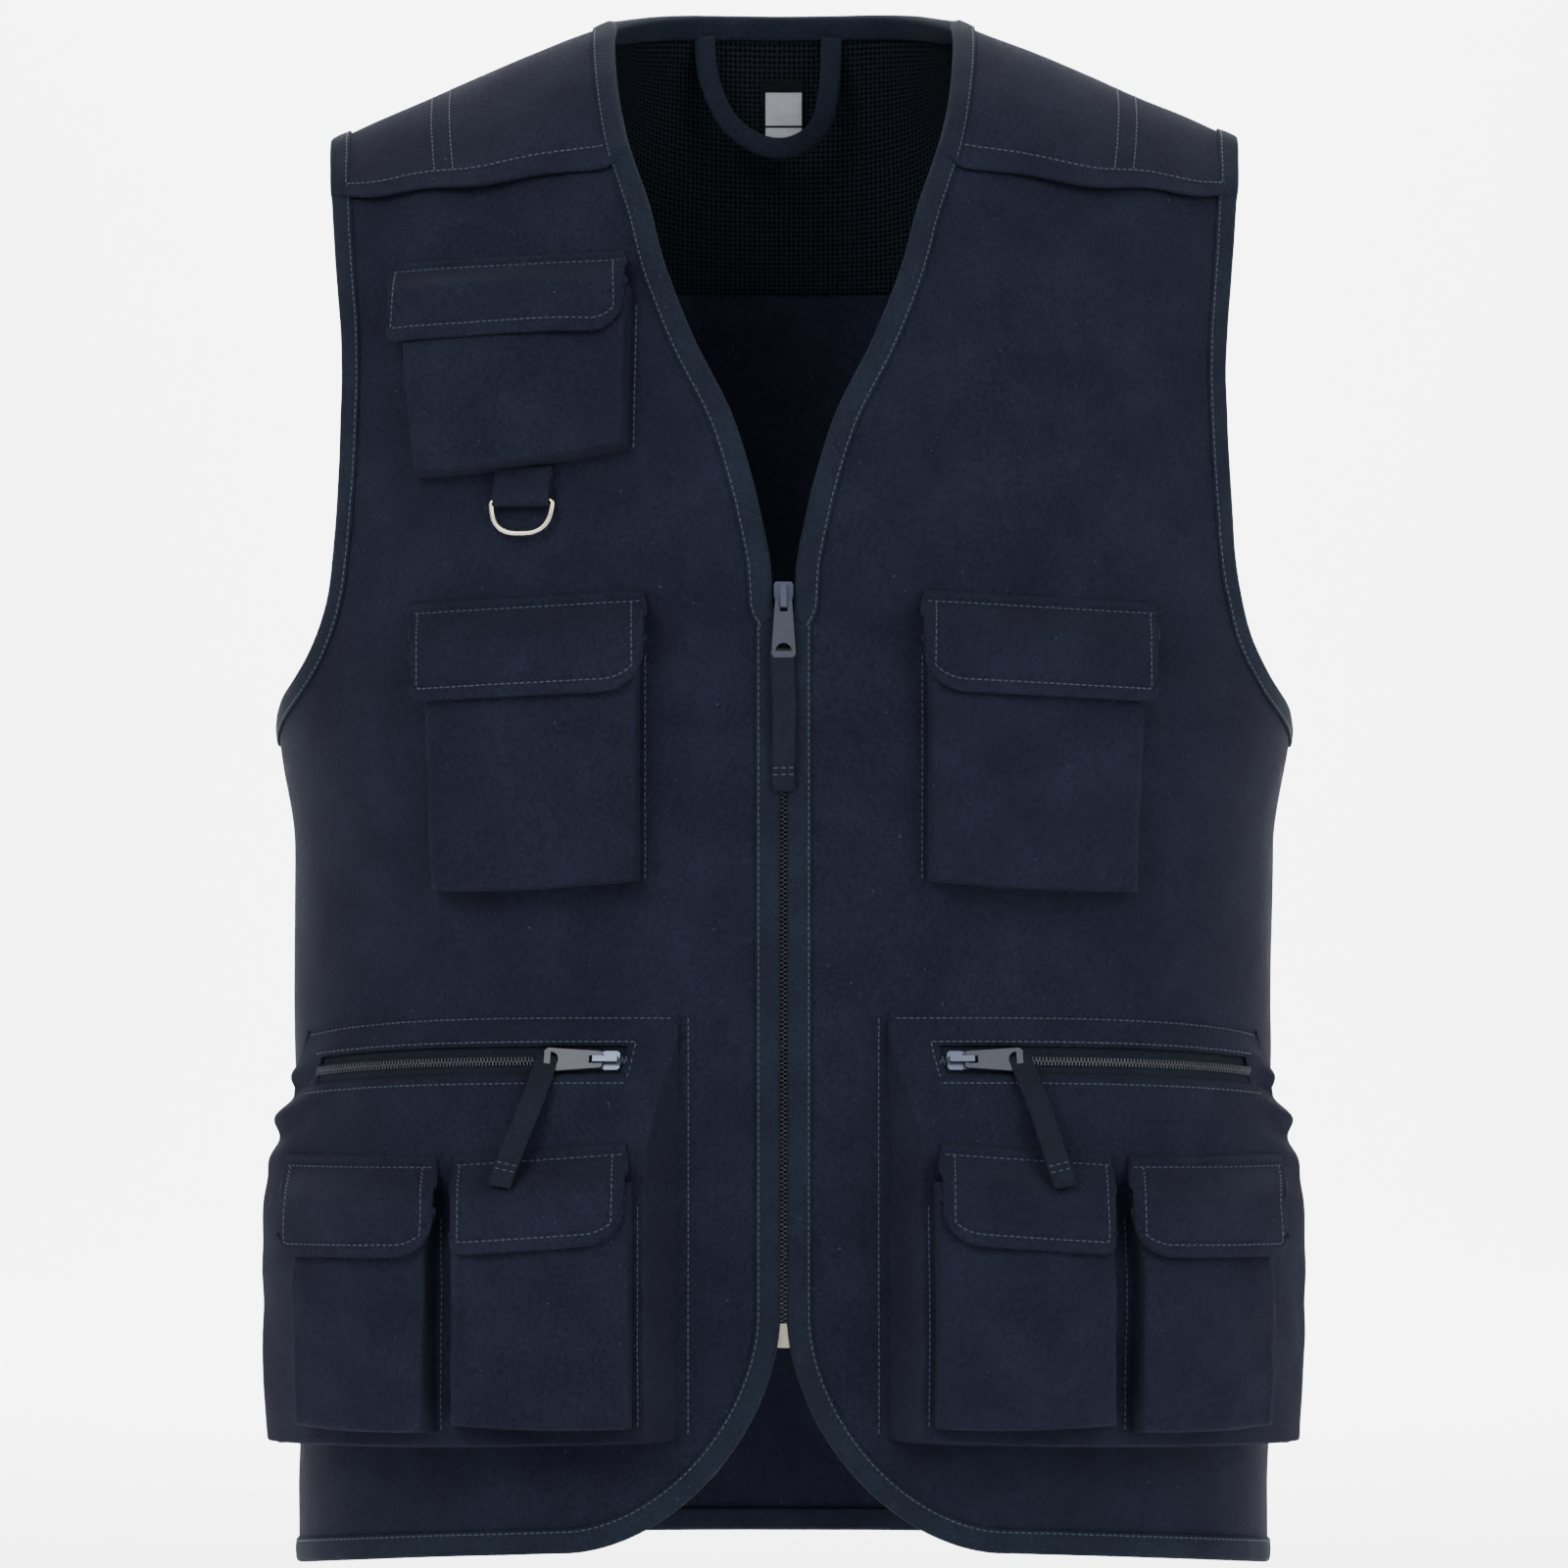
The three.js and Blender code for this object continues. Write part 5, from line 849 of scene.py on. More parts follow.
def yoke_front_points(hand, share_rows=34, columns=96):
    """The yoke's front part: its free edge dips and lifts in a soft wave, dying away towards the shoulder."""
    angle, level = front_grid(columns, YOKE_STEP, 420)
    rows = np.linspace(0, len(angle) - 1, share_rows).astype(int)
    angle, level = angle[rows], level[rows]
    share = np.linspace(0, 1, share_rows)[:, None]
    across = np.linspace(0, 1, columns)[None, :]
    wave = np.sin(np.pi * across) * (1 + 0.35 * np.cos(5 * np.pi * across))
    down = unit(np.array([0, -0.45, -1]))
    angle, level = walk(angle, level, FRONT, down, YOKE_WAVE * wave * (1 - share) ** 1.6)
    lift = 3.2 * wave * (1 - share) ** 3 + 0.5 * (1 - share) ** 8
    return raised(angle * hand, np.minimum(level, 90), FRONT, YOKE_FACE + lift)


def build_yoke():
    """The yoke: a front part on each side with its tucks, and the back part with its seam."""
    seams = Seam()
    for name, hand in SIDES.items():
        points, normals = yoke_front_points(hand)
        cloth_piece(f"shoulder_yoke_front_{name}", points, CLOTH,
                    replaces=["shoulder_yoke"] if hand == LEFT else ())
        edge = slice(3, -3)
        seams.line(points[4, edge], normals[4, edge])
        # A tuck crosses the yoke from the shoulder to the free edge, stitched down both sides
        for tuck_x in TUCK_LINES:
            column = int(np.argmin(np.abs(np.abs(points[10, :, 0]) - tuck_x)))
            seams.line(points[4:-1, column], normals[4:-1, column])
    angle, level = yoke_back_grid()
    points, _ = raised(angle, level, BACK, YOKE_FACE)
    cloth_piece("shoulder_yoke_back", points, CLOTH,
                replaces=["shoulder_yoke"])
    for above in SEAM_ROWS:
        across = angle[0, 4:-4]
        level = level_of(across_at(across, BACK), above - YOKE_BACK_DROP)
        seams.line(*raised(across, level, BACK, YOKE_FACE))
    seams.finish("yoke_stitching")


# Bindings

# A tape's outer leg, from its sewn edge to the fold: share of its width, and share of its thickness
BINDING_LEG = ((1.0, 0.15), (0.985, 0.8), (0.86, 0.8), (0.66, 1.12), (0.44, 1.2), (0.22, 1.1), (0.05, 0.95))
BINDING_TURNS = np.linspace(0, np.pi, 7)[1:-1]


def binding_piece(name, line, hand, top, low, replaces, seams, loop=False):
    """A tape folded round an edge: a crowned outer leg, a round fold over the edge, a flat inner leg. The
    edge is a line of angles, levels and sides of the form; hand says on which side of it the cloth lies."""
    angle, level, side = line
    edge, normal = spot_sides(angle, level, side)
    ahead = np.roll(edge, -1, 0) - np.roll(edge, 1, 0) if loop else np.gradient(edge, axis=0)
    inward = unit(np.cross(normal, unit(ahead))) * hand
    crown = [thick for _, thick in BINDING_LEG]
    walked = [spot_sides(*walk_sides(angle, level, side, inward, BINDING_WIDTH * share), side)
              for share, _ in BINDING_LEG]
    pucker = 0.22 * cloth_noise(edge, 7.0, 11)
    top, low = np.broadcast_to(top, len(angle)), np.broadcast_to(low, len(angle))
    sway = [ripple(p) for p, _ in walked]
    outer = [p + n * (top + c * BINDING_CLOTH + pucker + w)[:, None]
             for (p, n), c, w in zip(walked, crown, sway)]
    middle, half = (top + low) / 2, (top - low) / 2 + BINDING_CLOTH * 0.95
    near_p, near_n = walked[-1]
    round_edge = GAP + BINDING_CLOTH + 0.4
    fold = [near_p - inward * (round_edge * math.sin(t))
            + near_n * (middle + half * math.cos(t) + sway[-1])[:, None] for t in BINDING_TURNS]
    inner = [p + n * (low - c * BINDING_CLOTH + w)[:, None]
             for (p, n), c, w in zip(walked[::-1], crown[::-1], sway[::-1])]
    back = [walked[k][0] + walked[k][1] * (height + sway[k])[:, None]
            for k, height in ((0, low), (-1, low), (-1, top), (0, top))]
    section = np.stack(outer + fold + inner + back, axis=1)
    rows, columns = section.shape[:2]
    faces = quads_of(rows, columns, loop_rows=loop, loop_columns=True).tolist()
    if not loop:
        faces += [list(range(columns)), list(range((rows - 1) * columns, rows * columns))]
    run = runs_along(section[:, 3])
    uv = np.stack(np.meshgrid(runs_along(section.mean(0)), run), -1)
    made = recalculated(new_object(name, section, faces, uv))
    dress(made, "binding", "vest", [replaces])
    seams.line(outer[2], walked[2][1], lift=0.05)


def spot_sides(angle, level, side):
    """Places and normals on the front or the back of the form, by each point's side."""
    front, back = spot(angle, level, FRONT), spot(angle, level, BACK)
    pick = (np.asarray(side) < 0)[..., None]
    return np.where(pick, front[0], back[0]), np.where(pick, front[1], back[1])


def walk_sides(angle, level, side, direction, distance):
    """Walks on the front or the back of the form, by each point's side."""
    front = walk(angle, level, FRONT, direction, distance)
    back = walk(angle, level, BACK, direction, distance)
    pick = np.asarray(side) < 0
    return np.where(pick, front[0], back[0]), np.where(pick, front[1], back[1])


def armhole_line(hand, count=150):
    """The whole armhole: up its front edge from the armpit, over the shoulder and down its back edge."""
    rise = np.sin(np.linspace(0, np.pi / 2, count)) ** 2
    front, back = armhole_edge(rise, FRONT), armhole_edge(rise[::-1][1:-1], BACK)
    angle = np.concatenate([front[0], back[0]])
    level = np.concatenate([front[1], back[1]])
    side = np.concatenate([np.full(count, FRONT), np.full(count - 2, BACK)])
    share = np.concatenate([rise, rise[::-1][1:-1]])
    yoke_from = np.where(side == FRONT, YOKE_AT_ARMHOLE_FRONT, YOKE_AT_ARMHOLE_BACK)
    top = mix(ONE_CLOTH, TWO_CLOTHS, ease((share - yoke_from) / 0.03))
    return angle * hand, level, side, top


def neck_line(count=190, back_count=120):
    """The neck from the foot of the V on the wearer's right, round the back, to the foot on the left."""
    rise = np.linspace(0, 1, count)
    front = neck_edge(rise)
    x = NECK_HALF * np.sin(np.linspace(-np.pi / 2, np.pi / 2, back_count))[1:-1]
    behind = np.sign(x) * angle_of(x, 0.0)
    behind_level = back_top_level(behind)
    angle = np.concatenate([-front[0], behind, front[0][::-1]])
    level = np.concatenate([front[1], behind_level, front[1][::-1]])
    side = np.concatenate([np.full(count, FRONT), np.full(back_count - 2, BACK), np.full(count, FRONT)])
    yoke, lined = ease((rise - YOKE_AT_NECK) / 0.02), ease((rise - LINING_AT_NECK) / 0.03)
    yoke, lined = (np.concatenate([part, np.ones(back_count - 2), part[::-1]]) for part in (yoke, lined))
    return angle, level, side, mix(ONE_CLOTH, TWO_CLOTHS, yoke), mix(-GAP, LINED, lined)


def front_line(count=60):
    """The front's edge: along the hem from the side seam, round the corner and up to the foot of the V."""
    start = float(corner_edge(np.array(90.0))[0])
    hem = np.linspace(90, start, count)[:-1]
    turn = np.linspace(90, 0, count)
    z = np.linspace(CORNER_TOP_Z, V_BASE_Z - GAP, count * 2)[1:]
    parts = [(hem, lower_level(hem, 0.0, FRONT)), corner_edge(turn), straight_edge(z)]
    return tuple(np.concatenate([part[k] for part in parts]) for k in (0, 1))


def build_bindings():
    """Binds the armholes, the fronts, the neck and the back hem."""
    seams = Seam()
    for name, hand in SIDES.items():
        *line, top = armhole_line(hand)
        binding_piece(f"armhole_tape_{name}", line, hand, top, -GAP, f"armhole_binding_{name}", seams, True)
        angle, level = front_line()
        binding_piece(f"front_tape_{name}", (angle * hand, level, FRONT), -hand, ONE_CLOTH, -GAP,
                      f"front_binding_{name}", seams)
    *line, top, low = neck_line()
    binding_piece("neck_tape", line, 1, top, low, "neck_binding", seams)
    angle = np.linspace(-90, 90, 180)
    binding_piece("back_hem_tape", (angle, lower_level(angle, 0.0, BACK), BACK), -1, ONE_CLOTH, -GAP,
                  "back_hem_binding", seams)
    seams.finish("binding_stitching")


# Pockets

# Points up a gusset, round its corner, and both
WALL, TURN = 8, 5
EDGE = WALL + TURN - 1
# How far a gusset's foot is pressed into the cloth that it is sewn to
PRESSED = 0.6


class Pouch:
    """A pouch held off the cloth by gussets. Its functions give, for shares of its height and its width, the
    arcs of its sides, its height above the cloth and where its rows lie. Each side goes straight up the
    gusset from its foot, leaning by the given run, round a small corner and on to the face."""

    def __init__(self, near, far, near_lean, far_lean, z, off, bed, foot_drop, tip, soft=1.6, pleat=1.5):
        self.near, self.far, self.near_lean, self.far_lean = near, far, near_lean, far_lean
        self.z, self.off, self.bed, self.foot_drop = z, off, bed, foot_drop
        self.tip, self.soft, self.pleat = tip, soft, pleat

    def grid(self, rows=46, columns=46):
        """Arc, height, stand-off, share of it reached, and shares of height and width, at each point."""
        wall = np.linspace(0, 1, WALL)
        turn = np.linspace(0, np.pi / 2, TURN)[1:]
        up = np.concatenate([wall * (1 - self.tip), 1 - self.tip + self.tip * np.sin(turn)])
        lean = np.concatenate([1 - wall, 0 * turn])
        curve = np.concatenate([1 + 0 * wall, np.cos(turn)])
        fold = np.concatenate([np.sin(np.pi * wall), 0 * turn])
        plain = np.zeros(columns - 2 + EDGE)
        near_lean, near_curve, near_fold = (np.concatenate([part, plain]) for part in (lean, curve, fold))
        far_lean, far_curve, far_fold = near_lean[::-1], near_curve[::-1], near_fold[::-1]
        side_rise = np.concatenate([up, np.ones(columns - 2), up[::-1]])
        across = np.concatenate([np.zeros(EDGE), np.linspace(0, 1, columns)[1:-1], np.ones(EDGE)])
        down = np.concatenate([np.linspace(0, 1, rows)[:-1], np.ones(EDGE)])
        level = np.zeros(rows - 1)
        foot_lean, foot_curve = (np.concatenate([level, part[::-1]]) for part in (lean, curve))
        foot_rise = np.concatenate([level + 1, up[::-1]])
        v, s = np.meshgrid(down, across, indexing="ij")
        slack = self.pleat * np.sin(np.pi * np.clip(v, 0, 1)) ** 0.6
        near = self.near(v) + self.soft * (1 - near_curve) - self.near_lean(v) * near_lean + slack * near_fold
        far = self.far(v) - self.soft * (1 - far_curve) + self.far_lean(v) * far_lean - slack * far_fold
        arc = mix(near, far, s)
        length = self.z(0 * v, s) - self.z(1 + 0 * v, s)
        z = self.z(v * (1 - self.soft / length), s) - self.soft * foot_curve[:, None]
        z = z - self.foot_drop * foot_lean[:, None]
        return arc, z, self.off(v, s), side_rise[None, :] * foot_rise[:, None], v, s


def pouch_surface(pouch, hand, seed):
    """Points of a pouch's outer face: the bed, plus how far it stands off, with soft dents in the cloth."""
    arc, z, off, lift, v, s = pouch.grid()
    flat, _ = front_at(arc, z, 0, hand)
    dents = 1.3 * cloth_noise(flat, 26.0, seed) + 0.5 * cloth_noise(flat, 11.0, seed + 1)
    edge = np.exp(-(((s - 0.02) / 0.02) ** 2)) + np.exp(-(((s - 0.98) / 0.02) ** 2)) + np.exp(
        -(((v - 0.985) / 0.015) ** 2))
    height = pouch.bed(arc, z) + lift * (off + dents * (1 - 0.5 * edge) + 0.5 * edge) - PRESSED * (1 - lift)
    return front_at(arc, z, height, hand)


def plain_pouch(near, far, taper, top, bottom, depth, bed, sag):
    """Patch pouch: stands off less under its flap, full from half way down, with a soft crown."""
    return Pouch(
        near=lambda v: near + 0 * v,
        far=lambda v: far - taper * v,
        near_lean=lambda v: 0.5 + 0 * v,
        far_lean=lambda v: 4.0 + 0 * v,
        z=lambda v, s: mix(mix(*top, s), mix(*bottom, s), v) - sag * np.sin(np.pi * s) * v,
        off=lambda v, s: depth * mix(0.78, 1, ease(v / 0.5)) + 2 * np.sin(np.pi * s),
        bed=bed,
        foot_drop=1.0,
        tip=0.14,
    )


def rounded_end(distance, radius):
    """How much a flap is cut short near an end by its round corner."""
    short = np.clip(radius - distance, 0, radius)
    return radius - np.sqrt(np.maximum(radius**2 - short**2, 0))


def flap_heights(v, s, height, depth):
    """How far a flap stands off: folded over at its seam, held down by its stitches, then over the pouch."""
    down = v * height
    fold = 2.9 * (1 - np.exp(-down / 0.9))
    over = depth + 1.9 + 2 * np.sin(np.pi * s) - np.abs(2 * s - 1) ** 6
    climb = ease((v - 0.1) / 0.36)
    groove = 0.55 * np.exp(-(((down - 5) / 0.9) ** 2))
    left = height - down
    hem = 0.5 * np.exp(-(((left - 3.2) / 2.4) ** 2)) - 0.35 * np.exp(-(((left - 6.5) / 0.7) ** 2))
    return mix(fold, over, climb) - groove + hem


def flap_surface(flap, hand, seed):
    """Points of a flap's outer face, its free lower corners rounded."""
    near, width, top, height, depth, bed, radius = (
        flap[key] for key in ("near", "width", "top", "height", "depth", "bed", "radius")
    )
    even = np.linspace(0, 1, 64)
    s = mix(even, (1 - np.cos(np.pi * even)) / 2, 0.6)
    v = np.linspace(0, 1, 40)
    v, s = np.meshgrid(v, s, indexing="ij")
    cut = rounded_end(s * width, radius) + rounded_end((1 - s) * width, 5.0)
    z = mix(top[0], top[1], s) - v * (height - cut)
    arc = near + width * s
    flat, out = front_at(arc, z, 0, hand)
    dents = (0.9 * cloth_noise(flat, 24.0, seed) + 0.35 * cloth_noise(flat, 9.0, seed + 1)) * ease(v / 0.3)
    lift = flap_heights(v, s, height - cut, depth)
    # The ends stay upright from in front, so the low part at the seam is carried out round the body
    arc = arc + (depth + 2 - lift) * np.abs(out[..., 0] / out[..., 1])
    points, normals = front_at(arc, z, bed(arc, z) + lift + dents, hand)
    return points, normals, (s, height - cut, width)


def along_rows(grid, row, column):
    """Values of a grid at fractional rows, between the two nearest ones."""
    low = np.minimum(row.astype(int), grid.shape[0] - 2)
    return mix(grid[low, column], grid[low + 1, column], (row - low)[:, None])


def flap_stitches(seams, points, normals, places):
    """Top stitches 5 mm under the fold and edge stitches about 5 mm in from the free edges."""
    s, height, width = places
    rows, columns = s.shape
    top = 5 / height[0] * (rows - 1)
    bottom = (1 - 5.6 / height[0]) * (rows - 1)
    start, stop = int(np.searchsorted(s[0], 4.5 / width)), int(np.searchsorted(s[0], 1 - 3.2 / width))
    column = np.arange(2, columns - 2)
    seams.line(along_rows(points, top[column], column), along_rows(normals, top[column], column))
    down, up = np.arange(top[start], bottom[start]), np.arange(top[stop], bottom[stop])[::-1]
    row = np.concatenate([down, bottom[start:stop], up])
    column = np.concatenate([np.full(len(down), start), np.arange(start, stop), np.full(len(up), stop)])
    seams.line(along_rows(points, row, column), along_rows(normals, row, column))


def on_body(arc, _):
    """A pocket's bed on the body's cloth."""
    return CLOTH + 0 * arc


# The top edge falls away and the foot drops towards the side; the inner side leans in from top to foot
BELLOWS = {"arc": 45.0, "width": 194.0, "top": -440.5, "height": 188.0, "depth": 24.0, "lean": 12.0,
           "side_lean": 2.0, "tuck": 5.0, "crown": 2.0, "top_fall": 11.0, "fall": 7.0}
BELLOWS_SPAN = BELLOWS["width"] - BELLOWS["lean"] - BELLOWS["side_lean"]
WINDOW_INSET, WINDOW_HEIGHT, ZIP_BELOW_SEAM = 18.0, 10.4, 22.0


def bellows_z(v, s):
    """Height of the bellows' rows, between its top seam and its foot."""
    seam = BELLOWS["top"] - BELLOWS["top_fall"] * np.maximum(s, 0) ** 3
    return mix(seam, BELLOWS["top"] - BELLOWS["height"] - BELLOWS["fall"] * s, v)


def bellows_off(v, s):
    """How far the bellows stands off: its profile from top to foot, and a crown across."""
    crown = BELLOWS["crown"] * np.sin(np.pi * np.clip(s, 0, 1)) * ease(v / 0.3)
    return BELLOWS["depth"] * look_up(BELLOWS_PROFILE, v) + crown


def bellows_near(v):
    """Arc of the bellows' inner side."""
    return BELLOWS["arc"] + BELLOWS["lean"] * ease(v / 0.35)


def bellows_far(v):
    """Arc of the bellows' outer side."""
    return BELLOWS["arc"] + BELLOWS["width"] - BELLOWS["side_lean"] * ease(v / 0.2)


def bellows_dents(arc, z, v, s, hand):
    """Slack of the bellows front: soft dents, and short folds fanning out where its outer top corner is
    gathered beyond the end of the zip."""
    flat, _ = front_at(arc, z, 0, hand)
    dents = 1.7 * cloth_noise(flat, 38.0, 41 + hand) + 0.6 * cloth_noise(flat, 14.0, 43)
    gather = np.exp(-(((s - 0.99) / 0.08) ** 2) - (((v - 0.19) / 0.12) ** 2))
    folds = 3.4 * gather * np.sin((z + 0.4 * arc) / 3.2)
    return dents * ease((v - 0.12) / 0.2) + folds


def bellows_front(arc, z, hand):
    """Height of the bellows front over the body."""
    s = np.clip((arc - BELLOWS["arc"] - BELLOWS["lean"]) / BELLOWS_SPAN, 0, 1)
    top = bellows_z(0, s)
    v = np.clip((top - z) / (top - bellows_z(1, s)), 0, 1)
    return CLOTH + bellows_off(v, s) + bellows_dents(arc, z, v, s, hand)


def pocket_pair(spec, bed):
    """A pouch and the flap over it, from one row of sizes."""
    near, top, slant = spec["arc"], spec["top"], spec["slant"]
    pouch_near = near + spec.get("shift", 4.0)
    pouch_far = pouch_near + spec.get("pouch_width", spec["width"] - 8.0)
    pouch = plain_pouch(
        pouch_near, pouch_far, spec.get("taper", 0.0), (top - 17, top - 17 - slant),
        (top - spec["height"], top - spec["height"] - spec.get("hang", 0.0)), spec["depth"], bed, spec["sag"],
    )
    flap = {"near": near, "width": spec["width"], "top": (top, top - slant), "height": spec["flap"],
            "depth": spec["depth"], "bed": bed, "radius": spec["radius"]}
    return pouch, flap


# The flap's arc, width and top; the pouch's shift from it, its width, height and how its foot hangs
POCKETS = {
    "upper": {"arc": 66.5, "width": 109.5, "shift": 2.0, "pouch_width": 103.5, "top": -108.0, "slant": 3.5,
              "height": 88.0, "hang": 11.0, "taper": 10.0, "flap": 39.0, "depth": 11.0, "sag": 2.0,
              "radius": 18.0, "on": "body"},
    "chest": {"arc": 59.0, "width": 102.0, "top": -258.0, "slant": 5.0, "height": 126.0, "hang": 5.0,
              "taper": 4.0, "flap": 44.0, "depth": 13.0, "sag": 1.0, "radius": 18.0, "on": "body"},
    "inner": {"arc": 64.0, "width": 68.0, "top": -497.5, "slant": 6.0, "height": 124.0, "shift": -1.0,
              "pouch_width": 70.0, "flap": 44.0, "depth": 13.0, "sag": 1.0, "radius": 16.0, "on": "bellows"},
    "outer": {"arc": 139.0, "width": 66.0, "top": -504.5, "slant": 2.0, "height": 120.0, "shift": 5.0,
              "pouch_width": 56.0, "flap": 44.0, "depth": 13.0, "sag": 1.0, "radius": 16.0, "on": "bellows"},
}


def build_pocket(kind, name, hand, seams, seed):
    """A pouch with its flap and stitches, on the body or on the bellows."""
    spec = POCKETS[kind]
    bed = on_body if spec["on"] == "body" else lambda arc, z: bellows_front(arc, z, hand)
    pouch, flap = pocket_pair(spec, bed)
    suffix = "" if kind == "upper" else f"_{name}"
    points, _ = pouch_surface(pouch, hand, seed)
    cloth_piece(f"{kind}_pouch_cloth{suffix}", points, POUCH_CLOTH, replaces=[f"{kind}_pouch{suffix}"])
    # Where the gusset is sewn down, up its inner side
    share = np.linspace(0.1, 1, 50)
    beside = pouch.near(share) - 2.6
    z = pouch.z(share, 0.0)
    seams.line(*front_at(beside, z, pouch.bed(beside, z), hand))
    points, normals, places = flap_surface(flap, hand, seed + 7)
    cloth_piece(f"{kind}_flap_cloth{suffix}", points, FLAP_CLOTHS, replaces=[f"{kind}_flap{suffix}"])
    flap_stitches(seams, points, normals, places)


def build_chest_pockets():
    """The two chest pockets and the upper one on the wearer's right."""
    seams = Seam()
    for name, hand in SIDES.items():
        build_pocket("chest", name, hand, seams, 21 + hand)
    build_pocket("upper", "right", RIGHT, seams, 31)
    seams.finish("chest_pocket_stitching")


def build_bellows():
    """The two bellows pockets, each with a window for its zip and two small pockets on it."""
    seams = Seam()
    for name, hand in SIDES.items():
        pouch = Pouch(
            near=bellows_near, far=bellows_far,
            near_lean=lambda v: BELLOWS["lean"] * ease(v / 0.35) * 0.9,
            far_lean=lambda v: -BELLOWS["tuck"] * ease(v / 0.2),
            z=bellows_z, off=bellows_off, bed=on_body, foot_drop=-2.0, tip=0.07, pleat=2.5,
        )
        arc, z, off, lift, v, s = pouch.grid(96, 110)
        dents = bellows_dents(arc, z, v, s, hand)
        # The cloth turns in at the two lips of the zip
        from_zip = np.abs(v * BELLOWS["height"] - ZIP_BELOW_SEAM)
        lips = 1.3 * (1 - ease((from_zip - WINDOW_HEIGHT / 2) / 2.6)) * ease((v - 0.05) / 0.02)
        height = CLOTH + lift * (off + dents - lips) - PRESSED * (1 - lift)
        points, normals = front_at(arc, z, height, hand)
        lip_from, lip_to = ((ZIP_BELOW_SEAM + k * WINDOW_HEIGHT / 2) / BELLOWS["height"] for k in (-1, 1))
        inset = WINDOW_INSET / BELLOWS_SPAN
        mid_v = (v[:-1, :-1] + v[1:, 1:]) / 2
        mid_s = (s[:-1, :-1] + s[1:, 1:]) / 2
        window = (mid_v > lip_from) & (mid_v < lip_to) & (mid_s > inset) & (mid_s < 1 - inset)
        cloth_piece(f"bellows_pouch_cloth_{name}", points, POUCH_CLOTH, keep=~window,
                    replaces=[f"bellows_pouch_{name}"])
        # Stitched under the top seam, then above, below and at the inner end of the zip
        seams.line(points[2, EDGE:-EDGE], normals[2, EDGE:-EDGE])
        upper, lower = (int(k) for k in np.searchsorted(v[:, 0], (lip_from - 0.02, lip_to + 0.022)))
        start, stop = (int(k) for k in np.searchsorted(s[0], (inset, 1 - inset)) + np.array([-2, 2]))
        for row in (upper, lower):
            seams.line(points[row, start:stop], normals[row, start:stop])
        seams.line(points[upper:lower, start], normals[upper:lower, start])
        # Where the gusset is sewn to the body, beside the inner edge
        side_z = bellows_z(np.linspace(0.02, 0.985, 60), 0.0)
        seams.line(*front_at(BELLOWS["arc"] - 3.5, side_z, CLOTH, hand))
        for kind in ("inner", "outer"):
            build_pocket(kind, name, hand, seams, 51 + hand + len(kind))
    seams.finish("bellows_pocket_stitching")


# Zips

def beads(name, rows, sizes, replaces):
    """Many small tapered blocks in one mesh: a tooth at each centre, wider at its foot than at its head."""
    centres, ahead, across, out = (part[:, None] for part in rows)
    shape = np.array([(a, b, c) for c in (-1, 1) for a, b in ((-1, -1), (1, -1), (1, 1), (-1, 1))], float)
    taper = np.where(shape[:, 2:] > 0, HEAD_SHARE, 1.0)
    local = shape * np.concatenate([taper, taper, np.ones_like(taper)], axis=1) * np.asarray(sizes) / 2
    points = centres + ahead * local[..., :1] + across * local[..., 1:2] + out * local[..., 2:3]
    made = recalculated(new_object(name, points, block_faces(len(centres)), smooth=False))
    dress(made, "teeth", replaces=replaces)


def tooth_rows(line, normals, pitch, spread):
    """Centres and directions of the teeth of a closed zip: left and right by turns along a line."""
    at = np.arange(0.5, runs_along(line)[-1] / pitch) * pitch
    here, ahead, out = places_along(line, normals, at)
    ahead = unit(ahead)
    across = np.cross(out, ahead)
    turn = np.where(np.arange(len(at)) % 2, 1, -1)[:, None]
    return here + across * turn * spread, ahead, across, out


def strip(name, left, right, rows, replaces):
    """A zip's tape between two lines of points."""
    points = np.stack([mix(left, right, share) for share in np.linspace(0, 1, rows)], axis=1)
    cloth_piece(name, points, ZIP_CLOTH, "zip_tape", replaces=replaces)


# A tooth's head is this share of its foot; sizes go along, across and out, a main tooth's first in pitches
HEAD_SHARE = 0.72
TOOTH_SIZE, COIL_SIZE, COIL_PITCH = (0.62, 3.0, 1.9), (1.0, 2.6, 1.3), 0.8
TOOTH_SPREAD, CHAIN_TOP_Z = 1.05, -266.5
ZIP_TAPE_EDGES, ZIP_TAPE_HEIGHT, TEETH_HEIGHT, COIL_HEIGHT = (3.0, 14.5), -2.4, -2.5, -1.5
BELLOWS_ZIP_HALF, ZIP_UNDER_LIP = 9.0, 3.8


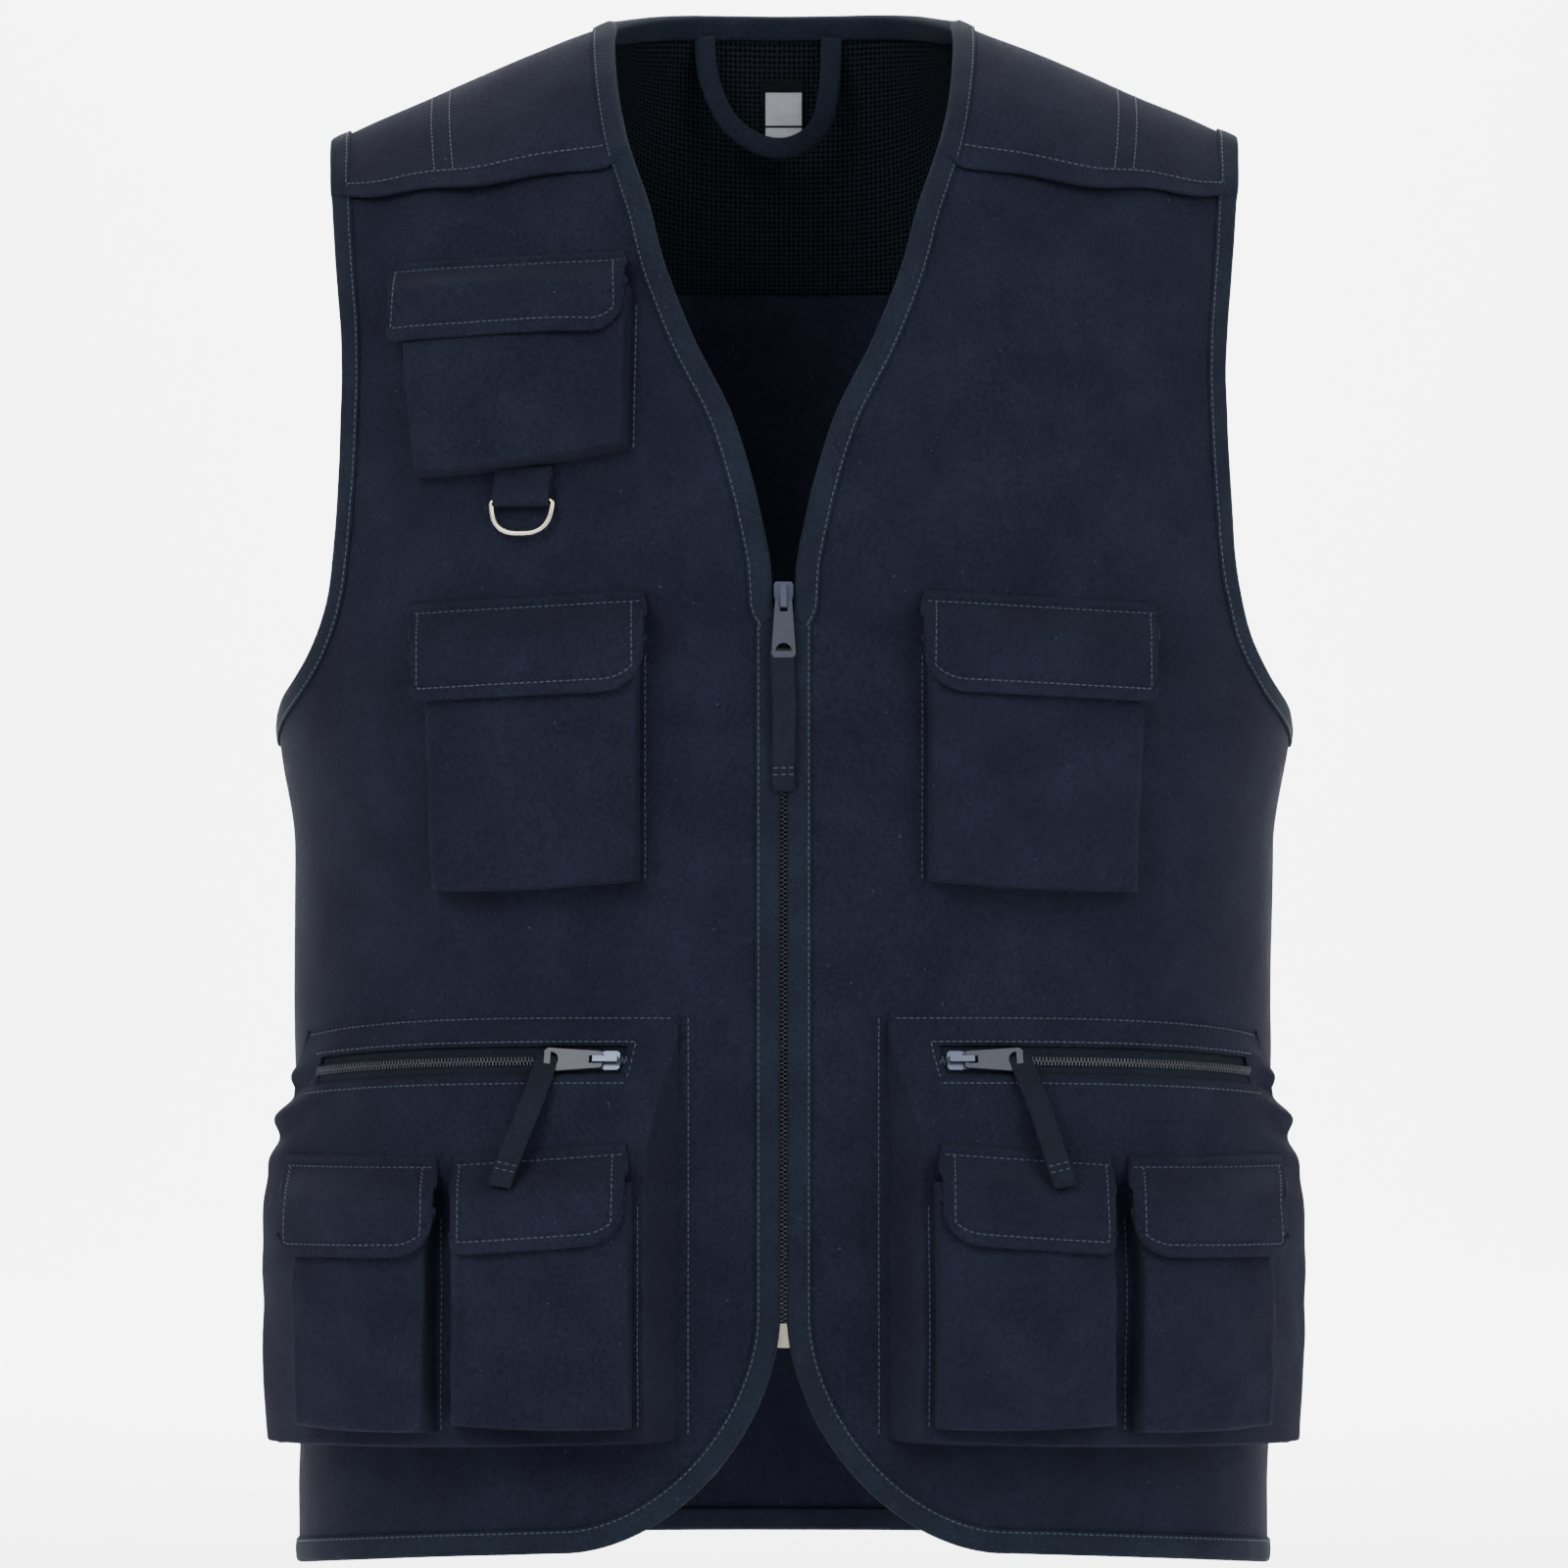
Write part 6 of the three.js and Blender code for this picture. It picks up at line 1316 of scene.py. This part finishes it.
def build_zips():
    """The main zip's tapes and teeth, and the tapes and coils of the bellows pockets' zips."""
    z = np.linspace(CORNER_TOP_Z - 13, V_BASE_Z + 14, 160)
    for name, hand in SIDES.items():
        inner, outer = (raised(angle_of(x, z) * hand, level_of(x, z), FRONT, ZIP_TAPE_HEIGHT)[0]
                        for x in ZIP_TAPE_EDGES)
        strip(f"zip_tape_cloth_{name}", inner, outer, 5, [f"zip_tape_{name}"])
    z = np.linspace(CORNER_TOP_Z - 3, CHAIN_TOP_Z, 200)
    line, out = raised(0 * z, level_of(0.0, z), FRONT, TEETH_HEIGHT)
    pitch = vest_sizes().tooth_pitch / MM
    size = (pitch * TOOTH_SIZE[0], *TOOTH_SIZE[1:])
    beads("zip_teeth", tooth_rows(line, out, pitch / 2, TOOTH_SPREAD), size, ["zip_chain"])
    margin, inset = (WINDOW_INSET - ZIP_UNDER_LIP) / BELLOWS_SPAN, WINDOW_INSET / BELLOWS_SPAN
    for name, hand in SIDES.items():
        s = np.linspace(margin, 1 - margin, 90)
        upper, lower = (bellows_zip_line(k * BELLOWS_ZIP_HALF, s, ZIP_TAPE_HEIGHT, hand)[0] for k in (-1, 1))
        strip(f"bellows_zip_tape_{name}", upper, lower, 9, [f"bellows_zip_{name}"])
        line, out = bellows_zip_line(0.0, np.linspace(inset, 1 - inset, 120), COIL_HEIGHT, hand)
        beads(f"bellows_zip_coil_{name}", tooth_rows(line, out, COIL_PITCH, COIL_PITCH), COIL_SIZE,
              [f"bellows_zip_{name}"])


def bellows_zip_line(down, s, height, hand):
    """Points and normals along the bellows front, so far below its zip's middle and held off it."""
    v = (ZIP_BELOW_SEAM + down) / BELLOWS["height"]
    arc = mix(bellows_near(v), bellows_far(v), s)
    return front_at(arc, bellows_z(v, s), CLOTH + bellows_off(v, s) + height, hand)


# Inside the neck

# Across and up along the middle of the hanger loop
LOOP_PATH = ((0, -37, 5), (1, -34.5, -15), (2, -26, -34), (3, -12, -45), (4, 3, -46.5), (5, 16, -38),
             (6, 21, -21), (7, 22.4, 5))


LINING_HEIGHT, LABEL_HEIGHT, LOOP_HEIGHT, LOOP_HALF = -0.45, -1.7, -3.8, 4.9
LABEL_HALF, LABEL_TOP, LABEL_FOOT = 9.5, -13.0, -43.0
# The label's plain fields: half their width, and the top and foot of each
FIELD_HALF, LABEL_FIELDS = 8.4, ((-19.0, -34.0), (-35.2, -42.0))


def build_lining():
    """The mesh inside the yoke's back, from the neck to the yoke's seam."""
    angle, level = yoke_back_grid(0.995)
    points, _ = raised(angle, level, BACK, LINING_HEIGHT)
    cloth_piece("neck_mesh", points, MESH_CLOTH, "mesh", replaces=["mesh_lining"])


def build_loop():
    """A flat strap along a smooth line of points, hanging from the back neck inside the vest."""
    at = np.linspace(0, 7, 70)
    x, z = look_up(LOOP_PATH, at, 1), look_up(LOOP_PATH, at, 2)
    end_x, end_z = x[[0, -1]], z[[0, -1]]
    ends, _ = raised(angle_of(end_x, 0.0) * np.sign(end_x), level_of(end_x, end_z), BACK, LOOP_HEIGHT)
    y = mix(ends[0, 1], ends[1, 1], at / 7) - 3 * np.sin(np.pi * at / 7)
    line = np.stack([x, y, z], -1)
    ahead = unit(np.gradient(line, axis=0))
    # The strap leans as it turns, so that its inner edge dips behind
    lean = np.radians(18) * np.sin(2 * np.pi * at / 7)
    across = np.stack([-ahead[:, 2], 0 * at, ahead[:, 0]], -1) * np.cos(lean)[:, None]
    across = unit(across + np.array([0, 1.0, 0]) * np.sin(lean)[:, None])
    share = np.linspace(-1, 1, 7)
    hollow = np.array([0, -0.35, 0]) * (1 - share**2)[:, None]
    points = line[:, None] + across[:, None] * (LOOP_HALF * share)[:, None] + hollow
    cloth_piece("hanger_strap", points, BINDING_CLOTH, "binding", replaces=["hanger_loop"],
                inside_out=True)


def build_label():
    """A woven label sewn in the middle of the lining, left blank."""
    x, z = np.meshgrid(np.linspace(-LABEL_HALF, LABEL_HALF, 39), np.linspace(LABEL_TOP, LABEL_FOOT, 61))
    side = np.where(x < 0, -1, 1)
    points, _ = raised(angle_of(x, 0.0) * side, level_of(x, z), BACK, LABEL_HEIGHT)
    label = cloth_piece("blank_label", points, MESH_CLOTH, "label", replaces=["neck_label"])
    label.data.materials.append(MATERIALS["label_field"])
    cell_x, cell_z = (x[:-1, :-1] + x[1:, 1:]) / 2, (z[:-1, :-1] + z[1:, 1:]) / 2
    rows = np.any([(cell_z < top) & (cell_z > foot) for top, foot in LABEL_FIELDS], axis=0)
    field = (np.abs(cell_x) < FIELD_HALF) & rows
    label.data.polygons.foreach_set("material_index", field.astype(int).ravel())


# Hardware and pull tapes

TAB_ORIGIN, TAB_BAR = (113.164, -115.061, -219.0), (114.296, -119.171, -218.439)
TAB_AHEAD, TAB_UP = (0.035, -0.126, -0.991), (0.263, -0.956, 0.13)
TAB_HALF, TAB_RUN, BAR_HEIGHT = 12.75, 15.0, 4.3
RING_HALF, RING_DEEP, WIRE = 14.0, 14.75, 1.25


def tab_frame():
    """Origin of the tab on the wearer's right, the ways down it and out of it, and across."""
    mirror = np.array([-1.0, 1, 1])
    ahead, up = unit(np.array(TAB_AHEAD) * mirror), unit(np.array(TAB_UP) * mirror)
    return np.array(TAB_ORIGIN) * mirror, np.array(TAB_BAR) * mirror, ahead, up, np.cross(up, ahead)


def build_ring():
    """A wire carried round a D: a straight bar inside the tab, and a soft-cornered half round."""
    _, bar, ahead, _, across = tab_frame()
    turn = np.linspace(0, np.pi, 84)
    bow = np.stack([np.sign(np.cos(turn)) * np.abs(np.cos(turn)) ** 0.7 * RING_HALF,
                    RING_DEEP * np.sin(turn) ** 0.85], -1)
    straight = np.stack([np.linspace(-RING_HALF, RING_HALF, 12)[1:-1], np.zeros(10)], -1)
    path = np.concatenate([bow, straight])
    for _ in range(2):
        path = (np.roll(path, 1, 0) + 2 * path + np.roll(path, -1, 0)) / 4
    line = bar + across * path[:, :1] + ahead * path[:, 1:]
    forward = unit(np.roll(line, -1, 0) - np.roll(line, 1, 0))
    normal = unit(np.cross(across, ahead)) + 0 * line
    beside = np.cross(forward, normal)
    angle = np.linspace(0, 2 * np.pi, 16, endpoint=False)
    points = line[:, None] + WIRE * (beside[:, None] * np.cos(angle)[None, :, None]
                                     + normal[:, None] * np.sin(angle)[None, :, None])
    faces = quads_of(len(line), 16, loop_rows=True, loop_columns=True)
    made = recalculated(new_object("wire_ring", points, faces))
    dress(made, "nickel", "ring", ["d_ring"])


def build_tab(seams):
    """A strap folded over the ring's bar: down in front, half round the wire, and up again behind."""
    origin, _, ahead, up, across = tab_frame()
    radius = WIRE + 0.75
    turn = np.linspace(np.pi / 2, -np.pi / 2, 12)
    along = np.concatenate([np.linspace(-TAB_RUN, 0, 14)[:-1], radius * np.cos(turn),
                            np.linspace(0, -TAB_RUN, 8)[1:]])
    fall = ease(np.linspace(0, 1, 13))
    high = np.concatenate([mix(3.2, BAR_HEIGHT + radius, fall), BAR_HEIGHT + radius * np.sin(turn),
                           np.linspace(BAR_HEIGHT - radius, 1.6, 8)[1:]])
    share = np.linspace(-1, 1, 15)
    in_front = (np.arange(len(along)) < 14)[:, None]
    edge = 0.25 * np.exp(-(((np.abs(share) - 0.9) / 0.08) ** 2)) * in_front
    points = (origin + ahead * along[:, None, None] + across * (share * TAB_HALF)[None, :, None]
              + up * (high[:, None] + edge)[..., None])
    cloth_piece("ring_strap", points, STRAP_CLOTH, replaces=["ring_tab"])
    seams.line(points[8], np.broadcast_to(up, (15, 3)), lift=0.1)


# A puller's far end starts at this share of its reach from the pin, and a tape's at that of its own
PULLER_REACH, TAPE_REACH, TAPE_HALF = 0.9, 0.93, 5.1
# Puller, tape, body and pin
PULLS = (
    ("zip_puller", "zip_pull_tape", "main_pull", (0.0, -137.4, -262.4)),
    ("bellows_puller_left", "bellows_pull_tape_left", "left_pull", (79.4, -134.2, -462.3)),
    ("bellows_puller_right", "bellows_pull_tape_right", "right_pull", (-79.4, -134.2, -462.3)),
)


def corners_of(name):
    """Corners of one of the solids, in millimetres."""
    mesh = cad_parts[name].data
    flat = np.zeros(len(mesh.vertices) * 3)
    mesh.vertices.foreach_get("co", flat)
    return flat.reshape(-1, 3) / MM


def build_pull_tapes():
    """A doubled tape through the slot of each puller: it leaves the slot straight, hangs or lies in a slight
    arch, and ends in a bar of stitches."""
    for puller, tape, body, pin in PULLS:
        corners = corners_of(puller)
        away = np.linalg.norm(corners - np.array(pin), axis=1)
        start = corners[away > PULLER_REACH * away.max()].mean(0)
        old = corners_of(tape)
        far = np.linalg.norm(old - start, axis=1)
        end = old[far > TAPE_REACH * far.max()].mean(0)
        run = unit(end - start)
        # Out of the cloth: square to the run and as near to the old tape's thin way as may be
        thin = np.linalg.svd(old - old.mean(0), full_matrices=False)[2][2]
        out = thin * (1 if thin[1] < 0 else -1)
        out = unit(out - run * (out @ run))
        across = np.cross(out, run)
        share = np.linspace(-0.05, 1.0, 44)
        length = np.linalg.norm(end - start)
        arch = 0.6 + 0.8 * np.sin(np.pi * np.clip(share, 0, 1))
        width = np.linspace(-1, 1, 9)
        sway = 0.5 * np.sin(share * 5.0)
        edge = 0.2 * np.exp(-(((np.abs(width) - 0.86) / 0.1) ** 2))
        line = start + run * (share * length)[:, None] + across * sway[:, None] + out * arch[:, None]
        points = line[:, None] + across * (width * TAPE_HALF)[None, :, None] + out * edge[None, :, None]
        cloth_piece(f"{tape}_cloth", points, PULL_CLOTHS, "zip_tape", body=body, replaces=[tape])
        bars = Seam()
        for row in (-6, -8):
            bars.line(points[row], np.broadcast_to(out, (9, 3)), lift=0.1)
        bars.finish(f"{tape}_stitching", body)


# Solids that stay, and their finish
HARD_NODES = {
    "zip_slider": "slider", "zip_puller": "slate", "zip_box": "nickel",
    "bellows_slider_left": "slider", "bellows_slider_right": "slider",
    "bellows_puller_left": "slate", "bellows_puller_right": "slate",
}


def build_hardware():
    """The cast pieces keep their solids' shape, with their edges eased by a fine bevel."""
    for name, finish in HARD_NODES.items():
        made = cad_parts[name]
        made.data.materials.clear()
        made.data.materials.append(MATERIALS[finish])
        eased = made.modifiers.new("Eased edges", "BEVEL")
        eased.width = 0.28 * MM
        eased.segments = 2
        eased.limit_method = "ANGLE"
    seams = Seam()
    build_ring()
    build_tab(seams)
    build_pull_tapes()
    seams.finish("tab_stitching")


def build_neck_inside():
    """The mesh, the hanger loop and the label."""
    build_lining()
    build_loop()
    build_label()


# Stage, in metres

# The photograph's frame takes in 0.7136 m at the side seams from 3 m away; the sensor is in millimetres
SENSOR, DISTANCE, FRAME_WIDTH = 36.0, 3.0, 0.7136


def build_stage():
    """A paper sweep: floor, a round cove and a wall, carried sideways; soft lights; the camera."""
    floor_z, cove, depth, wall, half = -0.86, 1.5, 5.5, 6.0, 8.0
    turn = np.linspace(0, np.pi / 2, 24)
    profile = np.concatenate([
        np.array([(-6.0, floor_z)]),
        np.stack([depth - cove + cove * np.sin(turn), floor_z + cove * (1 - np.cos(turn))], -1),
        np.array([(depth, wall)]),
    ])
    x = np.linspace(-half, half, 13)
    points = np.stack(np.broadcast_arrays(x, profile[:, :1], profile[:, 1:]), -1)
    sweep = new_object("paper_sweep", points / MM, quads_of(len(profile), len(x)))
    sweep.data.materials.append(MATERIALS["stage"])
    # Name, place, aim, disc's width in metres, watts
    lights = (
        ("key_light", (-1.6, -2.6, 1.7), (0.0, 0.0, -0.3), 2.2, 95.0),
        ("fill_light", (2.0, -2.4, 0.7), (0.0, 0.0, -0.35), 2.2, 60.0),
        ("top_light", (0.0, 0.1, 2.4), (0.0, 0.0, 0.0), 2.4, 25.0),
        ("wall_light", (0.0, 2.2, 3.0), (0.0, 5.5, 0.0), 3.0, 1150.0),
        ("rear_light", (0.0, 2.6, 1.6), (0.0, 0.0, -0.35), 2.0, 6.0),
    )
    for name, place, aim, size, power in lights:
        lamp = bpy.data.lights.new(name, "AREA")
        lamp.shape = "DISK"
        lamp.size = size
        lamp.energy = power
        made = bpy.data.objects.new(name, lamp)
        bpy.context.scene.collection.objects.link(made)
        made.location = place
        made.rotation_euler = (Vector(aim) - Vector(place)).to_track_quat("-Z", "Y").to_euler()
    world = bpy.data.worlds.new("Studio")
    world.use_nodes = True
    sky = world.node_tree.nodes["Background"].inputs
    sky["Color"].default_value = (0.95, 0.97, 1.0, 1)
    sky["Strength"].default_value = 0.55
    bpy.context.scene.world = world
    camera = bpy.data.cameras.new("photo_camera")
    camera.sensor_width = SENSOR
    camera.lens = SENSOR * DISTANCE / FRAME_WIDTH
    eye = bpy.data.objects.new("photo_camera", camera)
    eye.location = (0.0002, -DISTANCE, -0.3425)
    eye.rotation_euler = (math.pi / 2, 0, 0)
    bpy.context.scene.collection.objects.link(eye)
    bpy.context.scene.camera = eye


# Operators, panel and registration

class VEST_OT_materials(bpy.types.Operator):
    """Make the cloths, threads and metals"""

    bl_idname = "vest.materials"
    bl_label = "Materials"

    def execute(self, context):
        make_materials()
        return {"FINISHED"}


class VEST_OT_panels(bpy.types.Operator):
    """Build the front panels and the back"""

    bl_idname = "vest.panels"
    bl_label = "Panels"

    def execute(self, context):
        build_panels()
        return {"FINISHED"}


class VEST_OT_yoke(bpy.types.Operator):
    """Build the shoulder yoke with its wavy free edges"""

    bl_idname = "vest.yoke"
    bl_label = "Shoulder yoke"

    def execute(self, context):
        build_yoke()
        return {"FINISHED"}


class VEST_OT_neck_inside(bpy.types.Operator):
    """Build the mesh, the hanger loop and the blank label"""

    bl_idname = "vest.neck_inside"
    bl_label = "Neck lining"

    def execute(self, context):
        build_neck_inside()
        return {"FINISHED"}


class VEST_OT_bindings(bpy.types.Operator):
    """Fold the tapes round every edge"""

    bl_idname = "vest.bindings"
    bl_label = "Bindings"

    def execute(self, context):
        build_bindings()
        return {"FINISHED"}


class VEST_OT_chest_pockets(bpy.types.Operator):
    """Build the upper and chest pouches with their flaps"""

    bl_idname = "vest.chest_pockets"
    bl_label = "Chest pockets"

    def execute(self, context):
        build_chest_pockets()
        return {"FINISHED"}


class VEST_OT_bellows(bpy.types.Operator):
    """Build the lower pockets and the small ones on them"""

    bl_idname = "vest.bellows"
    bl_label = "Bellows pockets"

    def execute(self, context):
        build_bellows()
        return {"FINISHED"}


class VEST_OT_zips(bpy.types.Operator):
    """Build tapes, teeth and coils"""

    bl_idname = "vest.zips"
    bl_label = "Zips"

    def execute(self, context):
        build_zips()
        return {"FINISHED"}


class VEST_OT_hardware(bpy.types.Operator):
    """Finish the pulls, the ring and its tab"""

    bl_idname = "vest.hardware"
    bl_label = "Hardware"

    def execute(self, context):
        build_hardware()
        return {"FINISHED"}


class VEST_OT_stage(bpy.types.Operator):
    """Set floor, lights and camera"""

    bl_idname = "vest.stage"
    bl_label = "Stage"

    def execute(self, context):
        build_stage()
        return {"FINISHED"}


OPERATORS = (
    VEST_OT_materials,
    VEST_OT_panels,
    VEST_OT_yoke,
    VEST_OT_neck_inside,
    VEST_OT_bindings,
    VEST_OT_chest_pockets,
    VEST_OT_bellows,
    VEST_OT_zips,
    VEST_OT_hardware,
    VEST_OT_stage,
)


class VEST_PT_panel(bpy.types.Panel):
    """Lists the vest's pieces and their sizes"""

    bl_idname = "VEST_PT_panel"
    bl_label = "Utility Work Vest"
    bl_space_type = "VIEW_3D"
    bl_region_type = "UI"
    bl_category = "Vest"

    def draw(self, context):
        for group in (context.scene.vest_sizes, context.scene.vest_colours):
            for name in group.__annotations__:
                self.layout.prop(group, name)
        for made in OPERATORS:
            self.layout.operator(made.bl_idname)


CLASSES = (VestSizes, VestColours, *OPERATORS, VEST_PT_panel)


def register():
    """Registers the classes and their properties."""
    for made in CLASSES:
        bpy.utils.register_class(made)
    bpy.types.Scene.vest_sizes = PointerProperty(type=VestSizes)
    bpy.types.Scene.vest_colours = PointerProperty(type=VestColours)


def unregister():
    """Removes what register added."""
    del bpy.types.Scene.vest_colours
    del bpy.types.Scene.vest_sizes
    for made in reversed(CLASSES):
        bpy.utils.unregister_class(made)


def main():
    """Builds the vest by its operators."""
    register()
    for made in OPERATORS:
        category, name = made.bl_idname.split(".")
        getattr(getattr(bpy.ops, category), name)()


if __name__ == "__main__":
    main()
